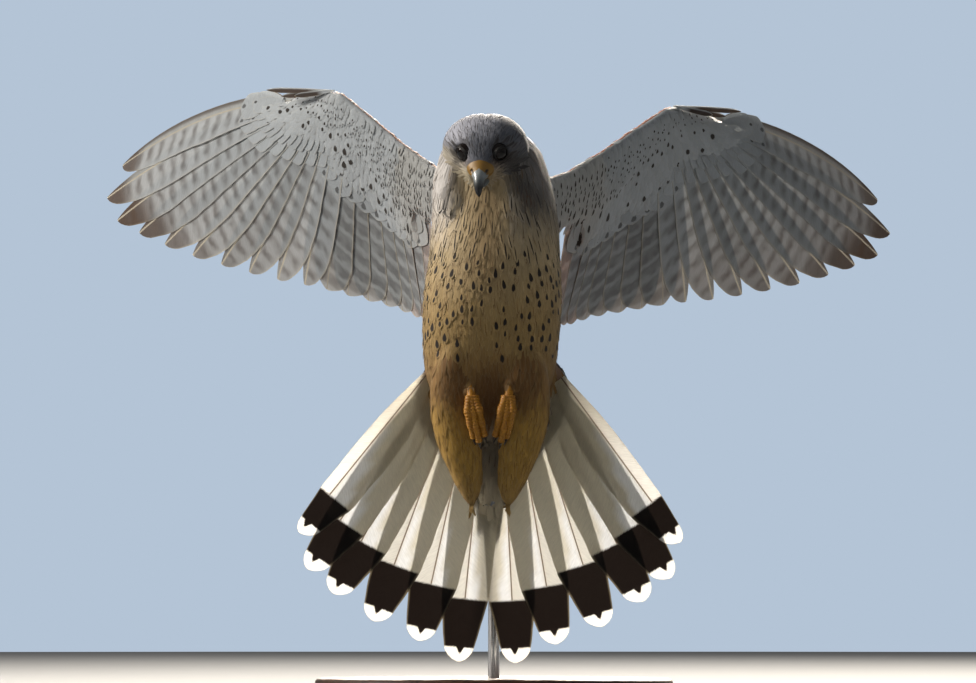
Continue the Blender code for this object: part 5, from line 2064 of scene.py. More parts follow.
@dataclass
class Coat:
    """The small feathers all over the skin, each laid along it from its own root."""

    skin: Skin
    marks: Markings
    rows: tuple[float, ...] = (0.0, 0.24, 0.5, 0.74, 0.9, 1.0)
    widths: tuple[float, ...] = (0.3, 0.82, 1.0, 0.9, 0.58, 0.12)
    rises: tuple[float, ...] = (0.1, 0.42, 0.72, 0.92, 1.0, 1.0)
    thicknesses: tuple[float, ...] = (0.14, 0.16, 0.15, 0.13, 0.1, 0.06)
    per_mm2: float = 2.6
    packing: float = 0.86
    pad_from: float = 8.0
    eye_clear: float = 4.2
    seed: int = 11

    def build(self) -> list[tuple[bpy.types.Object, str]]:
        """Plants, lays and joins the feathers.

        Returns:
            Each piece with its material slot.
        """
        rng = np.random.default_rng(self.seed)
        places, normals, regions = self.skin.candidates(rng, self.per_mm2)
        plumage = {}
        spacing = np.full(len(places), 9.0)
        bare = np.zeros(len(places), bool)
        for region in Region:
            here = np.flatnonzero(regions == region.value)
            if len(here):
                plumage[region] = (here, self.marks.read(region, places[here], normals[here]))
                spacing[here] = plumage[region][1].spacing
                bare[here] = plumage[region][1].bare
        keep = self._thinned(rng, places, spacing, bare)
        wanted = np.full(len(places), 9.0)
        lot = rng.random(len(places))
        unmarked = np.ones(len(places), bool)
        for here, read in plumage.values():
            wanted[here] = read.mark_spacing
            unmarked[here] = (read.mark_chance <= 0.01) | read.bare
        marked = self._thinned(rng, places, wanted, unmarked)
        made = []
        for region, (here, read) in plumage.items():
            rows = np.flatnonzero(keep[here])
            spots = np.flatnonzero(marked[here] & (lot[here] < read.mark_chance))
            both = np.concatenate([rows, spots])
            picked = Plumage(**{key: values[both] for key, values in vars(read).items()})
            top = np.arange(len(both)) >= len(rows)
            picked.drop = np.where(top[:, None], picked.mark, picked.drop)
            picked.ink = np.where(top[:, None], tone(Hue.SPOT), picked.ink)
            picked.lift = picked.lift + 0.4 * top
            picked.length = np.where(top, np.maximum(6.0, 2.0 * picked.mark[:, 2] + 1.5), picked.length)
            picked.width = np.where(top, 2.0 * picked.mark[:, 0] + 1.9, picked.width)
            chosen = here[both]
            made += self._region(rng, region, places[chosen], normals[chosen], picked)
        return made

    def _thinned(self, rng: np.random.Generator, places: Array, spacing: Array, bare: Array) -> Array:
        """Keeps places that stand their own spacing apart.

        Args:
            rng: The random numbers.
            places: Candidates.
            spacing: The wanted distance at each.
            bare: Where no feather grows.

        Returns:
            Which to keep.
        """
        tree = KDTree(len(places))
        for index, place in enumerate(places):
            tree.insert(place, index)
        tree.balance()
        alive = ~bare
        keep = np.zeros(len(places), bool)
        for index in rng.permutation(len(places)):
            if alive[index]:
                keep[index] = True
                for _, other, _ in tree.find_range(places[index], self.packing * spacing[index]):
                    alive[other] = False
        return keep

    def _region(
        self, rng: np.random.Generator, region: Region, roots: Array, normals: Array, read: Plumage
    ) -> list[tuple[bpy.types.Object, str]]:
        """Lays one region's feathers.

        Args:
            rng: The random numbers.
            region: The region.
            roots: Where the feathers start.
            normals: The skin's normals there.
            read: What grows there.

        Returns:
            The joined pieces with their slots.
        """
        count = len(roots)
        # Behind a wing's bones the skin is a thin pad, and no feather may fold round its rear edge
        flat = np.zeros(count, bool)
        if region in self.skin.wings:
            flat = self.marks.wing_place(region, roots)[3] > self.pad_from
        length = read.length * rng.uniform(0.85, 1.18, count)
        yaw = rng.normal(0.0, 0.1, count)
        lean = rng.uniform(0.9, 1.15, count)
        path = np.empty((count, len(self.rows), 3))
        past = np.zeros(count, bool)
        outs = np.empty_like(path)
        here, out = roots.copy(), normals.copy()
        for row, share in enumerate(self.rows):
            if row:
                way = self.marks.way(region, here)
                way = unit(way - (way * out).sum(axis=1, keepdims=True) * out)
                aside = np.cross(out, way)
                way = way * np.cos(yaw)[:, None] + aside * np.sin(yaw)[:, None]
                step = (share - self.rows[row - 1]) * length
                there, found = self.skin.near(here + way * step[:, None])
                # Where the skin ends the feather runs on past it
                short = np.linalg.norm(there - here, axis=1) < 0.75 * step
                short |= np.where(flat, (found * normals).sum(axis=1) < 0.8, (found * out).sum(axis=1) < 0.35)
                past |= short
                run_on = here + way * step[:, None] - out * (0.06 * step[:, None])
                here = np.where(short[:, None], run_on, there)
                out = unit(np.where(short[:, None], out, found))
            path[:, row] = here + out * (read.lift * lean * self.rises[row])[:, None]
            outs[:, row] = out
        clear = np.ones(count, bool)
        if region in self.skin.wings:
            # The quills' own coverts cover the upper rear edge
            clear = ~(past & (self.marks.wing_rise(region, roots, normals) > 0))
        if region is Region.HEAD:
            for side in Side:
                ahead, radial = self.marks.head.from_eye(side, path)
                clear &= ~((radial < self.eye_clear) & (ahead > 0)).any(axis=1)
        smooth = outs.copy()
        smooth[:, 1:-1] = unit(outs[:, :-2] + 2 * outs[:, 1:-1] + outs[:, 2:])
        width = 0.5 * read.width * rng.uniform(0.88, 1.15, count)
        half = width[:, None] * np.array(self.widths)
        thick = np.tile(self.thicknesses, (count, 1))
        camber = 0.1 * half
        look = Look(
            tint=np.clip(read.tint, 0, 1),
            ink=read.ink,
            drop=read.drop,
            fringe=read.fringe,
            vary=rng.random(count),
            patch=self.skin.place_on_map(region, roots, normals),
        )
        made = []
        for name, slot, chosen in self._pieces(region, roots, normals):
            rows = np.flatnonzero(chosen & clear)
            if len(rows) == 0:
                continue
            batch = FeatherBatch(name)
            part = Look(**{key: values[rows] for key, values in vars(look).items()})
            batch.add_tufts(path[rows], smooth[rows], half[rows], thick[rows], camber[rows], part)
            self._fringe(rng, batch, path[rows], smooth[rows], part, half[rows], region)
            made.append((batch.build(), slot))
            LOG.info("%s: %d feathers", name, len(rows))
        return made

    def _fringe(
        self,
        rng: np.random.Generator,
        batch: FeatherBatch,
        path: Array,
        out: Array,
        look: Look,
        half: Array,
        region: Region,
    ) -> None:
        """Adds loose barbs past the feathers' tips, where the plumage is soft.

        Args:
            rng: The random numbers.
            batch: The feathers that the barbs join.
            path: The feathers' points.
            out: The way out of the skin at each.
            look: What the finish reads.
            half: Half widths at each.
            region: The region.
        """
        # How many loose barbs each feather carries past its tip
        barbs = {Region.THIGH_LEFT: 6, Region.THIGH_RIGHT: 6, Region.TORSO: 4, Region.HEAD: 3, Region.TAIL: 2}
        for _ in range(barbs.get(region, 1)):
            way = unit(path[:, -1] - path[:, -2])
            side = np.cross(out[:, -1], way)
            shift = rng.uniform(-0.75, 0.75, len(path))
            root = path[:, -2] + side * (shift * half[:, -2])[:, None] - out[:, -1] * 0.05
            rise = rng.uniform(-0.02, 0.1, len(path))[:, None]
            turn = unit(way + side * (shift * 0.3)[:, None] + out[:, -1] * rise)
            reach = np.linalg.norm(path[:, -1] - path[:, -2], axis=1) * rng.uniform(1.1, 2.6, len(path))
            batch.add_wisps(root, turn, out[:, -1], reach, rng.uniform(0.06, 0.12, len(path)), look)

    def _pieces(self, region: Region, roots: Array, normals: Array) -> list[tuple[str, str, Array]]:
        """Splits a region's feathers into pieces: name, slot and which feathers.

        Args:
            region: The region.
            roots: Where the feathers start.
            normals: The skin's normals there.

        Returns:
            Each piece's name, its slot and which feathers it has.
        """
        every = np.ones(len(roots), bool)
        if region is Region.HEAD:
            return [("coat_head", "head_feathers", every)]
        if region is Region.TAIL:
            return [("coat_tail_root", "tail_feathers", every)]
        if region in (Region.THIGH_LEFT, Region.THIGH_RIGHT):
            return [(f"coat_{region.name.lower()}", "thigh_feathers", every)]
        if region is Region.TORSO:
            neck = roots[:, 2] > 262
            back = (normals[:, 1] > 0.15) & ~neck
            return [
                ("coat_neck", "neck_feathers", neck),
                ("coat_breast_left", "body_feathers", ~neck & ~back & (roots[:, 0] > 0)),
                ("coat_breast_right", "body_feathers", ~neck & ~back & (roots[:, 0] <= 0)),
                ("coat_back", "body_feathers", back),
            ]
        dorsal = self.marks.wing_rise(region, roots, normals) - 0.2
        word = region.name.split("_")[1].lower()
        return [
            (f"coat_wing_{word}_upper", "wing_arm_feathers", dorsal > 0),
            (f"coat_wing_{word}_under", "wing_arm_feathers", dorsal <= 0),
        ]


@dataclass
class VaneProfile:
    """How wide a large feather's two webs are along it: share along, leading web, trailing web."""

    rows: tuple[tuple[float, float, float], ...]
    count: int = 34
    tip_from: float = 0.95

    def widths(self) -> tuple[Array, Array, Array]:
        """Shares along the feather with both webs' shares there, closer together at the tip.

        Returns:
            Shares along, the leading web's and the trailing web's.
        """
        fine = smooth_rows(self.rows, 201)
        share = 1 - (1 - np.linspace(0, 1, self.count)) ** 1.35
        lead = np.interp(share, fine[:, 0], fine[:, 1])
        trail = np.interp(share, fine[:, 0], fine[:, 2])
        run = np.clip((share - self.tip_from) / (1 - self.tip_from), 0, 1)
        round_tip = np.sqrt(np.clip(1.0 - run**2, 0.02, 1))
        return share, lead * round_tip, trail * round_tip


PRIMARY = VaneProfile(
    ((0, 0.3, 0.06), (0.12, 0.5, 0.22), (0.32, 1, 0.9), (0.6, 1, 0.95), (0.86, 0.78, 0.8), (1, 0.22, 0.3))
)
SECONDARY = VaneProfile(((0, 0.2, 0.14), (0.34, 1, 1), (0.93, 0.97, 0.95), (1, 0.5, 0.5)), tip_from=0.93)
COVERT = VaneProfile(
    ((0, 0.3, 0.25), (0.6, 1, 1), (0.85, 0.95, 0.95), (1, 0.45, 0.45)), count=14, tip_from=0.82
)
RECTRIX = VaneProfile((
    (0, 0.3, 0.3), (0.3, 0.85, 0.85), (0.72, 0.95, 0.9), (0.86, 0.8, 0.68), (0.95, 0.64, 0.5),
    (1, 0.5, 0.36)), tip_from=0.95)


class Cells:
    """Hands out cells of a bake map to large feathers."""

    def __init__(self, count: int) -> None:
        """Sets how many feathers share the map."""
        self.columns = max(1, math.ceil(math.sqrt(count / 3)))
        self.rows = math.ceil(count / self.columns)
        self.next = 0

    def cell(self) -> tuple[float, float, float, float]:
        """The next cell, as left, low, width and height.

        Returns:
            Left, low, width and height.
        """
        column, row = self.next % self.columns, self.next // self.columns
        self.next += 1
        wide, high = 1 / self.columns, 1 / self.rows
        return (column * wide + 0.06 * wide, row * high + 0.03 * high, 0.88 * wide, 0.94 * high)


@dataclass
class Quill:
    """Shared make-up of a large feather's sheet."""

    columns: tuple[float, ...] = (-1.0, -0.85, -0.64, -0.4, -0.16, -0.04, 0.04, 0.16, 0.4, 0.64, 0.85, 1.0)
    thick_shaft: float = 0.8
    thick_vane: float = 0.24
    camber: float = 0.2

    def sheet(
        self,
        rng: np.random.Generator,
        middle: Array,
        lead: Array,
        trail: Array,
        up: Array,
        share: Array,
    ) -> tuple[Array, Array, Array, Array, Array, Array]:
        """Lays a vane between its two edges.

        Args:
            rng: The random numbers.
            middle: The shaft's points.
            lead: The leading edge's points.
            trail: The trailing edge's points.
            up: The upper side's way at each.
            share: The share along the feather of each.

        Returns:
            The sheet's points, its upward way, its thickness, millimetres across, millimetres from
            the root and the columns' own shares.
        """
        q = np.array(self.columns)
        ripple = np.zeros(len(share))
        for wave in (9, 17, 31):
            ripple += rng.normal(0, 0.35) * np.sin(wave * math.pi * share + rng.uniform(0, 6.28))
        rough = (1 + 0.02 * ripple * ease(share, 0.2, 0.5))[:, None, None]
        to_lead = (lead - middle)[:, None] * rough
        to_trail = (trail - middle)[:, None] * rough
        wide = q[None, :, None]
        points = middle[:, None] + np.where(wide > 0, to_lead * wide, -to_trail * wide)
        arch = self.camber * (0.4 - q**2) * np.minimum(1.0, 4 * share)[:, None]
        points = points + up[:, None] * arch[..., None]
        across = np.where(
            q > 0,
            np.linalg.norm(to_lead, axis=2) * q,
            np.linalg.norm(to_trail, axis=2) * q,
        )
        ridge = np.exp(-((across / 0.6) ** 2)) * (1 - 0.75 * share)[:, None]
        thick = self.thick_vane * (1 - 0.35 * np.abs(q)) + (self.thick_shaft - self.thick_vane) * ridge
        steps = np.linalg.norm(np.diff(middle, axis=0), axis=1)
        along = np.concatenate([[0], np.cumsum(steps)])
        run = np.repeat(along[:, None], len(q), axis=1)
        return points, np.repeat(up[:, None], len(q), axis=1), thick, across, run, q

    @staticmethod
    def fields(
        across: Array,
        run: Array,
        q: Array,
        tint: Array,
        ink: Array,
        fringe: Array | float,
        vary: float,
        drop: Array = np.array([NO_DROP] * 2),
    ) -> dict[str, Array]:
        """Packs what the finish reads for both sides of a sheet.

        Args:
            across: Millimetres across at each point.
            run: Millimetres from the root at each.
            q: The columns' own shares.
            tint: Colours, as side, rows, columns and parts.
            ink: The marks' colours, laid out alike.
            fringe: How pale the margin is.
            vary: A number of the feather's own.
            drop: The drop's half width, half length and middle from the tip, for each side.

        Returns:
            Attributes for both sides.
        """
        shape = across.shape
        vane = np.stack([across, run, run[-1, 0] - run], axis=-1)
        edge = np.repeat((np.abs(q) ** 5)[None], shape[0], axis=0)
        edge = np.maximum(edge, ease(run[-1, 0] - run, 2.2, 0.4))
        fringe = np.broadcast_to(fringe, (2, *shape))
        trim = np.stack([np.stack([edge, side, np.full(shape, vary)], axis=-1) for side in fringe])
        spots = np.repeat(np.repeat(drop[:, None, None], shape[0], axis=1), shape[1], axis=2)
        return {
            "tint": np.clip(tint, 0, 1),
            "ink": ink,
            "vane": np.stack([vane, vane]),
            "trim": trim,
            "drop": spots,
        }


@dataclass
class WingPlumes:
    """A wing's flight feathers and greater coverts, laid as fans over the bones."""

    shape: WingShape
    quill: Quill = field(default_factory=Quill)
    step: float = 0.34
    past_shaft: float = 3.0
    arm_webs: tuple[float, float] = (9.0, 13.0)
    hand_webs: tuple[float, float] = (5.0, 15.0)
    # Each alula feather's root on the hand and its tip
    alula_feathers: tuple[tuple[float, ...], ...] = (
        (5.0, 124.0, 103.0, 312.0),
        (9.0, 116.0, 97.0, 309.0),
        (7.0, 109.0, 89.0, 309.5),
    )
    alula_rises: tuple[float, float] = (6.4, 3.4)
    alula_webs: tuple[float, float] = (1.3, 1.5)
    seed: int = 21

    def _sheet(
        self,
        rng: np.random.Generator,
        index: float,
        webs: tuple[float, float],
        profile: VaneProfile,
        reach: tuple[float, float],
        level: float,
        step: float,
    ) -> tuple[Array, Array, Array, Array, Array, Array, Array]:
        """One feather whose leading web lies over the next and trailing web under the last.

        Args:
            rng: The random numbers.
            index: The shaft, counted from the body.
            webs: Both webs' widths.
            profile: How the webs widen.
            reach: Where it starts and ends along the shaft.
            level: How far it lies above the wing.
            step: How far it overlaps its neighbours in height.

        Returns:
            The sheet's points, upward way, thickness, places across and along, columns and shares.
        """
        share, lead_share, trail_share = profile.widths()
        along = reach[0] + share * (reach[1] - reach[0])
        spot = np.full(len(share), index)
        middle, _ = self.shape.at(spot, along)
        _, up = self.shape.at(spot, np.maximum(along, 0.15))
        raised = middle + up * (level * (1 - 0.15 * share))[:, None]
        tips, roots = (self.shape.at(spot, np.full(len(share), end))[0] for end in (1.0, 0.0))
        shaft = unit(tips - roots)
        edges = []
        neighbours = ((index + 1, webs[0] * lead_share, 1.0), (index - 1, webs[1] * trail_share, -1.0))
        for other, web, sign in neighbours:
            there, _ = self.shape.at(np.full(len(share), other), along)
            way = there - middle
            way = way - shaft * (way * shaft).sum(axis=1, keepdims=True)
            gap = np.maximum(np.linalg.norm(way, axis=1), 3.0)
            width = np.maximum(np.minimum(web, gap + self.past_shaft), 0.25)
            edges.append(raised + unit(way) * width[:, None] + up * (sign * step * width / gap)[:, None])
        points, ups, thick, across, run, q = self.quill.sheet(rng, raised, edges[0], edges[1], up, share)
        return self.shape.placed(points), self.shape.turned(ups), thick, across, run, q, share

    def _flight_colours(
        self, rng: np.random.Generator, index: int, share: Array, q: Array, across: Array
    ) -> tuple[Array, Array, Array, Array]:
        """What a flight feather looks like below and above.

        Args:
            rng: The random numbers.
            index: The shaft, counted from the body.
            share: The share along the feather.
            q: The columns' own shares.
            across: Millimetres across.

        Returns:
            Tints, inks, bars and how pale the margin is.
        """
        rows, columns = across.shape
        v = np.repeat(share[:, None], columns, axis=1)
        inner = np.repeat(ease(-q, -0.02, 0.12)[None], rows, axis=0)
        hand = index > 8
        number = index - 8
        under_inner = blend(tone(Hue.WING_WHITE), tone(Hue.WING_PALE), 0.4 * v)
        under_outer = blend(tone(Hue.WING_PALE), tone(Hue.WING_GREY), 0.35 + 0.4 * v)
        under = blend(under_outer, under_inner, inner)
        if hand:
            shares = [0.2, 0.4, 0.7, 0.9, 1.0, 0.95, 0.9]
            dark_share = float(np.interp(number, [1, 4, 6, 7, 8, 9, 10], shares))
            start = float(np.interp(number, [1, 6, 8, 10], [0.93, 0.88, 0.82, 0.84]))
            tip = ease(v + 0.03 * np.sin(14 * v + index), start, start + 0.08)
            under = blend(under, tone(Hue.DUSK), dark_share * tip)
            rim = np.repeat(ease(q, 0.35, 0.8)[None], rows, axis=0)
            rim_share = {10: 0.85, 9: 0.25}.get(number, 0.0)
            under = blend(under, tone(Hue.FLIGHT_DARK), rim_share * rim * ease(v, 0.1, 0.4))
        else:
            under = blend(under, tone(Hue.WING_GREY), 0.2 + 0.15 * ease(v, 0.2, 0.6))
            under = blend(under, tone(Hue.WING_WHITE), ease(v, 0.94, 0.985))
        above = np.tile(tone(Hue.FLIGHT_DARK), (rows, columns, 1))
        if index <= 3:
            above = blend(above, tone(Hue.CHESTNUT), 0.9)
        elif not hand:
            above = blend(above, tone(Hue.DUSK), 0.4 * inner)
        above = blend(above, tone(Hue.WING_GREY), 0.35 * inner * ease(v, 0.85, 0.4) * hand)
        tint = np.stack([above, under]) * (1 + 0.05 * rng.normal())
        ink_under = blend(tone(Hue.WING_BAR), tone(Hue.DUSK), 0.25 + 0.45 * v * hand)
        ink = np.stack([np.tile(tone(Hue.SPOT), (rows, columns, 1)), ink_under])
        reach = ease(v, 0.1, 0.25) * ease(v, 0.985, 0.93 if hand else 0.95)
        shift = 0.35 + rng.normal(0, 0.06)
        far = np.repeat(ease(-q, 1.05, 0.6)[None], rows, axis=0)
        amount_under = (0.75 * inner * (far if hand else 1.0) + (0.1 if hand else 0.6) * (1 - inner)) * reach
        amount_above = (0.5 if hand else 0.35) * inner * reach
        amounts = (amount_above, amount_under)
        bars = np.stack([np.stack([amount, np.full_like(v, shift), 0 * v], axis=-1) for amount in amounts])
        pale = 0.25 if hand and number > 6 else 0.6
        return tint, ink, bars, np.stack([np.full_like(v, 0.12), np.full_like(v, 0.5 * pale)])

    def flight(self) -> tuple[FeatherBatch, FeatherBatch]:
        """The flight feathers of the arm and of the hand.

        Returns:
            The arm's feathers and the hand's.
        """
        rng = np.random.default_rng(self.seed)
        word = self.shape.side.word
        arm, hand = FeatherBatch(f"remiges_arm_{word}"), FeatherBatch(f"remiges_hand_{word}")
        cells = {arm: Cells(8), hand: Cells(10)}
        kinds = ((arm, self.arm_webs, SECONDARY), (hand, self.hand_webs, PRIMARY))
        for index in range(1, 19):
            batch, webs, profile = kinds[int(index > 8)]
            made = self._sheet(rng, index, webs, profile, (0.0, 1.0), 0.0, self.step)
            points, up, thick, across, run, q, share = made
            tint, ink, bars, fringe = self._flight_colours(rng, index, share, q, across)
            fields = self.quill.fields(across, run, q, tint, ink, fringe, rng.random())
            fields["bars"] = bars
            batch.add_sheet(points, up, thick, fields, cells[batch].cell())
        return arm, hand

    def coverts(self) -> tuple[FeatherBatch, FeatherBatch]:
        """The greater coverts below and above, on the arm and on the hand together.

        Returns:
            The coverts below and above.
        """
        rng = np.random.default_rng(self.seed + 1)
        word = self.shape.side.word
        batches = tuple(FeatherBatch(f"greater_coverts_{word}_{face}") for face in ("under", "upper"))
        for batch, sign in zip(batches, (-1.0, 1.0)):
            cells = Cells(72)
            for tier, (fall, lift) in enumerate(((0.0, 0.75), (0.1, 1.15))):
                for index in np.arange(1.0, 18.4, 1.0 - 0.35 * tier) + 0.3 * tier:
                    hand = float(ease(np.array(index), 8.2, 9.8))
                    reach = (0.47 - 0.13 * hand) - fall * (1 - 0.25 * hand) + rng.normal(0, 0.008)
                    webs = (9.0 - 2.2 * hand - 1.0 * tier, 10.0 - 2.0 * hand - 1.2 * tier)
                    root = 0.16 if tier == 0 else 0.1
                    made = self._sheet(rng, float(index), webs, COVERT, (root, reach), sign * lift, 0.22)
                    points, up, thick, across, run, q, _ = made
                    rows, columns = across.shape
                    if sign < 0:
                        near = float(ease(np.array(index), 4.0, 1.0))
                        base = blend(tone(Hue.WING_WHITE), tone(Hue.PALE_BUFF), 0.12 * near)
                        ink_one = blend(tone(Hue.WING_BAR), tone(Hue.SPOT), 0.25 if tier == 0 else 0.7)
                        half = 2.1 if tier == 0 else 1.6
                        fringe = 0.15
                    else:
                        base = blend(tone(Hue.CHESTNUT), tone(Hue.FLIGHT_DARK), hand)
                        ink_one = tone(Hue.SPOT)
                        half = 2.4
                        fringe = 0.2
                    one = np.tile(base, (rows, columns, 1)) * (1 + 0.05 * rng.normal())
                    tint = np.stack([one, one])
                    ink = np.tile(ink_one, (2, rows, columns, 1))
                    size = half * (1 - 0.25 * hand) * rng.uniform(0.8, 1.15)
                    drop = np.array([[size, 0.8 * size + 0.6, 0.8 * size + 2.2]] * 2)
                    fields = self.quill.fields(across, run, q, tint, ink, fringe, rng.random(), drop)
                    batch.add_sheet(points, up, 0.55 * thick, fields, cells.cell())
        return batches

    def alula(self) -> FeatherBatch:
        """Short stiff feathers that lie along the front of the hand.

        Returns:
            The feathers.
        """
        rng = np.random.default_rng(self.seed + 2)
        shape = self.shape
        batch = FeatherBatch(f"alula_{shape.side.word}")
        dorsal = shape.at(np.array([10.0]), np.array([0.2]))[1][0]
        rise = unit(np.cross(shape.hand_way, dorsal))
        rise *= np.sign(rise[2])
        cells = Cells(3)
        for order, (place, *tip) in enumerate(self.alula_feathers):
            root = shape.wrist + shape.hand_way * place + rise * self.alula_rises[0] - dorsal * 0.4 * order
            share, lead, trail = COVERT.widths()
            tip = np.array(tip) + rise * self.alula_rises[1]
            line = root + (tip - root) * share[:, None]
            way = unit(tip - root)
            across_way = unit(rise - way * (rise @ way))
            front = line + across_way * (self.alula_webs[0] * lead)[:, None]
            rear = line - across_way * (self.alula_webs[1] * trail)[:, None]
            up = np.tile(dorsal, (len(share), 1))
            points, ups, thick, across, run, q = self.quill.sheet(rng, line, front, rear, up, share)
            rows, columns = across.shape
            lead_white = np.repeat(ease(q, 0.35, 0.8)[None], rows, axis=0)
            pale = np.maximum(0.9 * lead_white, ease(share, 0.4, 0.2)[:, None])
            base = blend(np.tile(tone(Hue.FLIGHT_DARK), (rows, columns, 1)), tone(Hue.WING_WHITE), pale)
            tint = np.stack([base, base])
            ink = np.tile(tone(Hue.SPOT), (2, rows, columns, 1))
            fields = self.quill.fields(across, run, q, tint, ink, 0.3, rng.random())
            batch.add_sheet(shape.placed(points), shape.turned(ups), thick, fields, cells.cell())
        return batch


@dataclass
class TailFan:
    """Twelve tail feathers spread in a fan, grey with a black band and white tips."""

    body: BodyShape
    quill: Quill = field(default_factory=lambda: Quill(camber=0.25))
    tips: tuple[tuple[float, float], ...] = (
        (99.8, 130.0), (95.0, 149.0), (81.2, 161.5), (59.9, 175.3), (36.0, 185.1), (14.8, 195.5))
    outer_webs: tuple[float, ...] = (6.5, 9.0, 11.0, 12.0, 12.5, 13.0)
    inner_webs: tuple[float, ...] = (15.5, 16.5, 16.5, 16.0, 15.5, 14.0)
    start: float = 58.0
    level: float = 8.6
    step: float = 0.95
    seed: int = 31

    def build(self) -> FeatherBatch:
        """Lays the feathers.

        Returns:
            The feathers.
        """
        rng = np.random.default_rng(self.seed)
        batch = FeatherBatch("rectrices")
        cells = Cells(12)
        start = np.array([self.body.fan_point[0], self.level, self.body.fan_point[2]])
        y_way = np.array([0.0, 1.0, 0.0])
        order = len(self.tips)
        for index, (aside, down) in enumerate(self.tips):
            for side in (1, -1):
                level = (order - index) * self.step if index < order - 1 or side < 0 else 0.0
                tip = start + self.body.fan_way(np.array(side * aside), np.array(down)) - y_way * level
                whole = float(np.linalg.norm(tip - start))
                root = start + (tip - start) * (self.start / whole) - y_way * level * (1 - self.start / whole)
                share, outer_share, inner_share = RECTRIX.widths()
                way = unit(tip - root)
                outward = unit(np.cross(y_way, way)) * side
                if outward[0] * side < 0:
                    outward = -outward
                line = root + (tip - root) * share[:, None]
                outer = line + outward * (self.outer_webs[index] * outer_share)[:, None]
                inner = line - outward * (self.inner_webs[index] * inner_share)[:, None]
                up = np.tile(y_way, (len(share), 1))
                points, ups, thick, across, run, q = self.quill.sheet(rng, line, outer, inner, up, share)
                fields = self._fields(rng, index, share, q, across, run)
                batch.add_sheet(points, ups, thick, fields, cells.cell())
        return batch

    def _fields(
        self, rng: np.random.Generator, index: int, share: Array, q: Array, across: Array, run: Array
    ) -> dict[str, Array]:
        """What one tail feather looks like below and above.

        Args:
            rng: The random numbers.
            index: Which feather, from the outside in.
            share: The share along it.
            q: The columns' own shares.
            across: Millimetres across.
            run: Millimetres from the root.

        Returns:
            Attributes for both sides.
        """
        rows, columns = across.shape
        v = np.repeat(share[:, None], columns, axis=1)
        inner = np.repeat(ease(-q, -0.05, 0.1)[None], rows, axis=0)
        # The tint paints the light that shines through the tail: where two vanes overlap, and towards the
        # root where more lie, less light comes through, so these parts are painted in shade and only a wedge
        # by each shaft is painted pale
        gap = 5.0 + 19.0 * v
        double_layer_shade = ease(np.abs(across) - (gap - self.outer_webs[min(index + 1, 5)]), -0.6, 0.9) * inner
        bright = (inner + 0.35 * (1 - inner)) * (1 - 0.95 * double_layer_shade)
        under = blend(tone(Hue.TAIL_SHADE), tone(Hue.TAIL_PALE), bright)
        if index == 0:
            under = blend(under, tone(Hue.TAIL_PALE), 0.7 * (1 - inner))
        # Painted shade towards the root, where the most vanes lie over each other
        under = blend(under, tone(Hue.TAIL_SHADE), 0.8 * ease(v, 0.6, 0.1))
        above = np.tile(tone(Hue.TAIL_SLATE), (rows, columns, 1))
        above = blend(above, tone(Hue.TAIL_PALE), 0.6 * (index == 0) * (1 - inner))
        tint = np.stack([above, under]) * (1 + 0.04 * rng.normal())
        ink = np.tile(tone(Hue.DUSK), (2, rows, columns, 1))
        fields = self.quill.fields(across, run, q, tint, ink, 0.2, rng.random())
        white = 7.4 + rng.normal(0, 0.4)
        band = np.array([white, white + (19.0 if index == 0 else 25.0) + rng.normal(0, 1.0), 1.0])
        fields["band"] = np.tile(band, (2, rows, columns, 1))
        return fields


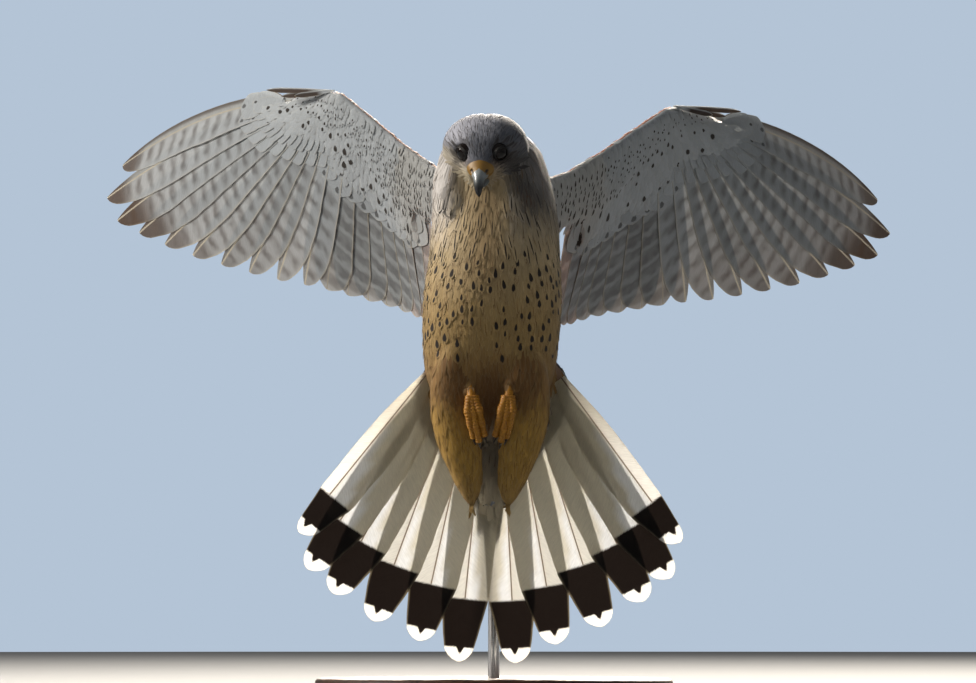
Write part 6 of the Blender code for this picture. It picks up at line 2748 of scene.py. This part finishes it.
@dataclass
class Face:
    """The bill, eyes and lids."""

    head: HeadShape
    bill_start: tuple[float, float] = (14.0, -1.2)
    straight: float = 6.8
    bend_radius: float = 9.6
    bend: float = math.radians(80)
    upper: tuple[tuple[float, ...], ...] = (
        (0.0, 7.6, 7.4, -4.8),
        (0.12, 7.3, 7.0, -4.6),
        (0.23, 6.6, 6.1, -4.2),
        (0.31, 5.6, 5.1, -3.8),
        (0.39, 4.4, 4.1, -3.3),
        (0.52, 3.2, 3.3, -2.8),
        (0.7, 2.4, 2.6, -2.2),
        (0.88, 1.6, 1.6, -1.2),
        (1.0, 0.4, 0.4, -0.35),
    )
    lower: tuple[tuple[float, ...], ...] = (
        (13.0, 4.8, -5.0, -10.4),
        (19.0, 4.2, -4.95, -9.4),
        (22.5, 3.2, -5.1, -8.6),
        (24.6, 1.6, -5.6, -7.6),
    )
    nostril: tuple[float, float, float] = (20.4, 1.0, 0.9)
    lid_reaches: tuple[tuple[float, float], ...] = (
        (3.45, 5.56), (3.48, 5.7), (3.6, 5.82), (3.8, 5.86), (4.05, 5.8), (4.35, 5.62), (4.6, 5.35),
        (4.5, 4.9), (4.1, 5.1), (3.6, 5.3))

    @staticmethod
    def _part(made: bpy.types.Object, rows: Array) -> None:
        """Gives a piece the numbers that its finish reads."""
        layer = made.data.attributes.new("part", "FLOAT_VECTOR", "POINT")
        layer.data.foreach_set("vector", rows.astype(np.float32).ravel())

    @staticmethod
    def wrapped(made: bpy.types.Object, rows: int, sides: int) -> None:
        """Gives a lofted piece a bake map that unrolls it round its length.

        Args:
            made: The lofted piece.
            rows: How many rings it has.
            sides: How many points to a ring.
        """
        mesh = made.data
        index = np.empty(len(mesh.loops), np.int32)
        mesh.loops.foreach_get("vertex_index", index)
        row, side = index // sides, index % sides
        place = np.stack([0.02 + 0.96 * side / sides, 0.04 + 0.9 * np.minimum(row, rows) / rows], axis=1)
        for polygon in mesh.polygons:
            loops = list(polygon.loop_indices)
            if place[loops, 0].max() - place[loops, 0].min() > 0.5:
                for loop in loops:
                    if place[loop, 0] < 0.5:
                        place[loop, 0] += 0.96
        place[:, 0] = place[:, 0] / 1.02
        mesh.uv_layers.new(name="OFBake").uv.foreach_set("vector", place.astype(np.float32).ravel())

    def upper_bill(self) -> bpy.types.Object:
        """The hooked upper bill with its cere, nostrils and cutting edge.

        Returns:
            The piece.
        """
        rows, sides = 64, 40
        whole = self.straight + self.bend_radius * self.bend
        across, deep = superellipse(sides, 2.0)
        rings = []
        part = []
        for place, half_width, top, low in smooth_rows(self.upper, rows):
            run = place * whole
            turn = max(0.0, run - self.straight) / self.bend_radius
            forward = self.bill_start[0] + min(run, self.straight) + self.bend_radius * math.sin(turn)
            up = self.bill_start[1] - self.bend_radius * (1 - math.cos(turn))
            rise = math.cos(turn) * self.head.up + math.sin(turn) * self.head.forward
            centre, reach = 0.5 * (top + low), 0.5 * (top - low)
            # The cere swells and ends in a step, and the cutting edge has one tooth before the hook
            swell = 1 + 0.04 * float(ease(np.array(place), 0.42, 0.36)) * (0.6 + 0.4 * math.sin(9 * place))
            tooth = 0.45 * math.exp(-(((place - 0.66) / 0.05) ** 2))
            tooth -= 0.3 * math.exp(-(((place - 0.77) / 0.05) ** 2))
            ridge = 1 - 0.16 * np.clip(deep, 0, 1) ** 3
            x = half_width * swell * across * ridge
            low_side = np.clip(-deep, 0, 1) ** 2 * np.abs(across) * 2
            y = centre + reach * swell * deep - tooth * low_side
            ring = self.head.point(forward, up) + np.outer(y, rise) + np.outer(x, self.head.aside)
            rings.append(ring)
            cere = np.full(sides, place) - 0.05 * np.abs(across) * (deep > 0)
            tip = ease(np.full(sides, place), 0.42, 0.8)
            # Painted shade on the top of the cere's base, under the forehead feathers
            painted_shade = 0.5 * np.clip(deep + 0.1, 0, 1) * ease(np.full(sides, place), 0.26, 0.04)
            part.append(np.stack([1 - ease(cere, 0.3, 0.46), tip, painted_shade], axis=1))
        points, faces = loft(rings)
        flat = np.concatenate([*part, [[1, 0, 0]], [[0, 1, 0]]])
        for side in Side:
            _, up, _ = self.nostril
            local = self.head.local(points)
            away = np.hypot(local[:, 1] - up, local[:, 2] - side.value * 3.9)
            front = (local[:, 0] > 17.0) & (local[:, 1] > -2.5)
            sunk = ease(away, 1.2, 0.4) * front
            rim = np.exp(-(((away - 1.3) / 0.35) ** 2)) * front
            points += self.head.forward * (0.2 * rim - 1.0 * sunk)[:, None]
            # The nostril pits are painted in shade
            flat[:, 2] = np.maximum(flat[:, 2], ease(away, 1.0, 0.55) * front)
        made = bare_object("bill_upper_horn", points, faces)
        self._part(made, flat)
        self.wrapped(made, rows, sides)
        return made

    def lower_bill(self) -> bpy.types.Object:
        """The lower bill, tucked behind the upper.

        Returns:
            The piece.
        """
        rows, sides = 26, 28
        across, deep = superellipse(sides, 2.0)
        rings = []
        part = []
        for section in smooth_rows(self.lower, rows):
            rings.append(self.head.ring(section, across, deep))
            share = (section[0] - 13) / 11.6
            part.append(np.tile([1 - float(ease(np.array(share), 0.3, 0.7)), 0.6 * share, 0], (sides, 1)))
        points, faces = loft(rings)
        made = bare_object("bill_lower_horn", points, faces)
        self._part(made, np.concatenate([*part, [[1, 0, 0]], [[0, 0.6, 0]]]))
        self.wrapped(made, rows, sides)
        return made

    def gape(self, side: Side) -> bpy.types.Object:
        """The soft yellow corner of the mouth.

        Args:
            side: Which side.

        Returns:
            The piece.
        """
        corners = [(15.5, -4.9, 6.6), (13.6, -5.3, 8.8), (11.6, -5.8, 11.0), (9.8, -6.2, 12.9)]
        line = np.array([self.head.point(f, u, side.value * a) for f, u, a in corners])
        place = np.linspace(0, 3, 22)
        path = np.stack([np.interp(place, range(4), line[:, i]) for i in range(3)], axis=1)
        radius = np.interp(place, [0, 1.5, 3], [0.95, 0.8, 0.25])
        points, faces = round_tube(path, radius, 12)
        made = bare_object(f"gape_{side.word}", points, faces)
        self._part(made, np.tile([1.0, 0.0, 0.12], (len(points), 1)))
        self.wrapped(made, 22, 12)
        return made

    def eye(self, side: Side) -> bpy.types.Object:
        """The eyeball, with its pole at the pupil.

        Args:
            side: Which side.

        Returns:
            The piece.
        """
        rows, sides = 32, 40
        gaze, flat, rise = self.head.eye_axes(side)
        rings, part = [], []
        for turn in np.linspace(0.03, math.pi - 0.03, rows):
            around = 2 * math.pi * np.arange(sides) / sides
            reach = self.head.eye_radius * math.sin(turn)
            ring = (
                self.head.eye_middle(side)
                + gaze * (self.head.eye_radius * math.cos(turn))
                + reach * (np.outer(np.cos(around), flat) + np.outer(np.sin(around), rise))
            )
            rings.append(ring)
            part.append(np.tile([reach / 4.4 if turn < 1.5 else 1.0, 0, 0], (sides, 1)))
        points, faces = loft(rings)
        made = bare_object(f"eyeball_{side.word}", points, faces)
        self._part(made, np.concatenate([*part, [[0, 0, 0]], [[1, 0, 0]]]))
        self.wrapped(made, rows, sides)
        return made

    def lid(self, side: Side) -> bpy.types.Object:
        """The bare ring of both lids, folded and a little pinched at its corners.

        Args:
            side: Which side.

        Returns:
            The piece.
        """
        sides = 72
        gaze, flat, rise = self.head.eye_axes(side)
        around = 2 * math.pi * np.arange(sides) / sides
        columns = []
        for reach, shell in self.lid_reaches:
            wrinkle = 1 + 0.012 * np.sin(11 * around) + 0.01 * np.sin(23 * around + 1)
            oval = 1 + 0.1 * np.cos(around) ** 2 - 0.06 * np.sin(around) ** 2
            wide = reach * oval * wrinkle
            depth = np.sqrt(np.maximum(shell**2 - np.minimum(wide, shell * 0.98) ** 2, 0.2))
            # The brow hangs over the eye
            depth = depth + 0.12 * np.clip(np.sin(around), 0, 1) ** 2 * (reach > 3.7)
            ring = (
                self.head.eye_middle(side)
                + gaze[None] * depth[:, None]
                + wide[:, None] * (np.outer(np.cos(around), flat) + np.outer(np.sin(around), rise))
            )
            columns.append(ring)
        points = np.concatenate(columns)
        count = len(columns)
        faces = []
        for row in range(count):
            after = (row + 1) % count
            for step in range(sides):
                onward = (step + 1) % sides
                here, there = row * sides, after * sides
                faces.append((here + step, here + onward, there + onward, there + step))
        made = bare_object(f"lid_{side.word}", points, turned_outwards(points, faces))
        self.wrapped(made, count, sides)
        return made


def round_tube(path: Array, radius: Array, sides: int, guide: Array | None = None) -> tuple[Array, Faces]:
    """A closed tube along a path.

    Args:
        path: The path's points.
        radius: The radius at each.
        sides: How many sides it has.
        guide: A way that the tube's frame keeps to.

    Returns:
        Points and faces.
    """
    guide = np.array([1.0, 0.0, 0.0]) if guide is None else guide
    way = unit(np.gradient(path, axis=0))
    first = unit(guide - way * (way @ guide)[:, None])
    second = np.cross(way, first)
    around = 2 * math.pi * np.arange(sides) / sides
    rings = [
        point + r * (np.outer(np.cos(around), a) + np.outer(np.sin(around), b))
        for point, r, a, b in zip(path, radius, first, second)
    ]
    return loft(rings)


@dataclass
class Foot:
    """A shank, four scaly toes and their claws."""

    side: Side
    top: tuple[float, float, float] = (11.5, -20.0, 174.0)
    knuckle: tuple[float, float, float] = (9.4, -30.0, 157.0)
    aside: tuple[float, ...] = (-3.1, 0.0, 3.1)
    low: tuple[float, ...] = (19.5, 22.5, 20.5)
    radius: float = 2.35
    claw_length: float = 7.0
    claw_radius: float = 1.1
    claw_bend: float = math.radians(70)

    def paths(self) -> list[tuple[Array, Array]]:
        """Each digit's path and radii, the hind toe last.

        Returns:
            A path and radii for each digit.
        """
        side = self.side.value
        knuckle = np.array(self.knuckle) * np.array([side, 1.0, 1.0])
        place = np.linspace(0, 1, 40)
        made = []
        for aside, low in zip(self.aside, self.low):
            x = aside * (0.4 + 0.6 * np.sin(np.minimum(1.0, 2.2 * place) * math.pi / 2)) * (1 - 0.08 * place)
            x = side * (x - 3.6 * place**1.5)
            y = -3.4 * np.sin(place * math.pi) + 3.2 * place
            path = knuckle + np.stack([x, y, 2.0 - low * place], axis=1)
            made.append((path, self.radius * (1 - 0.3 * place) * (1 + 0.09 * np.cos(place * 6 * math.pi))))
        heel = knuckle + np.array([0.0, 1.0, -1.0])
        path = heel + np.stack([-side * 1.6 * place, 4.2 * place, -8.0 * place], axis=1)
        made.append((path, np.interp(place, [0, 0.33, 0.66, 1], [1.9, 1.8, 1.6, 1.4])))
        return made

    def skin(self, material: bpy.types.Material) -> bpy.types.Object:
        """The toes and shank as tubes, with their cross plates from a geometry node tree.

        Args:
            material: The finish of toes and plates.

        Returns:
            The piece.
        """
        side = self.side.value
        knuckle = np.array(self.knuckle) * np.array([side, 1.0, 1.0])
        top = np.array(self.top) * np.array([side, 1.0, 1.0])
        points: list[Array] = []
        faces: Faces = []
        count = 0
        digits = self.paths()
        shank = top + (knuckle - top) * np.linspace(0, 1, 12)[:, None]
        for path, radius in [*digits, (shank, np.linspace(2.2, 2.5, 12))]:
            made_points, made_faces = round_tube(path, 0.93 * radius, 14)
            points.append(made_points)
            faces += [tuple(i + count for i in face) for face in made_faces]
            count += len(made_points)
        made = bare_object(f"toes_{self.side.word}", np.concatenate(points), faces)
        made.data.materials.append(material)
        line_points, line_edges, radii = [], [], []
        start = 0
        for path, radius in digits:
            line_points.append((path - ORIGIN) * MM)
            line_edges += [(start + i, start + i + 1) for i in range(len(path) - 1)]
            radii.append(radius * MM)
            start += len(path)
        mesh = bpy.data.meshes.new("toe_lines")
        mesh.from_pydata(np.concatenate(line_points).tolist(), line_edges, [])
        layer = mesh.attributes.new("radius_m", "FLOAT", "POINT")
        layer.data.foreach_set("value", np.concatenate(radii).astype(np.float32))
        lines = bpy.data.objects.new("toe_lines", mesh)
        bpy.context.scene.collection.objects.link(lines)
        scutes(lines, material, spacing=0.0015, seed=3)
        graph = bpy.context.evaluated_depsgraph_get()
        plates = bpy.data.meshes.new_from_object(lines.evaluated_get(graph))
        bpy.data.objects.remove(lines)
        cover = bpy.data.objects.new("plates", plates)
        bpy.context.scene.collection.objects.link(cover)
        with bpy.context.temp_override(active_object=made, selected_editable_objects=[made, cover]):
            bpy.ops.object.join()
        made.data.polygons.foreach_set("use_smooth", [True] * len(made.data.polygons))
        return made

    def claws(self) -> list[bpy.types.Object]:
        """The claws, curved and sharp.

        Returns:
            One piece for each digit.
        """
        made = []
        for number, (path, _) in enumerate(self.paths()):
            way = unit(path[-1] - path[-2])
            start = path[-1] + way * 0.1
            place = np.linspace(0, 1, 26)
            turn = place * self.claw_bend
            run = self.claw_length / self.claw_bend
            line = start + np.outer(run * np.sin(turn), way)
            line[:, 1] += run * (1 - np.cos(turn)) * 0.9
            thick = self.claw_radius * (1 - 0.9 * place**1.25)
            points, faces = round_tube(line, thick, 14)
            claw = bare_object(f"claw_horn_{self.side.word}_{number + 1}", points, faces)
            Face.wrapped(claw, 26, 14)
            made.append(claw)
        return made


def scutes(target: bpy.types.Object, material: bpy.types.Material, spacing: float, seed: int) -> None:
    """Puts overlapping cross plates along every line of an object with a geometry node tree.

    Args:
        target: An object whose mesh is lines with a radius_m attribute.
        material: The plates' material.
        spacing: How far apart the plates stand, in metres.
        seed: The seed of their unevenness.
    """
    tree = bpy.data.node_groups.new("scutes", "GeometryNodeTree")
    face = tree.interface
    face.new_socket("Lines", in_out="INPUT", socket_type="NodeSocketGeometry")
    face.new_socket("Spacing", in_out="INPUT", socket_type="NodeSocketFloat")
    face.new_socket("Seed", in_out="INPUT", socket_type="NodeSocketInt")
    face.new_socket("Plates", in_out="OUTPUT", socket_type="NodeSocketGeometry")
    source = tree.nodes.new("NodeGroupInput")
    curve = add(tree, "GeometryNodeMeshToCurve", source.outputs["Lines"])
    every = {"Curve": curve, "Length": source.outputs["Spacing"]}
    resample = add(tree, "GeometryNodeResampleCurve", named=every, mode="LENGTH")
    tangent = add(tree, "GeometryNodeInputTangent")
    turn = add(tree, "FunctionNodeAlignRotationToVector", named={"Vector": tangent}, axis="Z")
    bead = add(tree, "GeometryNodeMeshUVSphere", named={"Segments": 14, "Rings": 8, "Radius": 1.0})
    thick = add(tree, "GeometryNodeInputNamedAttribute", named={"Name": "radius_m"})
    uneven = add(tree, "FunctionNodeRandomValue", out=1, named={"Seed": source.outputs["Seed"]})
    uneven.node.inputs[2].default_value = 1.02
    uneven.node.inputs[3].default_value = 1.09
    wide = add(tree, "Math", thick, uneven, operation="MULTIPLY")
    flat = add(tree, "Math", source.outputs["Spacing"], 0.6, operation="MULTIPLY")
    size = add(tree, "CombineXYZ", wide, wide, flat)
    placed = add(
        tree,
        "GeometryNodeInstanceOnPoints",
        named={"Points": resample, "Instance": bead, "Rotation": turn, "Scale": size},
    )
    real = add(tree, "GeometryNodeRealizeInstances", placed)
    dressed = add(tree, "GeometryNodeSetMaterial", named={"Geometry": real, "Material": material})
    sink = tree.nodes.new("NodeGroupOutput")
    tree.links.new(dressed, sink.inputs["Plates"])
    modifier = target.modifiers.new("scutes", "NODES")
    modifier.node_group = tree
    for item in tree.interface.items_tree:
        if item.in_out == "INPUT" and item.name == "Spacing":
            modifier[item.identifier] = spacing
        if item.in_out == "INPUT" and item.name == "Seed":
            modifier[item.identifier] = seed


@dataclass
class Stand:
    """The turned base and the plain steel rod."""

    radius: float = 95.0
    height: float = 12.0
    rod_radius: float = 3.0
    rod_top: float = 190.0

    def base(self) -> bpy.types.Object:
        """A turned disc with a fine bead round its top.

        Returns:
            The piece.
        """
        # How far each point stands in from the rim and how high it is
        edge = (
            (1.4, 0), (0.4, 0.4), (0, 1.4), (0, 6.6), (0.4, 7.4), (1.4, 7.9), (2, 8.3), (2, 8.9),
            (1.5, 9.3), (1.3, 10), (1.6, 10.9), (2.4, 11.6), (3.6, 12), (6, 12), (6.6, 11.75),
            (7.2, 12), (35, 12), (65, 12))
        return self._turned("stand_base_turned", [(self.radius - inwards, z) for inwards, z in edge], 160)

    def rod(self) -> bpy.types.Object:
        """A drawn rod."""
        low, radius = self.height, self.rod_radius
        edge = [(radius - 0.01, low), *((radius, z) for z in (low + 0.3, 60.0, 120.0, self.rod_top))]
        return self._turned("stand_rod_drawn", edge, 48)

    @staticmethod
    def _turned(name: str, edge: list[tuple[float, float]], sides: int) -> bpy.types.Object:
        """Turns an outline round the stand's middle.

        Args:
            name: The piece's name.
            edge: The outline's radii and heights.
            sides: How many sides the piece has.

        Returns:
            The piece.
        """
        around = 2 * math.pi * np.arange(sides) / sides
        x, y = np.cos(around), np.sin(around)
        rings = [
            np.stack([ORIGIN[0] + r * x, ORIGIN[1] + r * y, np.full(sides, z)], axis=1) for r, z in edge
        ]
        points, faces = loft(rings)
        made = bare_object(name, points, faces)
        Face.wrapped(made, len(edge), sides)
        sharp = made.modifiers.new("split", "EDGE_SPLIT")
        sharp.split_angle = math.radians(50)
        baked(made)
        return made


@dataclass
class Studio:
    """A pale floor, soft light from the image's left and the photograph's own view."""

    floor_radius: float = 2.4
    distance: float = 15.0
    look_x: float = -0.00305
    look_z: float = 0.1883
    frame_width: float = 0.5137
    frame_depth: float = 0.08
    world_power: float = 0.3

    def build(self) -> None:
        """Builds the floor, the lights, the world and the camera."""
        scene = bpy.context.scene
        self._floor()
        # The low sun from the image's left, a little bounce in front, and the glow through wings and tail
        self._light("key", 3.2, (-2.6, -0.1, 1.3), 0.9, "FFF6EA", 132.0)
        self._light("fill", 3.0, (0.6, -2.6, 0.3), 2.4, "EFEAE0", 2.0, 0.2)
        self._light("back", 3.0, (0.5, 2.4, 1.25), 1.4, "FFF3E2", 60.0, shine=0.4, spread=60.0)
        world = bpy.data.worlds.new("soft_room")
        world.use_nodes = True
        tree = world.node_tree
        tree.nodes.clear()
        seen = add(tree, "Background", named={"Color": linear("B4C4D6"), "Strength": 1.0})
        lit = add(tree, "Background", named={"Color": linear("CACACA"), "Strength": self.world_power})
        straight = add(tree, "LightPath", out="Is Camera Ray")
        add(tree, "OutputWorld", add(tree, "MixShader", straight, lit, seen))
        scene.world = world
        lens = bpy.data.cameras.new("camera")
        lens.sensor_width = 36.0
        lens.lens = lens.sensor_width * (self.distance + self.frame_depth) / self.frame_width
        lens.clip_start = 1.0
        lens.clip_end = self.distance + 30.0
        camera = bpy.data.objects.new("camera", lens)
        camera.location = (self.look_x, -self.distance, self.look_z)
        camera.rotation_euler = (math.radians(90), 0.0, 0.0)
        scene.collection.objects.link(camera)
        scene.camera = camera
        scene.view_settings.view_transform = "Standard"
        scene.view_settings.look = "None"

    def _light(
        self,
        name: str,
        away: float,
        place: tuple[float, float, float],
        size: float,
        colour: str,
        power: float,
        shine: float = 1.0,
        spread: float = 180.0,
    ) -> None:
        """Adds a soft square light that looks at the bird.

        Args:
            name: Its name.
            away: Metres from the bird.
            place: The way to it.
            size: Its width in metres.
            colour: Its colour as sRGB hex.
            power: Its power in watts.
            shine: How much it shows in highlights.
            spread: How wide it spreads, in degrees.
        """
        lamp = bpy.data.lights.new(name, "AREA")
        lamp.size = size
        lamp.energy = power
        lamp.color = linear(colour)[:3]
        lamp.specular_factor = shine
        lamp.spread = math.radians(spread)
        made = bpy.data.objects.new(name, lamp)
        direction = Vector(place).normalized()
        target = Vector((0.0, 0.0, 0.2))
        made.location = target + direction * away
        made.rotation_euler = direction.to_track_quat("Z", "Y").to_euler()
        bpy.context.scene.collection.objects.link(made)

    def _floor(self) -> None:
        """Adds the pale matt floor."""
        sides = 96
        points = [(0.0, 0.0, 0.0)]
        for step in range(sides):
            turn = 2 * math.pi * step / sides
            points.append((self.floor_radius * math.cos(turn), self.floor_radius * math.sin(turn), 0.0))
        faces = [(0, 1 + step, 1 + (step + 1) % sides) for step in range(sides)]
        # Matt card, which shows only soft shadows and a faint mottle
        mesh = bpy.data.meshes.new("floor")
        mesh.from_pydata(points, [], faces)
        made = bpy.data.objects.new("floor", mesh)
        material = fresh_material("matt_paper")
        tree = material.node_tree
        grain = add(tree, "TexNoise", named={"Vector": add(tree, "TexCoord", out="Object"), "Scale": 60.0})
        colour = add(tree, "MixRGB", grain, linear("696D72"), linear("707479"))
        surface(material, {"Base Color": colour, "Roughness": 0.9})
        mesh.materials.append(material)
        bpy.context.scene.collection.objects.link(made)


def main() -> None:
    """Builds the bird, its stand and its studio in the frame."""
    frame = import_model()
    LOG.info("frame: %d nodes", len(frame["nodes"]))

    head, body = HeadShape(), BodyShape()
    wings = {Region.WING_LEFT: WingShape(Side.LEFT), Region.WING_RIGHT: WingShape(Side.RIGHT)}
    marks = Markings(body, head, wings)

    skin = Skin(body, head, marks, wings)
    piece = skin.build()
    flesh = ["torso", "neck", "head", "thigh_left", "thigh_right", "tail"]
    flesh += [f"wing_{part}_{side.word}" for part in ("arm", "hand") for side in Side]
    dress(piece, SkinFinish().build(), "body_feathers", *flesh)
    LOG.info("skin: %d points", len(skin.points))

    # Dull body feathers, whose barbs show as fine slanting streaks
    contour = PlumageFinish(
        "contour_feathers", bar_mm=0.0, barb_mm=0.42, barb_along=0.14, barb_out=1.0
    ).build()
    covert = PlumageFinish(
        "covert_feathers", bar_mm=0.0, translucency=0.2, barb_mm=0.42,
        barb_along=0.3, barb_out=1.0, streak=0.1
    ).build()
    for piece, slot in Coat(skin, marks).build():
        dress(piece, covert if "wing" in piece.name or "tail" in piece.name else contour, slot)

    secondary = PlumageFinish(
        "secondary_feathers", bar_mm=10.5, bar_share=0.66, bar_blur=0.12, translucency=0.38,
        shaft_mm=0.3, barb_mm=0.4, shaft_hex="8E8A80", roughness=0.6
    ).build()
    primary = PlumageFinish(
        "primary_feathers", bar_mm=11.5, bar_share=0.44, bar_blur=0.2, translucency=0.35,
        shaft_mm=0.4, barb_mm=0.4, shaft_hex="A9A497", roughness=0.58
    ).build()
    large_covert = PlumageFinish("greater_covert_feathers", bar_mm=0.0, translucency=0.3, barb_mm=0.4).build()
    for wing in wings.values():
        plumes = WingPlumes(wing)
        arm, hand = plumes.flight()
        dress(arm.build(), secondary, "wing_arm_feathers")
        dress(hand.build(), primary, "wing_hand_feathers")
        for batch in plumes.coverts():
            dress(batch.build(), large_covert, "wing_arm_feathers")
        dress(plumes.alula().build(), large_covert, "wing_hand_feathers")
        LOG.info("wing %s: %d flight feathers", wing.side.word, arm.feathers + hand.feathers)

    fan = TailFan(body).build()
    tail_finish = PlumageFinish(
        "tail_feathers", bar_mm=0.0, banded=True, translucency=0.62, shaft_mm=0.34, barb_mm=0.42,
        roughness=0.6
    )
    dress(fan.build(), tail_finish.build(), "tail_feathers")
    LOG.info("tail: %d feathers", fan.feathers)

    face = Face(head)
    horn = BillFinish().build()
    dress(face.upper_bill(), horn, "bill_horn", "bill_upper")
    dress(face.lower_bill(), horn, "bill_horn", "bill_lower")
    wet = EyeFinish().build()
    lid_skin = ScaleFinish("bare_lid_skin", bright="1C1917", deep="0C0B0A", grain_mm=0.5).build()
    for side in Side:
        dress(face.eye(side), wet, "eye", f"eye_{side.word}")
        dress(face.lid(side), lid_skin, "head_feathers")
        dress(face.gape(side), horn, "bill_horn")
    LOG.info("face: bill, eyes and lids")

    scaly, black = ScaleFinish().build(), ClawFinish().build()
    for side in Side:
        foot = Foot(side)
        dress(foot.skin(scaly), scaly, "foot_skin", f"foot_{side.word}")
        for number, claw in enumerate(foot.claws()):
            dress(claw, black, "claw_horn", f"claw_{side.word}_{number + 1}")
    LOG.info("feet: toes and claws")

    stand = Stand()
    dress(stand.base(), WalnutFinish().build(), "stand_wood", "stand_base")
    dress(stand.rod(), SteelFinish().build(), "stand_steel", "stand_rod")
    LOG.info("stand: base and rod")

    Studio().build()


if __name__ == "__main__":
    logging.basicConfig(level=logging.INFO, format="%(name)s: %(message)s")
    main()
